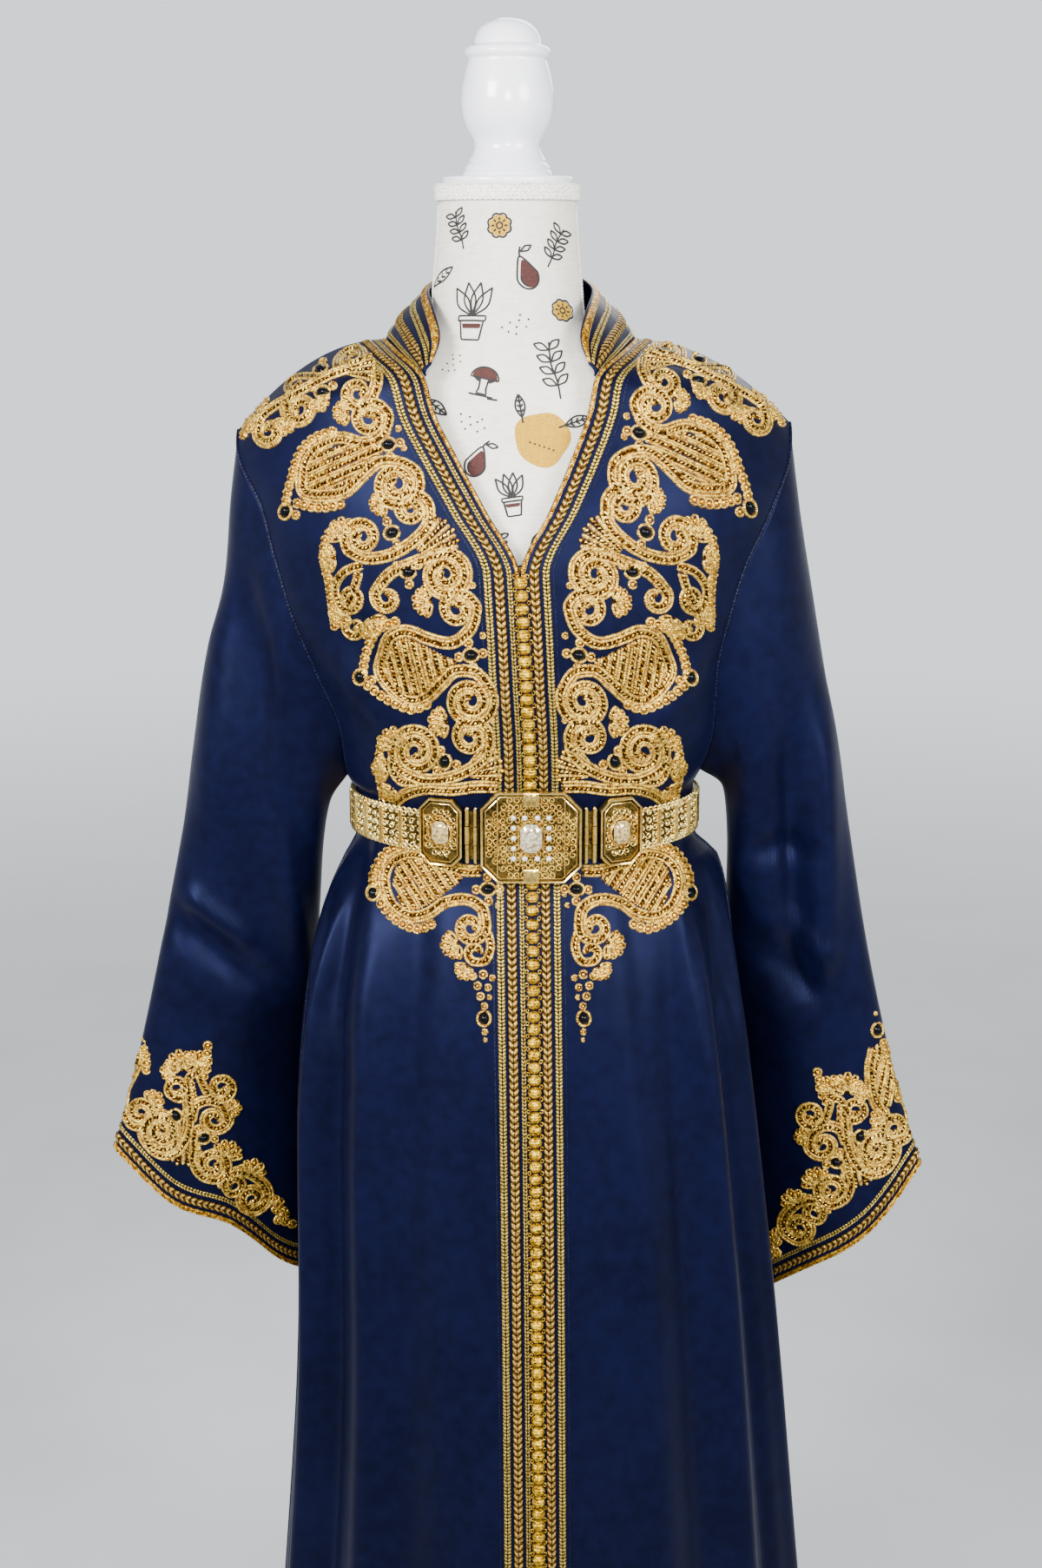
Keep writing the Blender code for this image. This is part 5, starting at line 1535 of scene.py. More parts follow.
@dataclass
class Form:
    """The limbless dress form: linen body, lace, turned cap, pole and foot.

    Attributes:
        rings: levels of the body's grid.
        columns: points round it.
        girth: width of the linen's map, in metres.
        cap: radius and height of the turned cap, top to bottom.
    """

    rings: int = 150
    columns: int = 96
    girth: float = 0.68
    cap: tuple[tuple[float, float], ...] = (
        (0.0, 1.6660), (0.0060, 1.6657), (0.0125, 1.6645), (0.0185, 1.6617), (0.0232, 1.6575),
        (0.0260, 1.6520), (0.0270, 1.6462), (0.0285, 1.6452), (0.0322, 1.6441), (0.0340, 1.6421),
        (0.0345, 1.6395), (0.0336, 1.6370), (0.0316, 1.6356), (0.0311, 1.6345), (0.0318, 1.6325),
        (0.0334, 1.6275), (0.0353, 1.6200), (0.0369, 1.6125), (0.0377, 1.6050), (0.0373, 1.5980),
        (0.0357, 1.5900), (0.0330, 1.5830), (0.0298, 1.5775), (0.0274, 1.5735), (0.0264, 1.5700),
        (0.0266, 1.5665), (0.0280, 1.5625), (0.0300, 1.5590), (0.0312, 1.5572), (0.0303, 1.5562),
        (0.0318, 1.5550), (0.0338, 1.5528), (0.0345, 1.5512), (0.0336, 1.5502), (0.0350, 1.5490),
        (0.0362, 1.5470), (0.0366, 1.5450), (0.0522, 1.5442), (0.0530, 1.5434), (0.0530, 1.5392),
        (0.0524, 1.5385), (0.0, 1.5385),
    )
    ground: Ground | None = None

    def shape(self) -> None:
        """Makes the body's fine grid."""
        z = np.linspace(0.760, 1.538, self.rings)[:, None]
        row = FORM.at(z)
        circle = polar(2 * math.pi * np.arange(self.columns) / self.columns)
        power = 2 / row["power"][..., None]
        across, along = np.moveaxis(np.sign(circle) * np.abs(circle) ** power, -1, 0)
        depth = np.where(along < 0, -row["front"], row["back"])
        points = [row["middle"] + row["half"] * across, depth * along,
                  np.broadcast_to(z, across.shape)]
        self.ground = Ground(np.stack(points, axis=-1), True)

    def build(self) -> None:
        """Makes the body of linen and the turned cap, and paints the stand."""
        self.shape()
        points = self.ground.points
        rows, columns = points.shape[0], points.shape[1] + 1
        around = np.concatenate([points, points[:, :1]], axis=1)
        girth = self.girth * np.arange(columns) / self.columns
        places = np.stack(np.broadcast_arrays(girth, points[:, :1, 2]), axis=-1)
        index = np.arange(rows * columns).reshape(rows, columns)
        faces = net(rows, columns, round_columns=False) + [index[0, ::-1], index[-1]]
        heap = Heap()
        heap.add(around.reshape(-1, 3), faces, 0, places.reshape(-1, 2))
        heap.piece("linen_torso", "linen", ["form_torso"], Finish.LINEN, steps=(weld, face_out),
                   sharp=60)
        self.turn_cap()
        for node in ("form_pole", "form_foot"):
            dress(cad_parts[node], Finish.STEEL)

    def turn_cap(self) -> None:
        """Turns the cap's profile about the upright axis."""
        cap = start_from(bpy.ops.mesh.primitive_circle_add, "turned_cap", vertices=len(self.cap),
                         radius=1.0)
        line = np.array([(radius, 0.0, z) for radius, z in self.cap], np.float32)
        cap.data.vertices.foreach_set("co", line.reshape(-1))
        spin = partial(bpy.ops.mesh.spin, steps=72, angle=2 * math.pi, center=(0, 0, 0),
                       axis=(0, 0, 1))
        edit_all(cap, spin, weld, face_out)
        cap.data.shade_smooth()
        cap.data.set_sharp_from_angle(angle=math.radians(45))
        dress(cap, Finish.GLOSS)
        settle(cap, "painted_wood", "form_cap")


# ---------------------------------------------------------------- the studio


@dataclass
class Studio:
    """A pale floor, a pale world, soft lamps and the camera.

    Attributes:
        eye: where the camera stands.
        pitch: how far it looks down, in degrees.
        lens: its focal length on a 36 mm sensor.
        lamps: name, place, aim, size and power of each soft lamp.
    """

    eye: tuple[float, float, float] = (0.011, -1.93, 1.49)
    pitch: float = 13.0
    lens: float = 2680 / 1805 * 36
    lamps: tuple[tuple, ...] = (
        ("key", (-1.5, -1.9, 2.2), (-0.06, 0.0, 1.32), 0.9, 42.0),
        ("fill", (1.7, -1.9, 2.0), (0.06, 0.0, 1.25), 1.1, 31.0),
        ("eye_lamp", (0.10, -1.95, 1.75), (0.0, 0.0, 1.40), 0.40, 9.0),
        ("back_lamp", (0.6, 2.4, 2.6), (0.0, 0.0, 1.1), 1.6, 12.0),
    )

    @staticmethod
    def place(name: str, data: bpy.types.ID, spot: Sequence[float], turn: Sequence[float]) -> None:
        """Puts a camera or a lamp in the scene.

        Args:
            name: its name.
            data: the camera or lamp itself.
            spot: where it stands.
            turn: how it is turned, in radians.
        """
        thing = bpy.data.objects.new(name, data)
        thing.location, thing.rotation_euler = spot, turn
        bpy.context.scene.collection.objects.link(thing)

    def build(self) -> None:
        """Sets the stage."""
        camera = bpy.data.cameras.new("camera")
        camera.sensor_width, camera.lens = 36.0, self.lens
        self.place("camera", camera, self.eye, (math.radians(90.0 - self.pitch), 0.0, 0.0))
        bpy.context.scene.camera = bpy.data.objects["camera"]
        floor = start_from(bpy.ops.mesh.primitive_grid_add, "floor", x_subdivisions=24,
                           y_subdivisions=24, size=60.0)
        dress(floor, Finish.FLOOR)
        for name, place, aim, size, power in self.lamps:
            light = bpy.data.lights.new(name, "AREA")
            light.size, light.energy, light.spread = size, power, math.radians(90.0)
            away = Vector(place) - Vector(aim)
            self.place(name, light, place, away.to_track_quat("Z", "Y").to_euler())
        self.build_world()

    @staticmethod
    def build_world() -> None:
        """Makes a pale world that the camera sees brighter than it shines."""
        world = bpy.data.worlds.new("world")
        world.use_nodes = True
        nodes, links = world.node_tree.nodes, world.node_tree.links
        seen = nodes.new("ShaderNodeLightPath")
        strength = nodes.new("ShaderNodeMapRange")
        strength.inputs["To Min"].default_value = WORLD_GLOW
        strength.inputs["To Max"].default_value = WORLD_STRENGTH
        links.new(seen.outputs["Is Camera Ray"], strength.inputs["Value"])
        links.new(strength.outputs[0], nodes["Background"].inputs["Strength"])
        nodes["Background"].inputs["Color"].default_value = WORLD_TONE
        bpy.context.scene.world = world


# ---------------------------------------------------------------- goldwork


class Thread(Enum):
    """What a line of goldwork is made of; its value is the finish's place on the piece."""

    CORD = 0
    BULLION = 1
    SEQUIN = 2
    STONE = 3
    PAD = 4


Spot = tuple[float, float] | Array
FULL_ROUND = ((-0.5, -0.12), (-0.36, 0.66), (0.0, 1.0), (0.36, 0.66), (0.5, -0.12))
FINE_CORD = 0.0013
FINE_STEP = 0.0010
DOME_ROWS = ((1.0, 0.0), (0.82, 0.62))


def turned_to(out: Array, points: Array, faces: list) -> list:
    """The faces, all turned over if the first of them looks against `out`.

    Args:
        out: the way that they have to look.
        points: the points.
        faces: the faces.

    Returns:
        The faces.
    """
    first = points[list(faces[0])]
    looks = np.cross(first[2] - first[0], first[3] - first[1]) @ out
    return [tuple(reversed(face)) for face in faces] if looks < 0 else faces


@dataclass
class Relief:
    """Lays cords, sequins and stones on a piece of cloth.

    Attributes:
        ground: the cloth, or another face that casts drawn spots.
        step: distance between the rings of a cord.
        place: takes motif coordinates to drawn ones, where they differ.
        heap: what it all goes on.
    """

    ground: "Ground | Plate | Wrap | Turned"
    step: float = 0.0018
    place: Callable[[Array], Array] | None = None
    heap: Heap = field(default_factory=Heap)

    def cast(self, spots: Array) -> tuple[Array, Array, Array]:
        """Points, normals and which spots meet the cloth, for motif coordinates."""
        return self.ground.cast(self.place(spots) if self.place else spots)

    def cord(self, line: Array, width: float, rise: float, thread: Thread, lift: float = 0.0,
             taper: float = 1.0) -> None:
        """Lays one half round cord.

        Args:
            line: where it runs, in motif coordinates.
            width: how wide it is.
            rise: how high it stands.
            thread: what it is made of.
            lift: how far its edges stand off the cloth.
            taper: how wide it starts, as a share of how wide it ends.
        """
        points, normals, met = self.cast(respaced(np.asarray(line, float), self.step))
        plain = thread is Thread.PAD or (width < FINE_CORD and self.step > FINE_STEP)
        profile = FULL_ROUND[::2] if plain else FULL_ROUND
        breaks = np.flatnonzero(np.diff(np.concatenate([[0], met.astype(int), [0]])))
        for first, last in zip(breaks[::2], breaks[1::2]):
            count = last - first
            if count < 3:
                continue
            spots, up = points[first:last], normals[first:last]
            across = unit(np.cross(unit(np.gradient(spots, axis=0)), up))
            far = lengths(spots)
            end = np.minimum(np.minimum(far, far[-1] - far) / (width * 0.6), 1.0)
            swell = np.sqrt(np.maximum(1 - (1 - end) ** 2, 0.02))
            swell = (swell * np.linspace(taper, 1.0, count))[:, None]
            rings = [spots + across * off * width * swell + up * (high * rise * swell + lift)
                     for off, high in profile]
            round_it = np.linspace(0.0, 1.0, len(profile))[:, None]
            places = np.stack(np.broadcast_arrays(far, round_it), axis=-1).reshape(-1, 2)
            faces = net(len(profile), count, round_columns=False) + net_ends(len(profile), count)
            self.heap.add(np.concatenate(rings), faces, thread.value, places)

    def dome(self, centre: Spot, wide: float, long: float, turn: float, rise: float,
             thread: Thread, sides: int = 8, flat: float = 0.0, lift: float = 0.0) -> None:
        """Lays one rounded oval, such as a sequin or a stone.

        Args:
            centre: where it is, in motif coordinates.
            wide: its width.
            long: its length.
            turn: the way its length points, in degrees.
            rise: how high it stands.
            thread: what it is made of.
            sides: points round it.
            flat: share of its width that is level on top.
            lift: how far its edge stands off the cloth.
        """
        oval = polar(np.arange(sides) * 2 * math.pi / sides) * (long / 2, wide / 2) @ spun(turn)
        rows = (*DOME_ROWS, (max(flat, 0.45), 0.95))
        middle = np.array([centre], float)
        spots = np.concatenate([middle + oval * share for share, _ in rows] + [middle])
        points, normals, met = self.cast(spots)
        if not met.all():
            return
        high = np.repeat([rise * up for _, up in rows] + [rise], [sides] * 3 + [1])
        points = points + normals[-1] * (high + lift)[:, None]
        faces = domed(3, sides)
        out = points[list(faces[0])].mean(axis=0) - points[-1] + normals[-1] * rise
        self.heap.add(points, turned_to(out, points, faces), thread.value, spots)

    def loop(self, centre: Spot, long: float, wide: float, turn: float, width: float, rise: float,
             thread: Thread = Thread.CORD, lift: float = 0.0) -> None:
        """Lays a cord round an oval, in motif coordinates.

        Args:
            centre: where it is, in motif coordinates.
            long: its length.
            wide: its width.
            turn: the way its length points, in degrees.
            width: the cord's width.
            rise: how high it stands.
            thread: what it is made of.
            lift: how far its edges stand off the cloth.
        """
        oval = polar(np.arange(19) * math.pi / 9) * (long / 2, wide / 2)
        self.cord(oval @ spun(turn) + np.array(centre), width, rise, thread, lift)

    def eyelet(self, centre: Spot, across: float, width: float, rise: float, bead: float,
               high: float) -> None:
        """Lays a round loop of cord with a sequin in it.

        Args:
            centre: where it is, in motif coordinates.
            across: the loop's width.
            width: the cord's width.
            rise: how high the cord stands.
            bead: the sequin's width.
            high: how high that stands.
        """
        self.loop(centre, across, across, 0.0, width, rise)
        self.dome(centre, bead, bead, 0.0, high, Thread.SEQUIN)


CORD_WIDTH = 0.00265
CORD_RISE = 0.0017
BULLION_RISE = 0.0022
PAD_RISE = 0.0007
CURL_CORE = 0.0024
PETAL_CORD = (0.0022, 0.0019)
PETAL_VEIN = (0.0024, 0.0021)
SCALLOP_EYELET = (0.0068, 0.0022, 0.0018, 0.0040, 0.0018)
STONE_EYELET = (0.0062, 0.0021, 0.0017, 0.0034, 0.0016)


def curl_points(start: Array, heading: Array, centre: Array, pitch: float) -> list[Array]:
    """A spiral wound in from the end of a scroll.

    Args:
        start: where the scroll ends.
        heading: the way it goes there.
        centre: the spiral's centre.
        pitch: distance between its turns.

    Returns:
        Its points, without the first.
    """
    arm = start - centre
    hand = 1.0 if heading[0] * -arm[1] - heading[1] * -arm[0] > 0 else -1.0
    radius = float(np.linalg.norm(arm))
    turns = max((radius - CURL_CORE) / pitch, 0.55)
    count = max(int(turns * 14), 7)
    share = np.arange(1, count + 1) / count
    turn = math.atan2(arm[1], arm[0]) + hand * share * turns * 2 * math.pi
    reach = CURL_CORE + (radius - CURL_CORE) * (1 - share) ** 0.9
    return list(centre + reach[:, None] * polar(turn))


@dataclass(frozen=True)
class Scroll:
    """A band of cords along a curve, with a curl at either end.

    Attributes:
        points: what the curve passes through.
        head: centre of the curl at its start.
        tail: centre of the curl at its end.
        narrow: whether it has two cords and a bullion, or one more.
    """

    points: tuple[Spot, ...]
    head: Spot | None = None
    tail: Spot | None = None
    narrow: bool = False

    def stitch(self, relief: Relief) -> None:
        """Lays it.

        Args:
            relief: what it is laid with.
        """
        points = [np.array(point) for point in self.points]
        pitch = 0.0068 if self.narrow else 0.0084
        before, after = [], []
        if self.head:
            before = curl_points(points[0], points[0] - points[1], np.array(self.head), pitch)
        if self.tail:
            after = curl_points(points[-1], points[-1] - points[-2], np.array(self.tail), pitch)
        line = smooth_line([*before[::-1], *points, *after], 0.0016)
        along = unit(np.gradient(line, axis=0))
        aside = np.stack([-along[:, 1], along[:, 0]], axis=1)
        share = np.linspace(0.0, 1.0, len(line))
        lanes = (-1.0, 0.0, 1.0) if self.narrow else (-1.5, -0.5, 0.5, 1.5)
        ends = np.minimum(share if self.head else 1.0, 1 - share if self.tail else 1.0)
        near_curl = (0.80 + 0.20 * ease(0.0, 0.22, ends)) * np.ones(len(line))
        # A low pad under the lanes; its dark finish is painted shade between the cords.
        relief.cord(line, CORD_WIDTH * (len(lanes) - 0.5), PAD_RISE, Thread.PAD)
        for number, off in enumerate(lanes):
            lane = line + aside * (off * CORD_WIDTH * 0.98 * near_curl)[:, None]
            if number == 1:
                relief.cord(lane, CORD_WIDTH * 1.02, BULLION_RISE, Thread.BULLION)
            else:
                relief.cord(lane, CORD_WIDTH * 1.02, CORD_RISE, Thread.CORD)


@dataclass(frozen=True)
class Spray:
    """Things spread from one spot.

    Attributes:
        base: where they start.
        turn: the way the middle one points, in degrees.
        count: how many.
        reach: how long the middle one is.
        spread: angle between the outer two.
    """

    base: Spot
    turn: float
    count: int
    reach: float
    spread: float


class Palmette(Spray):
    """Looped petals, each with a sequin."""

    def stitch(self, relief: Relief) -> None:
        """Lays it.

        Args:
            relief: what it is laid with.
        """
        base = np.array(self.base)
        # A dark pad under the petals, painted shade inside their loops.
        relief.dome(base + polar(math.radians(self.turn)) * self.reach * 0.45, self.reach * 0.95,
                    self.reach * 0.75, self.turn, PAD_RISE, Thread.PAD, 12, 0.7)
        for k in range(self.count):
            share = k / (self.count - 1) - 0.5
            turn = self.turn + share * self.spread
            reach = self.reach * (1.06 - 0.36 * abs(share))
            aim = polar(math.radians(turn)) * reach
            wide = min(0.0072, reach * 0.78 * math.radians(self.spread) / (self.count - 1) * 0.98)
            relief.loop(base + aim * 0.60, reach * 0.82, wide, turn, *PETAL_CORD,
                        lift=0.0002 * (k % 2))
            relief.cord([base, base + aim * 0.56], *PETAL_VEIN, Thread.BULLION, taper=0.5)
            relief.dome(base + aim * 0.74, 0.0034, 0.0042, turn, 0.0019, Thread.SEQUIN)


class Fan(Spray):
    """Straight ribs, each with a bead at its tip."""

    def stitch(self, relief: Relief) -> None:
        """Lays it.

        Args:
            relief: what it is laid with.
        """
        aside = polar(math.radians(self.turn + 90))
        for k in range(self.count):
            share = k / (self.count - 1) - 0.5
            aim = polar(math.radians(self.turn + share * self.spread))
            base = np.array(self.base) + aside * share * 0.008
            reach = self.reach * (1.0 - 0.5 * share * share + (0.05 if k % 2 else 0.0))
            wide = self.reach * math.radians(self.spread) / (self.count - 1) * 1.10
            relief.cord([base, base + aim * reach], wide, 0.0019,
                        Thread.BULLION if k % 2 else Thread.CORD, taper=0.35)
            relief.dome(base + aim * (reach - 0.0010), 0.0036, 0.0036, 0.0, 0.0021,
                        Thread.SEQUIN if k % 2 else Thread.CORD)


@dataclass(frozen=True)
class Hatch:
    """Parallel bullions that fill a leaf's outline and run the way that `turn` says."""

    outline: tuple[Spot, ...]
    turn: float
    pitch: float = 0.0024

    def stitch(self, relief: Relief) -> None:
        """Lays it.

        Args:
            relief: what it is laid with.
        """
        level = smooth_line([*self.outline, self.outline[0]], 0.0015) @ spun(-self.turn)
        low, high = level[:, 1].min(), level[:, 1].max()
        offs = np.arange(low + self.pitch * 0.6, high - self.pitch * 0.4, self.pitch)
        for k, off in enumerate(offs):
            side = level[:, 1] - off
            cross = np.flatnonzero(side[:-1] * side[1:] < 0)
            if len(cross) < 2:
                continue
            share = side[cross] / (side[cross] - side[cross + 1])
            x = np.sort(level[cross, 0] + share * (level[cross + 1, 0] - level[cross, 0]))
            if x[-1] - x[0] < 0.004:
                continue
            sway = 0.0006 * math.sin(k * 1.7)
            line = np.array([(x[0] + 0.0008, off), ((x[0] + x[-1]) / 2, off + sway),
                             (x[-1] - 0.0008, off)]) @ spun(self.turn)
            relief.cord(smooth_line(line, 0.0016), 0.0025, 0.0021 + 0.0003 * (k % 2),
                        Thread.BULLION if k % 3 == 1 else Thread.CORD)
            # A dark pad under each hatch line, painted shade between the bullions.
            relief.cord(line, self.pitch * 1.3, PAD_RISE, Thread.PAD)


@dataclass(frozen=True)
class Scallops:
    """A row of small loops with sequins, along the outside of a leaf or branch."""

    points: tuple[Spot, ...]

    def stitch(self, relief: Relief) -> None:
        """Lays it.

        Args:
            relief: what it is laid with.
        """
        for spot in smooth_line(self.points, 0.0062):
            relief.eyelet(spot, *SCALLOP_EYELET)


@dataclass(frozen=True)
class Ring:
    """A small ring of cord round a sequin."""

    centre: Spot
    radius: float

    def stitch(self, relief: Relief) -> None:
        """Lays it.

        Args:
            relief: what it is laid with.
        """
        across = self.radius * 2 - 0.0020
        relief.eyelet(self.centre, across, 0.0020, 0.0016, across * 0.5, 0.0016)


@dataclass(frozen=True)
class Stone:
    """A dark oval stone in a ring of cord, with some small rings beside it."""

    centre: Spot
    turn: float
    rings: int

    def stitch(self, relief: Relief) -> None:
        """Lays it.

        Args:
            relief: what it is laid with.
        """
        relief.loop(self.centre, 0.0124, 0.0106, self.turn, 0.0026, 0.0020)
        relief.dome(self.centre, 0.0074, 0.0094, self.turn, 0.0038, Thread.STONE, 10, 0.5, 0.0002)
        for k in range(self.rings):
            turn = math.radians(self.turn + 90 + 360 * k / self.rings)
            spot = self.centre + 0.0096 * polar(turn)
            relief.eyelet(spot, *STONE_EYELET)


@dataclass
class Goldwork:
    """The embroidery of both fronts and both cuffs.

    Attributes:
        lift: how much higher the right front's work sits.
        lift_from: height from which it does.
        cuff_left: where the left cuff's work starts, as drawn.
        cuff_right: where the right cuff's work starts, as drawn.
        cuff_turn: how much steeper the right cuff hangs, in degrees.
    """

    lift: float = 0.010
    lift_from: float = 1.20
    cuff_left: Spot = (-0.3418, 0.7170)
    cuff_right: Spot = (0.3607, 0.7060)
    cuff_turn: float = -8.7

    def on_front(self, side: Side, spots: Array) -> Array:
        """Motif coordinates, out from the middle and up, as drawn on a front."""
        middle = FRONT.at(spots[:, 1] / math.cos(TILT) + SINK)["mid"]
        rise = self.lift * ease(self.lift_from, 1.30, spots[:, 1]) if side is Side.RIGHT else 0.0
        return np.stack([middle + side.value * spots[:, 0], spots[:, 1] + rise], axis=1)

    def on_cuff(self, side: Side, spots: Array) -> Array:
        """The left cuff's motif coordinates as drawn on either cuff."""
        if side is Side.LEFT:
            return spots
        away = (spots - np.array(self.cuff_left)) * (-1.0, 1.0)
        return away @ spun(-self.cuff_turn) + np.array(self.cuff_right)

    def build(self, body: Body, sleeves: dict[Side, Sleeve]) -> None:
        """Lays every motif on the fronts and the sleeves and makes the pieces.

        Args:
            body: the fronts.
            sleeves: the sleeves.
        """
        for side in Side:
            outer = OUTER_CUFF_MOTIFS if side is Side.RIGHT else ()
            for group, motifs, ground, place in (
                ("chest", CHEST_MOTIFS, body.fronts[side], self.on_front),
                ("skirt", SKIRT_MOTIFS, body.fronts[side], self.on_front),
                ("cuff", CUFF_MOTIFS + outer, sleeves[side].ground, self.on_cuff),
            ):
                relief = Relief(ground, place=partial(place, side))
                for motif in motifs:
                    motif.stitch(relief)
                relief.heap.piece(
                    f"goldwork_relief_{group}_{side.word}", "goldwork",
                    [f"goldwork_{group}_{side.word}"], Finish.CORD, Finish.BULLION,
                    Finish.SEQUIN, Finish.JET, Finish.PAD)


CHEST_MOTIFS = (
    Scroll(((0.1266, 1.3471), (0.1433, 1.3424), (0.1605, 1.3346), (0.1776, 1.3277),
        (0.1803, 1.3175)), tail=(0.1678, 1.3161)),
    Fan((0.1307, 1.3455), 173, 9, 0.0238, 52),
    Scroll(((0.1376, 1.3475), (0.1388, 1.3593),
        (0.1319, 1.3685)), tail=(0.1264, 1.3591), narrow=True),
    Scroll(((0.1489, 1.3404), (0.1631, 1.3455),
        (0.1732, 1.3478)), tail=(0.1735, 1.3393), narrow=True),
    Scroll(((0.1687, 1.3289), (0.186, 1.3238), (0.2018, 1.3149),
        (0.2055, 1.3044)), tail=(0.1949, 1.3007)),
    Palmette((0.1807, 1.3098), -82, 5, 0.014, 120),
    Palmette((0.1982, 1.3241), 22, 5, 0.0112, 120),
    Palmette((0.2066, 1.3129), -24, 5, 0.0126, 120),
    Palmette((0.1537, 1.3234), -118, 5, 0.0126, 110),
    Scallops(((0.211, 1.3164), (0.2162, 1.3103), (0.2191, 1.3024))),
    Stone((0.1523, 1.35), -178, 2),
    Stone((0.1486, 1.3274), -178, 3),
    Scroll(((0.1063, 1.3452), (0.1044, 1.3334), (0.1086, 1.3209)), tail=(0.1201, 1.3246)),
    Palmette((0.1274, 1.3098), 0, 6, 0.0133, 130),
    Scroll(((0.0969, 1.3036), (0.1033, 1.2898), (0.1172, 1.2848), (0.1351, 1.2899),
        (0.1525, 1.286), (0.1647, 1.2767), (0.1693, 1.262), (0.1687, 1.2489),
        (0.1519, 1.245), (0.1344, 1.2471),
        (0.1211, 1.2578), (0.1068, 1.2686), (0.0918, 1.2689),
        (0.0793, 1.2624)), head=(0.1111, 1.3031), tail=(0.0932, 1.2508)),
    Hatch(((0.1671, 1.2506), (0.165, 1.2681), (0.1557, 1.2801), (0.1354, 1.2846), (0.1109, 1.2846),
        (0.0999, 1.2801), (0.1148, 1.2669), (0.1302, 1.254), (0.149, 1.2496)), 160),
    Scallops(((0.142, 1.2951), (0.1565, 1.2912), (0.168, 1.2826), (0.1747, 1.271),
        (0.1784, 1.2604), (0.1821, 1.2513), (0.1843, 1.2434))),
    Scallops(((0.1746, 1.2408), (0.1628, 1.2373), (0.151, 1.236), (0.1393, 1.2378))),
    Stone((0.0981, 1.2829), 174, 4),
    Stone((0.1856, 1.2354), 111, 1),
    Palmette((0.1027, 1.2375), -11, 6, 0.0133, 130),
    Scroll(((0.0691, 1.2318), (0.071, 1.2185), (0.0837, 1.2059), (0.1007, 1.197), (0.1192, 1.1947),
        (0.1331, 1.201)), head=(0.0825, 1.2316), tail=(0.1231, 1.2107)),
    Ring((0.0891, 1.295), 0.0032),
    Ring((0.0861, 1.2798), 0.0032),
    Fan((0.0787, 1.1978), 144, 10, 0.0322, 58),
    Scroll(((0.0449, 1.1909), (0.0533, 1.1966), (0.0667, 1.1954), (0.0846, 1.1898),
        (0.1016, 1.1826), (0.1137, 1.1699)), head=(0.0587, 1.18), tail=(0.1057, 1.1635)),
    Stone((0.0991, 1.2137), 158, 2),
    Stone((0.0877, 1.1834), 178, 3),
    Palmette((0.1367, 1.2109), 68, 6, 0.0168, 130),
    Palmette((0.145, 1.1966), -3, 6, 0.014, 120),
    Scroll(((0.1238, 1.1895), (0.1386, 1.1852), (0.1475, 1.1738),
        (0.1449, 1.1601)), tail=(0.1357, 1.1646), narrow=True),
    Palmette((0.1423, 1.1558), -53, 6, 0.014, 120),
    Palmette((0.1255, 1.1463), -91, 5, 0.0126, 110),
    Scallops(((0.1456, 1.2198), (0.1528, 1.211), (0.1551, 1.2003), (0.1545, 1.1894),
        (0.1524, 1.1784), (0.1517, 1.1675), (0.1512, 1.1553), (0.1506, 1.1445))),
    Scroll(((0.127, 1.185), (0.1316, 1.171), (0.1394, 1.1555),
        (0.1417, 1.1449)), tail=(0.1338, 1.1422), narrow=True),
    Palmette((0.1194, 1.1499), -112, 5, 0.014, 110),
    Palmette((0.0705, 1.1606), -3, 6, 0.0154, 130),
    Ring((0.0378, 1.172), 0.0032),
    Ring((0.0518, 1.2012), 0.0028),
    Scroll(((0.0366, 1.1535), (0.042, 1.1383), (0.0567, 1.1282), (0.0743, 1.1313), (0.0919, 1.138),
        (0.1056, 1.1336), (0.1122, 1.1211), (0.1161, 1.1072), (0.1071, 1.0932), (0.0942, 1.0832),
        (0.0799, 1.0856), (0.0667, 1.0966), (0.0552, 1.1061), (0.039, 1.1049),
        (0.0307, 1.0948)), head=(0.0506, 1.1534), tail=(0.0449, 1.0827)),
    Hatch(((0.1122, 1.1072), (0.1067, 1.1242), (0.0953, 1.1341), (0.0794, 1.1277),
        (0.0638, 1.1194), (0.0513, 1.1138), (0.0647, 1.1041), (0.0785, 1.0902), (0.0952, 1.0866),
        (0.1056, 1.0934)), -101),
    Scallops(((0.1006, 1.145), (0.1144, 1.1401), (0.1224, 1.1299), (0.1276, 1.1181),
        (0.13, 1.1062))),
    Scallops(((0.1264, 1.0965), (0.1154, 1.0877), (0.1043, 1.0816), (0.0918, 1.0771),
        (0.0802, 1.0809))),
    Stone((0.0423, 1.1185), 172, 4),
    Stone((0.1324, 1.1031), 105, 1),
    Ring((0.0322, 1.1335), 0.0032),
    Palmette((0.0643, 1.0673), -5, 6, 0.0154, 130),
    Scroll(((0.0321, 1.0527), (0.0354, 1.0399), (0.0483, 1.0296), (0.0668, 1.0225),
        (0.0867, 1.0216), (0.1034, 1.0291)), head=(0.0464, 1.0543), tail=(0.091, 1.044)),
    Fan((0.0499, 1.0268), 157, 10, 0.028, 56),
    Scroll(((0.0248, 1.0152), (0.0435, 1.0154), (0.0631, 1.013), (0.0828, 1.014), (0.1002, 1.01),
        (0.1123, 1.0011))),
    Stone((0.0682, 1.0354), 103, 3),
    Palmette((0.1074, 1.0468), 73, 6, 0.0168, 130),
    Palmette((0.1149, 1.0311), -6, 6, 0.014, 120),
    Palmette((0.1115, 1.0146), -50, 5, 0.0126, 110),
    Scallops(((0.1193, 1.053), (0.1215, 1.0423), (0.1236, 1.0316), (0.1221, 1.0207),
        (0.1206, 1.0097))),
    Scroll(((0.0939, 1.0192), (0.104, 1.0196), (0.1107, 1.0281), (0.1114, 1.0403)), narrow=True),
    Ring((0.0286, 1.0677), 0.0028),
)
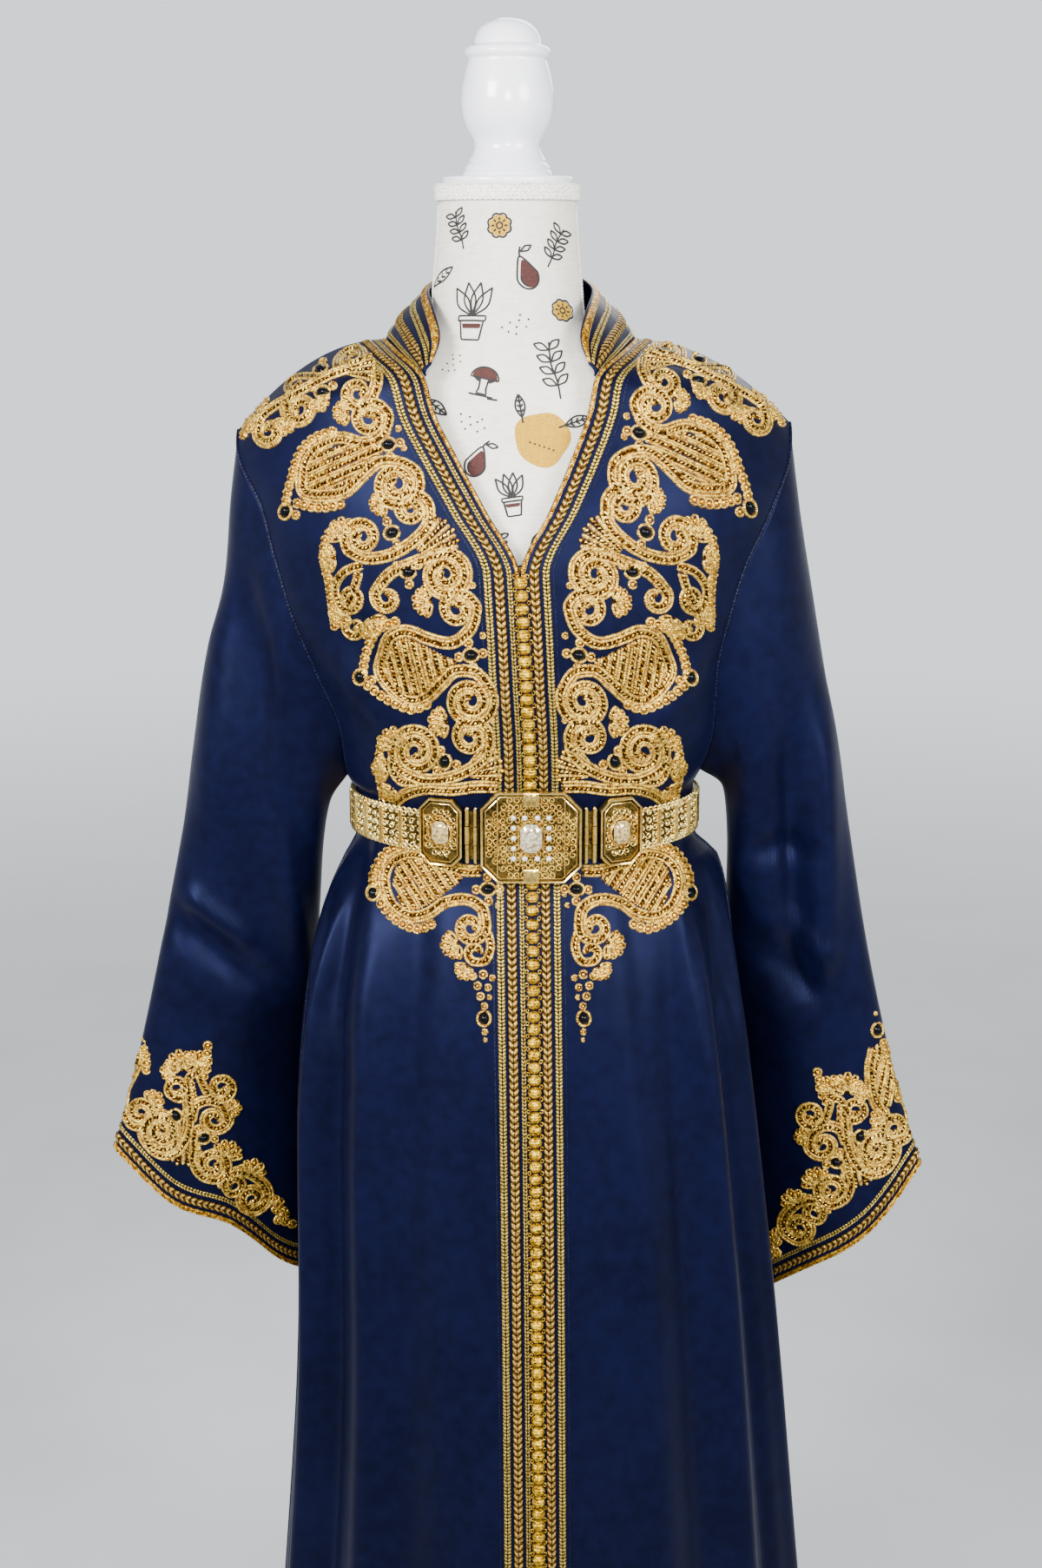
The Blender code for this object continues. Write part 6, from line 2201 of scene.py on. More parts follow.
SKIRT_MOTIFS = (
    Scroll(((0.0404, 0.9476), (0.0544, 0.9475), (0.0699, 0.9518), (0.0853, 0.959),
        (0.1011, 0.9609), (0.116, 0.9532), (0.1216, 0.938), (0.1155, 0.9196),
        (0.1011, 0.9095), (0.0851, 0.912),
        (0.0707, 0.9215), (0.0536, 0.9241), (0.041, 0.9172),
        (0.0383, 0.9047)), tail=(0.0503, 0.9019)),
    Hatch(((0.1153, 0.9362), (0.1105, 0.9523), (0.095, 0.9582), (0.0751, 0.952), (0.0555, 0.9413),
        (0.0691, 0.9285), (0.0861, 0.9167), (0.103, 0.9138)), -123),
    Scallops(((0.0894, 0.966), (0.1052, 0.9666), (0.1186, 0.9616), (0.1263, 0.9522),
        (0.1311, 0.941), (0.13, 0.9297))),
    Scallops(((0.1243, 0.9197), (0.1157, 0.9097), (0.1041, 0.9025), (0.0925, 0.8995),
        (0.0824, 0.9036))),
    Stone((0.0358, 0.9325), 178, 4),
    Stone((0.1307, 0.9283), 101, 1),
    Palmette((0.0596, 0.8893), -24, 6, 0.0154, 130),
    Scroll(((0.0369, 0.8992), (0.0341, 0.8866), (0.0383, 0.8753),
        (0.0468, 0.8739)), tail=(0.0462, 0.8816), narrow=True),
    Palmette((0.0525, 0.871), -55, 5, 0.0126, 110),
    Ring((0.0489, 0.8626), 0.0039),
    Ring((0.0404, 0.864), 0.0042),
    Ring((0.0333, 0.8613), 0.0032),
    Ring((0.0452, 0.8548), 0.0039),
    Ring((0.0367, 0.8535), 0.0035),
    Ring((0.0429, 0.8463), 0.0039),
    Ring((0.0358, 0.8456), 0.0028),
    Ring((0.0399, 0.8384), 0.0035),
    Stone((0.0403, 0.8284), 98, 0),
    Ring((0.0399, 0.8175), 0.0032),
    Ring((0.0397, 0.811), 0.0025),
    Ring((0.0283, 0.9195), 0.0028),
    Ring((0.0261, 0.9286), 0.0028),
)
CUFF_MOTIFS = (
    Scroll(((-0.322, 0.7878), (-0.322, 0.7767), (-0.3286, 0.7639), (-0.3352, 0.7512),
        (-0.3374, 0.7352), (-0.3322, 0.7217)), tail=(-0.322, 0.7304)),
    Scallops(((-0.322, 0.7974), (-0.3176, 0.7878), (-0.3146, 0.7783), (-0.3154, 0.7687))),
    Scallops(((-0.3271, 0.783), (-0.3315, 0.7719), (-0.3337, 0.7623))),
    Palmette((-0.3132, 0.7384), 42, 5, 0.014, 120),
    Scroll(((-0.2912, 0.7145), (-0.2905, 0.7033), (-0.2956, 0.697)), tail=(-0.3036, 0.7145)),
    Scroll(((-0.3161, 0.7113), (-0.3132, 0.6986), (-0.3014, 0.6922), (-0.2897, 0.697),
        (-0.2824, 0.7097), (-0.2795, 0.7241), (-0.2795, 0.74),
        (-0.2802, 0.7575)), head=(-0.3036, 0.7145)),
    Fan((-0.2824, 0.7145), -97, 9, 0.0308, 58),
    Ring((-0.3161, 0.7057), 0.0028),
    Scroll(((-0.2736, 0.7161), (-0.2751, 0.7002), (-0.2765, 0.6858), (-0.2707, 0.6731),
        (-0.2589, 0.6683)), tail=(-0.2611, 0.6818)),
    Scroll(((-0.278, 0.7225), (-0.2736, 0.7368), (-0.2619, 0.7416), (-0.2501, 0.7368),
        (-0.2457, 0.7241)), tail=(-0.2575, 0.7241)),
    Scroll(((-0.2824, 0.7448), (-0.2883, 0.7432),
        (-0.2956, 0.748)), tail=(-0.2875, 0.7528), narrow=True),
    Scroll(((-0.2692, 0.7655), (-0.2648, 0.7528), (-0.2589, 0.7432),
        (-0.2501, 0.7416)), tail=(-0.2509, 0.7528), narrow=True),
    Scroll(((-0.2824, 0.7496), (-0.2765, 0.7639), (-0.2692, 0.7671),
        (-0.2692, 0.7767)), narrow=True),
    Palmette((-0.2831, 0.7687), 99, 7, 0.0182, 150),
    Palmette((-0.2883, 0.7671), 169, 5, 0.014, 110),
    Palmette((-0.2736, 0.7719), 62, 5, 0.0154, 110),
    Palmette((-0.2472, 0.7336), 0, 5, 0.0126, 110),
    Scallops(((-0.2648, 0.7639), (-0.2611, 0.7735), (-0.2611, 0.783), (-0.2604, 0.791))),
    Scallops(((-0.2765, 0.7559), (-0.2751, 0.7448))),
    Stone((-0.2905, 0.728), 108, 2),
    Stone((-0.2677, 0.7073), 22, 3),
    Palmette((-0.2501, 0.6874), 76, 6, 0.0168, 140),
    Scroll(((-0.2472, 0.6746), (-0.2516, 0.6635), (-0.2472, 0.6539),
        (-0.2399, 0.6555)), tail=(-0.2435, 0.6627), narrow=True),
    Scroll(((-0.2472, 0.6731), (-0.2369, 0.6746), (-0.2252, 0.6683), (-0.2164, 0.6571),
        (-0.2164, 0.6444), (-0.2252, 0.6364)), tail=(-0.2281, 0.6483)),
    Palmette((-0.2296, 0.6699), 72, 5, 0.0154, 120),
    Palmette((-0.2135, 0.6396), 21, 5, 0.0112, 140),
    Palmette((-0.2076, 0.6316), -32, 4, 0.0098, 120),
    Scallops(((-0.2076, 0.6252), (-0.201, 0.6228), (-0.1959, 0.6197))),
    Ring((-0.2384, 0.6444), 0.0024),
    Ring((-0.256, 0.6619), 0.0024),
)
OUTER_CUFF_MOTIFS = (
    Stone((-0.3166, 0.8203), 94, 1),
    Ring((-0.3166, 0.8349), 0.0025),
    Scroll(((-0.3114, 0.8058), (-0.3058, 0.7889), (-0.3046, 0.7714), (-0.3069, 0.7565),
        (-0.3139, 0.7442), (-0.3201, 0.7352))),
    Scallops(((-0.3207, 0.8076), (-0.3241, 0.791), (-0.3258, 0.773), (-0.3278, 0.7565))),
    Hatch(((-0.314, 0.8102), (-0.32, 0.8036), (-0.3232, 0.7842), (-0.3246, 0.7651),
        (-0.3207, 0.7506), (-0.3121, 0.752), (-0.3081, 0.7658), (-0.3078, 0.7866)), 108),
)


# ---------------------------------------------------------------- the belt


def point_along(line: Array, distance: float | Array) -> Array:
    """The point or points this far along a line."""
    return read_off(line, lengths(line), distance)


@dataclass
class Plate:
    """A flat face that small things are laid on, turned from straight ahead by `turn` radians."""

    centre: Array
    turn: float

    def out(self) -> Array:
        """The way it faces."""
        return np.array((math.sin(self.turn), -math.cos(self.turn), 0.0))

    def cast(self, spots: Array) -> tuple[Array, Array, Array]:
        """Puts across and up coordinates on the plate, as a Ground does."""
        across = np.array((math.cos(self.turn), math.sin(self.turn), 0.0))
        points = self.centre + spots[:, :1] * across + spots[:, 1:2] * np.array((0.0, 0.0, 1.0))
        return points, np.broadcast_to(self.out(), points.shape), np.ones(len(points), bool)

    def raised(self, outline: Array, rise: float) -> Array:
        """An outline on the plate, lifted off it."""
        points, normals, _ = self.cast(outline)
        return points + normals * rise


@dataclass
class Wrap:
    """The outer face of a band, which small things are laid on.

    Attributes:
        path: the closed line that it follows.
        middle: that line's middle, across.
        level: height of the band's middle.
        off: how far the face stands off the line.
    """

    path: Array
    middle: float
    level: float
    off: float

    def cast(self, spots: Array) -> tuple[Array, Array, Array]:
        """Puts along and up coordinates on the band, as a Ground does.

        Args:
            spots: along and up of each spot.

        Returns:
            The points, their normals, and that all of them meet it.
        """
        before, points, after = (point_along(self.path, spots[:, 0] + step)
                                 for step in (-0.002, 0.0, 0.002))
        along = unit(after - before)
        out = np.stack([along[:, 1], -along[:, 0], 0 * along[:, 0]], axis=1)
        out[((points[:, :2] - (self.middle, 0.0)) * out[:, :2]).sum(axis=1) < 0] *= -1
        points[:, 2] = self.level + spots[:, 1]
        return points + out * self.off, out, np.ones(len(points), bool)


def octagon(width: float, height: float, corner: float, inset: float = 0.0) -> Array:
    """A rectangle with cut corners, drawn in by `inset`.

    Args:
        width: across.
        height: up.
        corner: size of its cut corners.
        inset: how far it is drawn in.

    Returns:
        Its eight corners.
    """
    x, z = width / 2 - inset, height / 2 - inset
    cut = corner - inset * 0.586
    return np.array([(-x, -z + cut), (-x + cut, -z), (x - cut, -z), (x, -z + cut),
                     (x, z - cut), (x - cut, z), (-x + cut, z), (-x, z - cut)])


def stack(heap: Heap, rings: Sequence[Array], slot: int) -> None:
    """Adds the solid between rings of corners, closed below and on top.

    Args:
        heap: what it is added to.
        rings: the rings, from the lowest up.
        slot: which finish it has.
    """
    sides, count = len(rings[0]), len(rings)
    ends = [range(sides - 1, -1, -1), range((count - 1) * sides, count * sides)]
    heap.add(np.concatenate(rings), ends + net(count, sides), slot)


CURL_WIRE = (0.00105, 0.00125)
LINK_WIRE = (0.0011, 0.0014)
LINK_BAR = (0.0017, 0.0024)
RIM_LINES = ((0.0, 0.0025, 0.0026), (0.0036, 0.0049, 0.0018))
STONE_STEPS = ((0.94, 0.0), (1.0, 0.35), (0.84, 0.66), (0.68, 0.88), (0.50, 1.0))
SMALL_STONE = (0.0042, 0.0042, 0.0020)
STONE_LIFT = 0.0016
TUBE_PARTS = ((-1.0, -0.36, 0.0019), (-0.33, 0.33, 0.0023), (0.36, 1.0, 0.0019))
BALL_RADIUS = 0.0017


@dataclass(frozen=True)
class PlaqueSize:
    """Sizes of one plaque of the belt.

    Attributes:
        width: across.
        height: up.
        corner: size of its cut corners.
        rise: its thickness.
        stone: width, height and rise of its stone.
    """

    width: float
    height: float
    corner: float
    rise: float
    stone: tuple[float, float, float]


@dataclass
class Belt:
    """The openwork belt: three plaques, their hinges and the linked band.

    Attributes:
        centre: sizes of the plaque in the middle.
        beside: sizes of the plaque at either side.
        level: height of the band's middle.
        plaque_level: height of the plaques' middles.
        plaque_out: how far the middle plaque stands off the front.
        beside_at: how far along the waist the side plaques are.
        beside_out: how far they stand off it.
        band_start: how far along the waist the band starts.
        band_high: height of the band.
        band_out: how far its outer face stands off the waist.
        link: length of one link.
        pitch: size of the net's curls.
        setting: half width and half height of the rectangle of small stones.
    """

    centre: PlaqueSize = PlaqueSize(0.0815, 0.0755, 0.0140, 0.0036, (0.0175, 0.0235, 0.0046))
    beside: PlaqueSize = PlaqueSize(0.0385, 0.0560, 0.0090, 0.0032, (0.0150, 0.0190, 0.0040))
    level: float = 1.0280
    plaque_level: float = 1.0290
    plaque_out: float = 0.0080
    beside_at: float = 0.0715
    beside_out: float = 0.0038
    band_start: float = 0.0888
    band_high: float = 0.0310
    band_out: float = 0.0045
    link: float = 0.0205
    pitch: float = 0.0056
    setting: tuple[float, float] = (0.0142, 0.0168)

    def path(self) -> Array:
        """Points round the waist, from the left front edge round the back to the right one."""
        share, run = np.linspace(0.0, 1.0, 40), np.full(40, WAIST_RUN)
        left, right = (plain_front(side, run, share) for side in Side)
        back = plain_back(np.full(80, WAIST_RUN), np.linspace(-1.0, 1.0, 80))
        return np.concatenate([left, back[1:-1], right[::-1]])

    def plates(self, path: Array) -> dict[str, tuple[Plate, PlaqueSize]]:
        """The outer face and sizes of each plaque, by its name, on this waist.

        Args:
            path: the waist.

        Returns:
            The faces and sizes.
        """
        row = FRONT.at(WAIST_RUN)
        depth = float(row["front_y"]) - self.plaque_out - self.centre.rise - 0.0001
        middle = np.array((float(row["mid"]), depth, self.plaque_level))
        found = {"centre": (Plate(middle, 0.0), self.centre)}
        third = self.beside.width / 3
        for side in Side:
            line = path if side is Side.LEFT else path[::-1]
            before, at, after = point_along(line, self.beside_at + np.array((-third, 0.0, third)))
            chord = (after - before) * side.value
            plate = Plate(at, math.atan2(chord[1], chord[0]))
            plate.centre = at + plate.out() * (self.beside_out + self.beside.rise + 0.0001)
            plate.centre[2] = self.plaque_level
            found[side.word] = (plate, self.beside)
        return found

    def curls(self, relief: Relief, inside: Callable[[Array], bool], wide: float,
              high: float) -> None:
        """Fills a face with small flat spirals of wire, joined by beads.

        Args:
            relief: what they are laid with.
            inside: tells whether a curl's centre is on the face.
            wide: the face's width.
            high: its height.
        """
        columns, rows = int(wide / self.pitch), int(high / self.pitch)
        reach = np.linspace(self.pitch * 0.56, self.pitch * 0.12, 20)[:, None]
        for i in range(columns + 1):
            for j in range(rows + 1):
                centre = np.array(((i - columns / 2) * self.pitch, (j - rows / 2) * self.pitch))
                if not inside(centre):
                    continue
                hand = 1 if (i + j) % 2 else -1
                turn = (i * 2.1 + j * 1.3) % 6.28 + hand * np.linspace(0.0, 8.4, 20)
                relief.cord(centre + reach * polar(turn), *CURL_WIRE, Thread.CORD)
                if (i * 3 + j * 5) % 4:
                    relief.dome(centre + self.pitch / 2, 0.0017, 0.0017, 0.0, 0.0019,
                                Thread.BULLION, 6)

    @staticmethod
    def rim(heap: Heap, plate: Plate, size: PlaqueSize) -> None:
        """Adds a bevelled frame of two bright lines round a plaque.

        Args:
            heap: what it is added to.
            plate: the plaque's face.
            size: its sizes.
        """
        for first, last, high in RIM_LINES:
            steps = ((first, 0.0), (first + 0.0003, high * 0.8), (first + 0.0009, high),
                     (last - 0.0005, high * 0.75), (last, 0.0))
            rings = [plate.raised(octagon(size.width, size.height, size.corner, inset), rise)
                     for inset, rise in steps]
            heap.add(np.concatenate(rings), net(len(steps), 8, True), 1)

    @staticmethod
    def cut_stone(heap: Heap, plate: Plate, centre: Spot, size: tuple[float, float, float],
                  slot: int) -> None:
        """Adds a step cut stone of this width, height and rise at a spot on a plate.

        Args:
            heap: what it is added to.
            plate: the face that it stands on.
            centre: where it is there.
            size: its width, height and rise.
            slot: which finish it has.
        """
        wide, high, rise = size
        stack(heap, [
            plate.raised(octagon(wide * share, high * share, min(wide, high) * 0.26 * share)
                         + np.array(centre), STONE_LIFT + up * rise)
            for share, up in STONE_STEPS
        ], slot)

    @staticmethod
    def bar(heap: Heap, plate: Plate, low: Spot, high: Spot, rise: tuple[float, float],
            slot: int) -> None:
        """Adds a bevelled bar between two corners on a plate, from one height to another.

        Args:
            heap: what it is added to.
            plate: the face that it stands on.
            low: its lower left corner.
            high: its upper right corner.
            rise: the heights that it starts and ends at.
            slot: which finish it has.
        """
        (x0, z0), (x1, z1) = low, high
        edge = min(x1 - x0, z1 - z0) * 0.22
        stack(heap, [
            plate.raised(np.array([(x0 + inset, z0 + inset), (x1 - inset, z0 + inset),
                                   (x1 - inset, z1 - inset), (x0 + inset, z1 - inset)]), up)
            for inset, up in ((0.0, rise[0]), (0.0, rise[1] * 0.7), (edge, rise[1]))
        ], slot)

    def rhinestones(self, relief: Relief, plate: Plate) -> None:
        """Sets small bright stones in a rectangle round the middle stone.

        Args:
            relief: what they are laid with.
            plate: the plaque's face.
        """
        x, z = self.setting
        spots = [(x * i, z * j) for i in (-1, 1) for j in (-1, -0.5, 0, 0.5, 1)]
        spots += [(x * i, z * j) for i in (-0.36, 0.36) for j in (-1, 1)]
        for spot in spots:
            self.cut_stone(relief.heap, plate, spot, SMALL_STONE, 2)
            for claw in spot + 0.0026 * polar(math.pi / 4 + math.pi / 2 * np.arange(4)):
                relief.dome(claw, 0.0013, 0.0013, 0.0, 0.0034, Thread.BULLION, 5)

    def centre_bars(self, heap: Heap, plate: Plate) -> None:
        """Adds the ridged bars over and under the middle stone and the two upright ones.

        Args:
            heap: what they are added to.
            plate: the plaque's face.
        """
        for sign in (-1, 1):
            near, far = sorted((sign * 0.0258, sign * 0.0372))
            self.bar(heap, plate, (-0.0062, near), (0.0062, far), (0.0, 0.0036), 1)
            for x in (-0.0044, 0.0, 0.0044):
                self.bar(heap, plate, (x - 0.0010, near + 0.001), (x + 0.0010, far - 0.001),
                         (0.003, 0.0046), 1)
        for x in (-0.0270, 0.0270):
            self.bar(heap, plate, (x - 0.0007, -0.0330), (x + 0.0007, 0.0330), (0.0, 0.0020), 1)

    def plaque(self, name: str, plate: Plate, size: PlaqueSize) -> None:
        """Makes the openwork, the frame and the stones of one plaque.

        Args:
            name: centre, left or right.
            plate: its outer face.
            size: its sizes.
        """
        relief = Relief(plate, 0.0008)
        heap, in_centre = relief.heap, name == "centre"
        wide, high = octagon(size.width, size.height, size.corner, 0.0066).max(axis=0)
        stone_w, stone_h, _ = size.stone

        def inside(spot: Array) -> bool:
            """Whether a curl there is within the frame and clear of the stone."""
            x, z = np.abs(spot)
            fits = x <= wide and z <= high and x + z <= wide + high - size.corner * 0.9
            return bool(fits and (x > stone_w * 0.50 or z > stone_h * 0.50))

        self.curls(relief, inside, size.width, size.height)
        relief.loop((0.0, 0.0), stone_h + 0.0034, stone_w + 0.0034, 90.0, 0.0016, 0.0026)
        count = 22 if in_centre else 20
        beads = polar(2 * math.pi * np.arange(count) / count)
        for bead in beads * (stone_w / 2 + 0.0036, stone_h / 2 + 0.0036):
            relief.dome(bead, 0.0021, 0.0021, 0.0, 0.0026, Thread.BULLION, 6)
        self.rim(heap, plate, size)
        self.cut_stone(heap, plate, (0.0, 0.0), size.stone, 4 if in_centre else 3)
        if in_centre:
            self.rhinestones(relief, plate)
            self.centre_bars(heap, plate)
        heap.piece(f"belt_openwork_{name}", "belt_metal", [f"belt_stone_{name}"], Finish.WIRE,
                   Finish.METAL, Finish.CRYSTAL, Finish.CHAMPAGNE, Finish.CLEAR, sharp=28)

    def hinge(self, side: Side, turned: float) -> None:
        """Makes the two upright tubes between two plaques, with their ball ends and knuckles.

        Args:
            side: which hinge.
            turned: how far the plaque beside it is turned, in radians.
        """
        low, high = (np.array(corner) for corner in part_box(f"belt_hinge_{side.word}"))
        plate = Plate((low + high) / 2, turned * 0.6)
        wide = (high[0] - low[0]) / max(math.cos(plate.turn), 0.5)
        half = (high[2] - low[2]) / 2
        heap = Heap()
        for share in (-0.27, 0.24):
            for near, far, radius in TUBE_PARTS:
                up = half * np.linspace(near, far, 5)
                points, _, _ = plate.cast(np.stack([np.full(5, share * wide), up], axis=1))
                heap.add(*tube(points, radius, 10), 1)
            for end in (-half, half):
                points, _, _ = plate.cast(np.array([(share * wide, end)]))
                self.ball(heap, points[0], BALL_RADIUS)
        self.bar(heap, plate, (-wide * 0.42, -half * 0.9), (wide * 0.42, half * 0.9),
                 (-0.0018, -0.0006), 0)
        heap.piece(f"belt_hinge_tubes_{side.word}", "belt_metal", [f"belt_hinge_{side.word}"],
                   Finish.BACKING, Finish.METAL, sharp=40)

    @staticmethod
    def ball(heap: Heap, centre: Array, radius: float) -> None:
        """Adds a small ball of four rings of eight points between two poles.

        Args:
            heap: what it is added to.
            centre: its centre.
            radius: its radius.
        """
        lean = (math.pi * np.arange(1, 5) / 5)[:, None]
        around = polar(math.pi / 4 * np.arange(8))
        rings = np.dstack([np.sin(lean) * around[:, 0], np.sin(lean) * around[:, 1],
                           np.cos(lean) * np.ones(8)]).reshape(-1, 3)
        faces = [(a + 1, d + 1, c + 1, b + 1) for a, b, c, d in net(4, 8)]
        for k in range(8):
            n = (k + 1) % 8
            faces += [(0, 1 + k, 1 + n), (33, 25 + n, 25 + k)]
        heap.add(centre + radius * np.array([(0, 0, 1), *rings, (0, 0, -1)]), faces, 1)

    def band(self, path: Array) -> None:
        """Lays the links' curled wires, bars and edge loops round the band.

        Args:
            path: the waist.
        """
        total = lengths(path)[-1]
        wrap = Wrap(path, float(FRONT.at(WAIST_RUN)["mid"]), self.level, self.band_out)
        relief = Relief(wrap, 0.0013)
        end = total - self.band_start
        links = int((end - self.band_start) / self.link)
        step = (end - self.band_start) / links
        half = self.band_high / 2
        for n in range(links + 1):
            at = self.band_start + n * step
            for x in (at - 0.0012, at + 0.0012):
                if self.band_start <= x <= end:
                    relief.cord([(x, -half * 1.04), (x, half * 1.04)], *LINK_BAR,
                                Thread.BULLION)
            if n < links:
                self.link_wires(relief, n, at, step)
        for at in (self.band_start + 2.02 * step, end - 2.02 * step):
            relief.loop((at, half + 0.0022), 0.0062, 0.0062, 0.0, 0.0014, 0.0016, Thread.BULLION)
        relief.heap.piece("belt_band_links", "belt_metal", [], Finish.WIRE, Finish.METAL)

    def link_wires(self, relief: Relief, number: int, at: float, step: float) -> None:
        """Lays the wires of one link of the band.

        Args:
            relief: what they are laid with.
            number: which link it is.
            at: how far along the waist it starts.
            step: its length.
        """
        half = self.band_high / 2
        reach = np.linspace(0.0031, 0.0007, 12)[:, None]
        for i in range(3):
            for j in range(5):
                centre = np.array((at + step * (i + 0.5) / 3, (j - 2) * half * 0.41))
                hand = 1 if (i + j) % 2 else -1
                turn = (i * 1.9 + j * 2.4 + number) % 6.28 + hand * np.linspace(0.0, 7.6, 12)
                relief.cord(centre + reach * polar(turn), *LINK_WIRE, Thread.CORD)
                relief.dome(centre + (0.0030, 0.0028), 0.0017, 0.0017, 0.0, 0.0018,
                            Thread.BULLION, 5)
        for i in range(4):
            for sign in (-1, 1):
                spot = (at + step * (i + 0.5) / 4, sign * half * 0.99)
                relief.loop(spot, 0.0044, 0.0036, 0.0, 0.0012, 0.0014)

    def build(self) -> None:
        """Makes the whole belt."""
        path = self.path()
        plates = self.plates(path)
        for name, (plate, size) in plates.items():
            self.plaque(name, plate, size)
            dress(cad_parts[f"belt_plaque_{name}"], Finish.BACKING)
        for side in Side:
            self.hinge(side, plates[side.word][0].turn)
        self.band(path)
        dress(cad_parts["belt_band"], Finish.BACKING)


# ---------------------------------------------------------------- lace and print


class Turned:
    """A closed ground seen from behind, for small things laid on its far side."""

    def __init__(self, ground: Ground) -> None:
        """Keeps the ground turned half round."""
        self.ground = Ground(ground.points * (-1.0, -1.0, 1.0), True)

    def cast(self, spots: Array) -> tuple[Array, Array, Array]:
        """Drawn coordinates, as seen from behind, put on the ground."""
        points, normals, met = self.ground.cast(spots)
        return points * (-1.0, -1.0, 1.0), normals * (-1.0, -1.0, 1.0), met


@dataclass
class Lace:
    """The looped lace round the top of the neck and down its two side seams.

    Attributes:
        radius: the neck's radius at the lace.
        profile: how far out and how high the band's edges are.
        rows: height and lean of the loops of each row.
        pitch: distance between loops.
        low: where the side lace ends.
        high: where it starts.
        seams: columns of the form's grid that it runs down.
        wave: length of a wave of the side lace.
        thread: radius of the side lace's threads.
        cord: width and rise of the band's cords.
    """

    radius: float = 0.0560
    profile: tuple[tuple[float, float], ...] = (
        (-0.0004, 1.5265), (0.0014, 1.5269), (0.0017, 1.5300), (0.0014, 1.5323),
        (0.0017, 1.5350), (0.0013, 1.5374), (-0.0004, 1.5380))
    rows: tuple[tuple[float, float], ...] = ((1.5293, 118), (1.5352, 62))
    pitch: float = 0.0043
    low: float = 1.405
    high: float = 1.5275
    seams: tuple[int, int] = (94, 50)
    wave: float = 0.0052
    thread: float = 0.0005
    cord: tuple[float, float] = (0.0011, 0.0012)

    def build(self, form: Form) -> None:
        """Makes the lace on the form.

        Args:
            form: the body that it is sewn to.
        """
        around = polar(math.pi / 2 + np.linspace(0.0, 2 * math.pi, 241))
        circle = np.pad(self.radius * around, ((0, 0), (0, 1)))
        heap = Heap()
        rings = [circle[:-1] * (1 + off / self.radius) + (0.0, 0.0, z) for off, z in self.profile]
        heap.add(np.concatenate(rings), net(len(rings), 240, True))
        total = float(lengths(circle)[-1])
        count = int(total / self.pitch)
        along = np.linspace(0.0, total, count * 6)
        for row, (level, lean) in enumerate(self.rows):
            relief = Relief(Wrap(circle, 0.0, level, 0.0016), 0.0011, heap=heap)
            for k in range(count):
                spot = ((k + 0.5 * row + 0.25) * total / count % total, 0.0)
                relief.loop(spot, 0.0060, 0.0037, lean, 0.0011, 0.0010)
                relief.dome(spot, 0.0016, 0.0022, lean, 0.0012, Thread.CORD, 6)
            for off in (-0.0028, 0.0028):
                up = off + 0.0006 * np.sin(along * 2 * math.pi / total * count)
                relief.cord(np.stack([along, up], axis=1), *self.cord, Thread.CORD)
        heap.piece("lace_band", "lace", ["form_gimp"], Finish.LACE)
        self.sides(form)

    def sides(self, form: Form) -> None:
        """Makes the narrow lace down the neck's side seams.

        Args:
            form: the body that it is sewn to.
        """
        heap = Heap()
        points, normals = form.ground.points, form.ground.normals
        level = points[:, 0, 2]
        rows = np.flatnonzero((level > self.low) & (level < self.high))
        for column in self.seams:
            line, facing = points[rows, column], normals[rows, column]
            aside = unit(np.cross(np.gradient(line, axis=0), facing))
            far = lengths(line)
            fine = np.arange(0.0, far[-1], 0.0006)
            line, facing, aside = (read_off(value, far, fine) for value in (line, facing, aside))
            for phase in (0.0, math.pi):
                high, wave = polar(fine * 2 * math.pi / self.wave + phase).T[..., None]
                strand = line + aside * wave * 0.0022 + facing * (0.0007 + 0.0004 * high)
                heap.add(*tube(strand, self.thread, 4))
            for edge in (-0.0026, 0.0026):
                heap.add(*tube((line + aside * edge + facing * self.thread)[::2], self.thread, 4))
        heap.piece("lace_seams", "lace", [], Finish.LACE)


class Ink(Enum):
    """An ink of the print; its value is the finish's place on the piece."""

    BLACK = 0
    OCHRE = 1
    RUSSET = 2


Drawing = tuple[list[tuple[Ink, Array]], list[Array]]
ROUND = np.linspace(0.0, 2 * math.pi, 33)


def lines_of(*lines: Sequence[Sequence[float]]) -> list[Array]:
    """Lines given by their points, as arrays."""
    return [np.array(line, float) for line in lines]


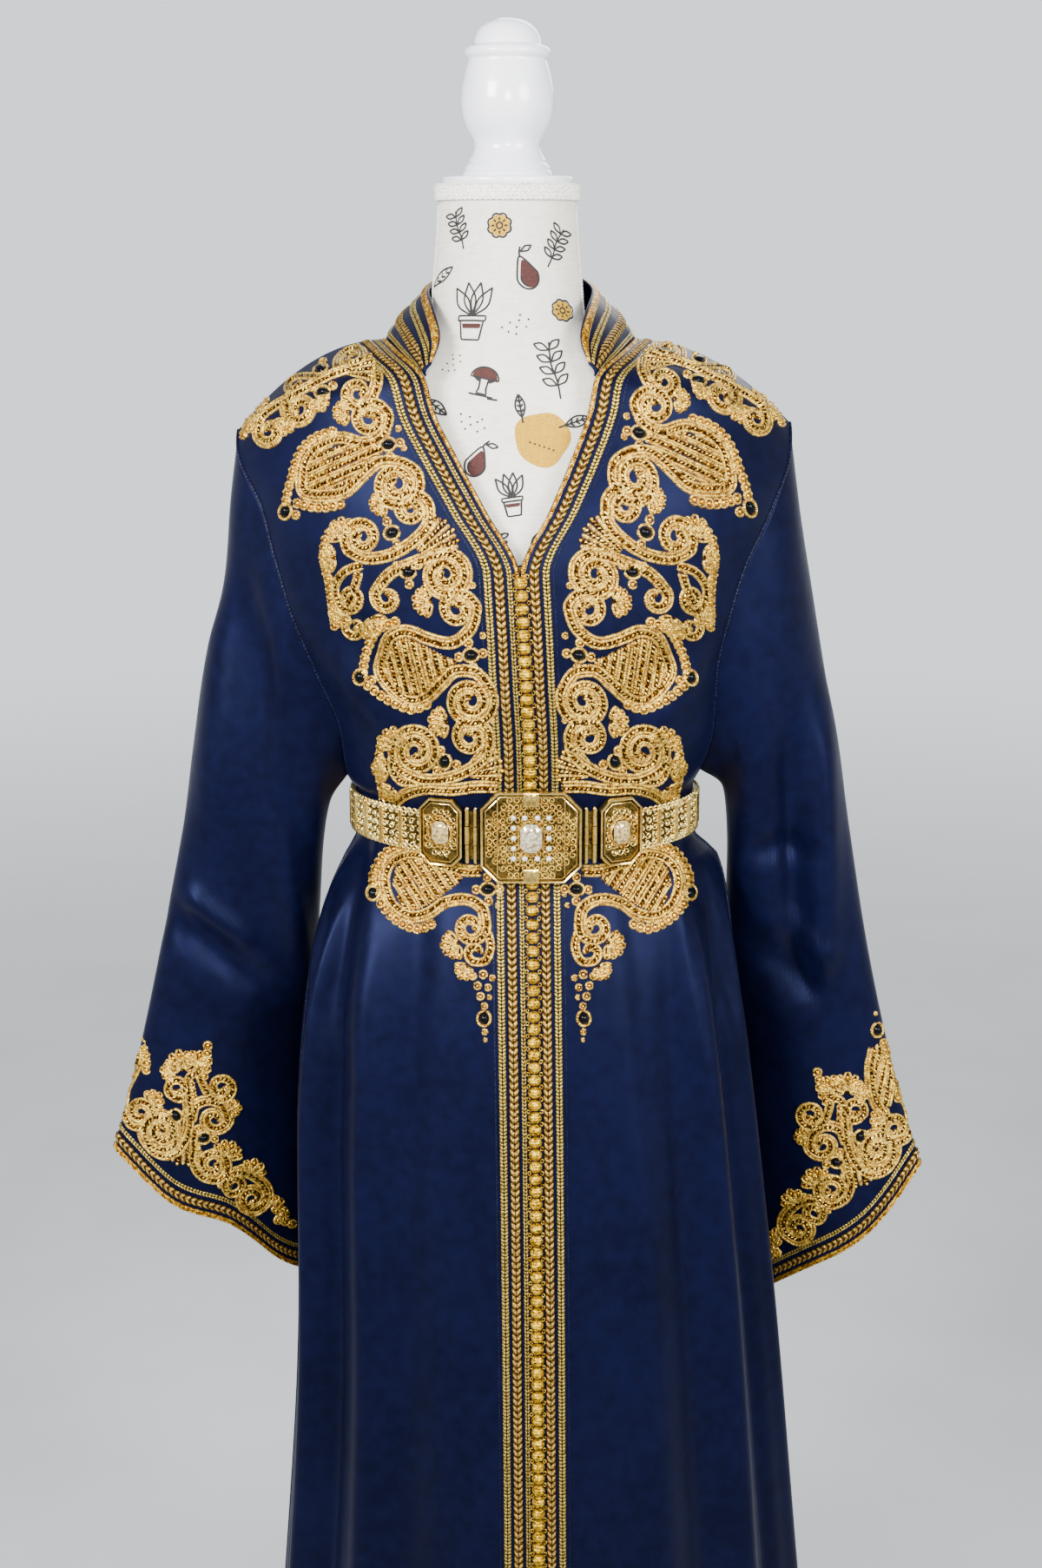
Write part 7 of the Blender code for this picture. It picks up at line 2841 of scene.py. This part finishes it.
class Motif(Enum):
    """A motif of the print, drawn in the print's own units."""

    DAISY = "daisy"
    DISC = "disc"
    PEAR = "pear"
    POT = "pot"
    MUSHROOM = "mushroom"
    LEAF = "leaf"
    SEEDS = "seeds"
    SPRIG = "sprig"

    def draw(self) -> Drawing:
        """Its blocks of colour and its lines."""
        return getattr(self, self.value)()

    @staticmethod
    def daisy() -> Drawing:
        """A round flower with eight petals.

        Returns:
            Its blocks and lines.
        """
        circle = polar(ROUND)
        petals = (15 + 3.0 * np.abs(np.sin(ROUND * 4)))[:, None] * circle
        rays = [np.array([ray * 8, ray * 13]) for ray in circle[:32:4]]
        return [(Ink.OCHRE, petals)], [circle * 5, petals * 1.12, *rays]

    @staticmethod
    def disc() -> Drawing:
        """A large round block with a row of ticks.

        Returns:
            Its blocks and lines.
        """
        blob = (30 + 1.6 * np.sin(ROUND * 3) + 1.0 * np.cos(ROUND * 5))[:, None] * polar(ROUND)
        ticks = lines_of(*[((x, -8 - x / 3), (x + 2, -9 - x / 3)) for x in range(-14, 16, 5)])
        return [(Ink.OCHRE, blob)], ticks

    @staticmethod
    def pear() -> Drawing:
        """A pear with a stalk and a leaf.

        Returns:
            Its blocks and lines.
        """
        up = np.sin(ROUND)
        reach = 13 - 4.6 * np.cos(ROUND - math.pi / 2) * (up > 0)
        body = np.stack([reach * np.cos(ROUND) * (0.92 - 0.30 * np.maximum(up, 0)),
                         up * (14 + 8 * (up > 0))], axis=1)
        return [(Ink.RUSSET, body * 0.86 + (1.5, -1))], [body, *lines_of(
            ((0, 21), (2, 27), (5, 31)), ((-7, 2), (-7, -5), (-4, -10)),
            ((3, 26), (10, 30), (17, 28), (11, 24), (3, 26)))]

    @staticmethod
    def pot() -> Drawing:
        """A flower pot with four long leaves.

        Returns:
            Its blocks and lines.
        """
        lines = lines_of(((-12, 0), (12, 0), (9, -20), (-9, -20), (-12, 0)),
                         ((-14, 0), (14, 0), (14, 5), (-14, 5), (-14, 0)))
        for lean in (-34, -12, 10, 32):
            up, out = polar(math.radians(lean))
            tip = np.array((out * 34, 5 + up * 34))
            side = np.array((up, -out)) * 6
            lines += [np.array([(out * 2, 5), tip * 0.55 + bend, tip]) for bend in (side, -side)]
        stripe, = lines_of(((-10, -3), (10, -3), (9, -8), (-9, -8), (-10, -3)))
        return [(Ink.RUSSET, stripe)], lines

    @staticmethod
    def mushroom() -> Drawing:
        """A mushroom on two lines of grass.

        Returns:
            Its blocks and lines.
        """
        cap = polar(np.linspace(0, math.pi, 17)) * (16, 13)
        cap = np.concatenate([cap, cap[:1]])
        return [(Ink.RUSSET, cap * 0.9 + (0, 0.6))], [cap, *lines_of(
            ((-5, 0), (-4, -12), (-6, -18), (6, -18), (4, -12), (5, 0)),
            *[((x, 0), (x * 0.5, -4)) for x in (-12, -8, 8, 12)],
            ((-14, -20), (14, -20)), ((8, -22), (20, -21)))]

    @staticmethod
    def leaf() -> Drawing:
        """A veined leaf on a stalk.

        Returns:
            Its blocks and lines.
        """
        x = np.linspace(-16, 16, 13)
        side = np.stack([x, 6.5 * np.sin(math.pi * (x + 16) / 32)], axis=1)
        veins = [((x, 0), (x + 4, up)) for up in (4.0, -4.0) for x in (-9, -2, 5)]
        return [], [side, side * (1, -1), *lines_of(((-24, 0), (14, 0)), *veins)]

    @staticmethod
    def seeds() -> Drawing:
        """Scattered ticks.

        Returns:
            Its blocks and lines.
        """
        return [], lines_of(*[((x, y), (x + 1.8, y + 1.0)) for x, y in (
            (-14, 3), (-9, -4), (-4, 5), (1, -2), (6, 4), (11, -5), (16, 2), (-2, -9), (9, 9))])

    @staticmethod
    def sprig() -> Drawing:
        """A stalk with leaves in pairs.

        Returns:
            Its blocks and lines.
        """
        lines = lines_of(((0, -30), (1, -12), (-1, 6), (2, 28)))
        for y in (-16, -4, 8, 20):
            for sign in (-1, 1):
                tip = (sign * 13, y + 9)
                lines += lines_of(((0, y), (sign * 5, y + 8), tip),
                                  ((0, y), (sign * 9, y + 2), tip))
        return [], lines


@dataclass
class Print:
    """The linen's print: line drawn garden motifs with ochre and russet blocks.

    Attributes:
        line: width of a drawn line.
        scale: metres of the print's unit.
        top: height of the top of the neck, as drawn.
        lift: how far a block and a line stand off the linen.
        layout: motif, place across and down from the neck's top, turn and size.
    """

    line: float = 0.00150
    scale: float = 0.00073
    top: float = 1.4797
    lift: tuple[float, float] = (0.00022, 0.00034)
    layout: tuple[tuple[Motif, float, float, float, float], ...] = (
        (Motif.SPRIG, -52, 34, 14, 0.72), (Motif.DAISY, -8, 34, 0, 0.66),
        (Motif.SPRIG, 52, 52, -20, 0.80), (Motif.PEAR, 22, 86, 24, 1.0),
        (Motif.POT, -38, 132, -6, 1.05), (Motif.SEEDS, 8, 140, 20, 1.0),
        (Motif.DAISY, 60, 118, 0, 0.60), (Motif.LEAF, -70, 78, 30, 0.8),
        (Motif.SPRIG, 50, 186, 14, 1.1), (Motif.MUSHROOM, -24, 196, -14, 0.95),
        (Motif.DISC, 38, 262, 0, 1.0), (Motif.SEEDS, -40, 244, -30, 1.0),
        (Motif.LEAF, 14, 226, 100, 0.8), (Motif.PEAR, -34, 290, -22, 0.95),
        (Motif.POT, 6, 330, 8, 0.8), (Motif.SPRIG, -10, 384, -8, 0.7),
        (Motif.LEAF, 32, 372, 60, 0.7), (Motif.DAISY, 12, 410, 0, 0.55),
        (Motif.SEEDS, -60, 180, 40, 0.8), (Motif.LEAF, 76, 242, 20, 0.9),
        (Motif.LEAF, -76, 226, -40, 0.9),
    )

    def build(self, form: Form) -> None:
        """Prints the form's front, and its back down to the collar.

        Args:
            form: the body that is printed.
        """
        heap = Heap()
        for face, low in ((form.ground, math.inf), (Turned(form.ground), 190)):
            for motif, across, down, turn, size in self.layout:
                if down > low:
                    continue
                spin = spun(turn) * self.scale * size
                place = np.array((across * self.scale, self.top - down * self.scale))
                fills, lines = motif.draw()
                for ink, outline in fills:
                    self.block(heap, face, outline @ spin + place, ink)
                for line in lines:
                    line = line @ spin + place
                    line = smooth_line(line, 0.0014) if len(line) in (3, 4) else line
                    self.stroke(heap, face, line)
        heap.piece("linen_print", "linen", [], Finish.BLACK_INK, Finish.OCHRE_INK,
                   Finish.RUSSET_INK, steps=())

    def stroke(self, heap: Heap, face: Ground | Turned, line: Array) -> None:
        """Draws one line as a thin flat strip.

        Args:
            heap: what it is added to.
            face: the face that is printed.
            line: the line, as drawn.
        """
        points, normals, met = face.cast(respaced(line, 0.0016))
        if not met.all():
            return
        across = unit(np.cross(unit(np.gradient(points, axis=0)), normals)) * self.line / 2
        lifted, count = points + normals * self.lift[1], len(points)
        strip = np.concatenate([lifted - across, lifted + across])
        faces = [(i, i + 1, count + i + 1, count + i) for i in range(count - 1)]
        heap.add(strip, turned_to(normals[0], strip, faces), Ink.BLACK.value)

    def block(self, heap: Heap, face: Ground | Turned, outline: Array, ink: Ink) -> None:
        """Prints one block of colour inside an outline.

        Args:
            heap: what it is added to.
            face: the face that is printed.
            outline: its outline, as drawn.
            ink: its ink.
        """
        outline = respaced(outline, 0.0020)[:-1]
        middle = outline.mean(axis=0)
        spots = [middle + (outline - middle) * share for share in (1.0, 0.75, 0.5, 0.25)]
        points, normals, met = face.cast(np.concatenate([*spots, [middle]]))
        if met.all():
            lifted = points + normals * self.lift[0]
            faces = domed(len(spots), len(outline))
            heap.add(lifted, turned_to(normals[0], lifted, faces), ink.value)


# ---------------------------------------------------------------- braids and knots


class Weave(Enum):
    """How a braid is made; its value is the finish's place on the piece."""

    BRAID = 0
    PLAIT = 1
    ROPE = 2
    STITCH = 3


LANE_LINES = {Weave.BRAID: 9, Weave.PLAIT: 11, Weave.ROPE: 6, Weave.STITCH: 3}
LANE_STEP = {Weave.BRAID: 0.0022, Weave.PLAIT: 0.0011, Weave.ROPE: 0.0016, Weave.STITCH: 0.0012}
LANE_SLOT = {Weave.PLAIT: "copper_plait", Weave.STITCH: "navy_satin"}
PLAIT_PITCH = 0.0056
PLAIT_SLANT = 0.62
BRAID_PITCH = 0.0021
ROPE_PITCH = 0.0016
UNDERSIDE = 0.0002
SEAM_RADIUS = 0.0013
SEAM_STEP = 0.0030
LANE_FINISHES = (Finish.BRAID, Finish.PLAIT, Finish.TWIST, Finish.ROPE)


def tracks(points: Array, normals: Array, distances: Array,
           step: float) -> tuple[Array, Array, Array]:
    """Lines that keep their distance from an edge.

    Args:
        points: for each place along the edge, points that lead away from it.
        normals: the cloth's normals at those points.
        distances: how far each line is from the edge.
        step: distance between the lines' own points.

    Returns:
        The lines' points and normals, one line for each distance, and the distance along.
    """
    lines, facing = (
        np.array([read_off(value, lengths(row), distances)
                  for row, value in zip(points, values)]).transpose(1, 0, 2)
        for values in (points, normals)
    )
    along = lengths(lines[len(distances) // 2])
    wanted = np.linspace(0.0, along[-1], max(int(along[-1] / step), 2))
    fine, turns = (np.array([read_off(line, along, wanted) for line in group])
                   for group in (lines, facing))
    return fine, unit(turns), wanted


@dataclass(frozen=True)
class Lane:
    """One braid beside others.

    Attributes:
        near: distance of its near edge from the edge it follows, in metres.
        far: distance of its far edge.
        rise: how high it stands.
        kind: whether it is a flat braid of two cords, a plait or a rope.
    """

    near: float
    far: float
    rise: float
    kind: Weave

    def height(self, v: Array, along: Array) -> Array:
        """Its height as a share of its rise.

        Args:
            v: place across it, from -1 to 1.
            along: distance along it.

        Returns:
            The height at each of these.
        """
        if self.kind is Weave.PLAIT:
            phase = along / PLAIT_PITCH - PLAIT_SLANT * np.abs(v)
            strand = np.abs(np.sin(math.pi * phase)) ** 0.6
            seam = 1 - 0.35 * np.exp(-((v / 0.10) ** 2))
            high = (1 - np.abs(v) ** 4) * (0.42 + 0.58 * strand) * seam
        elif self.kind is Weave.BRAID:
            high = (0.55 - 0.45 * np.cos(2 * math.pi * v)) * (1 - np.abs(v) ** 6)
            high = high + 0.12 * np.sin(along / BRAID_PITCH * math.pi)
        else:
            turns = 0.40 if self.kind is Weave.STITCH else 0.10
            ridge = turns * np.sin(along / ROPE_PITCH * math.pi)
            high = np.sqrt(np.maximum(1 - v**2, 0.0)) + ridge
        high[[0, -1]] = -0.10
        return high

    def lay(self, heap: Heap, points: Array, normals: Array, closed: bool = False) -> None:
        """Lays it beside the edge of a piece of cloth.

        Args:
            heap: what it is added to.
            points: for each place along the edge, points that lead away from it.
            normals: the cloth's normals there.
            closed: whether it meets itself.
        """
        share = np.linspace(0.0, 1.0, LANE_LINES[self.kind])[:, None]
        distances = self.near + (self.far - self.near) * share[:, 0]
        lines, facing, along = tracks(points, normals, distances, LANE_STEP[self.kind])
        high = self.height(2 * share - 1, along[None, :])
        surface = lines + facing * (high * self.rise)[..., None]
        rows, columns = surface.shape[:2]
        flat, quads = surface.reshape(-1, 3), np.array(net(rows, columns, round_columns=False))
        a, b, c, d = flat[quads].transpose(1, 0, 2)
        if (np.cross(c - a, d - b) * facing.reshape(-1, 3)[quads[:, 0]]).sum() < 0:
            quads = quads[:, ::-1]
        places = np.stack(np.broadcast_arrays(along, share), axis=-1).reshape(-1, 2)
        if closed:
            heap.add(flat, quads, self.kind.value, places)
            return
        under = (lines - facing * UNDERSIDE).reshape(-1, 3)
        index = np.arange(len(flat)).reshape(rows, columns)
        rim = [*index[0], *index[1:, -1], *index[-1, -2::-1], *index[-2:0:-1, 0]]
        walls = [(i, j, j + len(flat), i + len(flat)) for i, j in zip(rim, rim[1:] + rim[:1])]
        heap.add(np.concatenate([flat, under]), [*quads, *walls], self.kind.value,
                 np.concatenate([places, places]))

    def make(self, name: str, node: str, points: Array, normals: Array) -> None:
        """Makes a piece of it alone, which stands for a node if there is one of that name.

        Args:
            name: the piece's name.
            node: the node.
            points: for each place along the edge, points that lead away from it.
            normals: the cloth's normals there.
        """
        heap = Heap()
        self.lay(heap, points, normals)
        heap.piece(name, LANE_SLOT.get(self.kind, "gold_braid"),
                   [node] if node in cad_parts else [], *LANE_FINISHES, steps=())


@dataclass
class Braids:
    """Every braid of the kaftan, with the knots between the fronts.

    Attributes:
        fronts: the braids beside each front's edge, with how far up the first starts.
        collar: the braids up the collar, as shares of its height.
        cuff: the braids above each sleeve's hem.
        knot_pitch: distance between knots.
        knot: width, height and rise of a knot.
        knot_rows: reach and height of the rings of a knot, as shares.
        knot_top: how far up the row of knots goes.
        loop: how far beside a knot its loops are, and their half width and half height.
    """

    fronts: dict[Side, tuple[tuple[str, Lane, float], ...]] = field(default_factory=lambda: {
        Side.LEFT: (
            ("edge_cord", Lane(0.0004, 0.0040, 0.0022, Weave.ROPE), 1.236),
            ("inner_braid", Lane(0.0062, 0.0106, 0.0012, Weave.BRAID), HEM_RUN),
            ("plait", Lane(0.0124, 0.0208, 0.0026, Weave.PLAIT), HEM_RUN),
            ("outer_braid", Lane(0.0226, 0.0290, 0.0013, Weave.BRAID), HEM_RUN),
            ("stitches", Lane(0.0312, 0.0324, 0.0007, Weave.STITCH), HEM_RUN),
        ),
        Side.RIGHT: (
            ("edge_cord", Lane(0.0004, 0.0040, 0.0022, Weave.ROPE), 1.236),
            ("plait", Lane(0.0066, 0.0146, 0.0026, Weave.PLAIT), HEM_RUN),
            ("outer_braid", Lane(0.0166, 0.0230, 0.0013, Weave.BRAID), HEM_RUN),
            ("stitches", Lane(0.0252, 0.0264, 0.0007, Weave.STITCH), HEM_RUN),
        ),
    })
    collar: tuple[tuple[str, Lane], ...] = (
        ("collar_braid_base", Lane(0.03, 0.20, 0.0013, Weave.BRAID)),
        ("collar_plait", Lane(0.25, 0.56, 0.0024, Weave.PLAIT)),
        ("collar_braid_top", Lane(0.61, 0.79, 0.0013, Weave.BRAID)),
        ("collar_edge", Lane(0.84, 0.995, 0.0022, Weave.ROPE)),
    )
    cuff: tuple[Lane, ...] = (
        Lane(0.0002, 0.0026, 0.0018, Weave.ROPE),
        Lane(0.0026, 0.0052, 0.0018, Weave.ROPE),
        Lane(0.0078, 0.0160, 0.0024, Weave.PLAIT),
        Lane(0.0190, 0.0242, 0.0013, Weave.BRAID),
    )
    knot_pitch: float = 0.0103
    knot: tuple[float, float, float] = (0.0112, 0.0100, 0.0058)
    knot_rows: tuple[tuple[float, float], ...] = (
        (0.90, -0.10), (1.0, 0.25), (0.84, 0.66), (0.46, 0.95))
    knot_top: float = 1.252
    loop: tuple[float, float, float] = (0.0052, 0.0012, 0.0016)

    def build(self, body: Body, sleeves: dict[Side, Sleeve], collar: Collar) -> None:
        """Makes all of them.

        Args:
            body: the fronts.
            sleeves: the sleeves.
            collar: the collar.
        """
        for side in Side:
            word, front, sleeve = side.word, body.fronts[side], sleeves[side].ground
            for name, lane, first in self.fronts[side]:
                rows = slice(body.row_at(first), body.rows - 1)
                lane.make(f"{name}_run_{word}", f"{name}_{word}", front.points[rows, :20],
                          front.normals[rows, :20])
            heap = Heap()
            ring = [*range(sleeve.points.shape[1]), 0]
            points, normals = (value[:-11:-1, ring].transpose(1, 0, 2)
                               for value in (sleeve.points, sleeve.normals))
            for lane in self.cuff:
                lane.lay(heap, points, normals, closed=True)
            heap.piece(f"cuff_trim_{word}", "gold_braid", [f"cuff_braid_{word}"], *LANE_FINISHES,
                       steps=())
            self.seam_cord(f"armhole_cord_{word}", sleeve.points[0], True)
            underarm = body.row_at(UNDERARM_RUN) + 1
            self.seam_cord(f"side_seam_{word}", front.points[:underarm, -1], False)
        for name, lane in self.collar:
            self.collar_lane(name, collar.ground, lane)
        self.knots(body)

    @staticmethod
    def collar_lane(name: str, ground: Ground, lane: Lane) -> None:
        """Makes a braid at a share of the collar's height, held to one width.

        Args:
            name: the braid's name.
            ground: the collar.
            lane: the braid, in shares of the height.
        """
        levels = np.linspace(0.0, 1.0, ground.points.shape[1])
        fine = np.linspace(lane.near, lane.far, 12)
        strip, turned = (np.array([read_off(row, levels, fine) for row in values])
                         for values in (ground.points, ground.normals))
        far = np.array([lengths(row)[-1] for row in strip])
        wide = float(np.median(far))
        middle = strip.mean(axis=1, keepdims=True)
        held = np.minimum(wide / np.maximum(far, 1e-6), 1.0)[:, None, None]
        strip = middle + (strip - middle) * held
        even = Lane(0.0, wide, lane.rise, lane.kind)
        even.make(f"{name}_run", name, strip[1:-1], unit(turned[1:-1]))

    @staticmethod
    def seam_cord(name: str, line: Array, closed: bool) -> None:
        """Lays a twisted navy cord along a seam.

        Args:
            name: the piece's name.
            line: the seam.
            closed: whether it goes all round.
        """
        fine = respaced(np.concatenate([line, line[:1]]) if closed else line, SEAM_STEP)
        fine = fine[:-1] if closed else fine
        round_it = np.arange(6)[:, None] / 6
        places = np.stack(np.broadcast_arrays(lengths(fine), round_it), axis=-1).reshape(-1, 2)
        points, faces = tube(fine, SEAM_RADIUS, 6, closed)
        heap = Heap()
        heap.add(points, faces, 0, places)
        heap.piece(name, "navy_satin", [], Finish.ROPE)

    def knots(self, body: Body) -> None:
        """Makes the row of woven knots, each with a loop at either side.

        Args:
            body: the fronts.
        """
        line = body.fronts[Side.LEFT].points[: body.row_at(self.knot_top), 0]
        middle = FRONT.at(line[:, 2])["mid"]
        heap = Heap()
        wide, long, rise = self.knot
        beside, loop_wide, loop_high = self.loop
        around = np.arange(12) * 2 * math.pi / 12
        for i in range(int((line[-1, 2] - line[0, 2]) / self.knot_pitch)):
            z = line[0, 2] + (i + 0.5) * self.knot_pitch
            x, y = (float(np.interp(z, line[:, 2], value)) for value in (middle, line[:, 1]))
            rings = []
            for reach, high in self.knot_rows:
                ridge = 1.0 + 0.16 * np.cos(around * 5 + reach * 5.0)
                rings.append(np.stack([x + np.cos(around) * wide / 2 * reach,
                                       y - high * rise * ridge,
                                       z + np.sin(around) * long / 2 * reach], axis=1))
            points = np.concatenate([*rings, [(x, y - rise, z)]])
            heap.add(points, domed(len(rings), 12), 0, points[:, [2, 0]])
            for side in (-1, 1):
                across, up = polar(np.arange(9) * 2 * math.pi / 9).T
                ring = np.stack([x + side * beside + loop_wide * across, np.full(9, y - 0.0012),
                                 z + self.knot_pitch / 2 + loop_high * up], axis=1)
                points, faces = tube(ring, 0.0005, 4, closed=True)
                heap.add(points, faces, 0, points[:, [2, 0]])
        heap.piece("knot_buttons", "gold_braid", ["knot_row"], Finish.KNOT)


def main() -> None:
    """Builds every sub-assembly in order."""
    logging.basicConfig(level=logging.INFO, format="%(name)s: %(message)s", stream=sys.stdout)
    Studio().build()
    body = Body()
    body.build()
    sleeves = {side: Sleeve(side) for side in Side}
    for sleeve in sleeves.values():
        sleeve.build(body)
    collar = Collar()
    collar.build(body)
    Goldwork().build(body, sleeves)
    Braids().build(body, sleeves, collar)
    Belt().build()
    form = Form()
    form.build()
    Lace().build(form)
    Print().build(form)


if __name__ == "__main__":
    main()
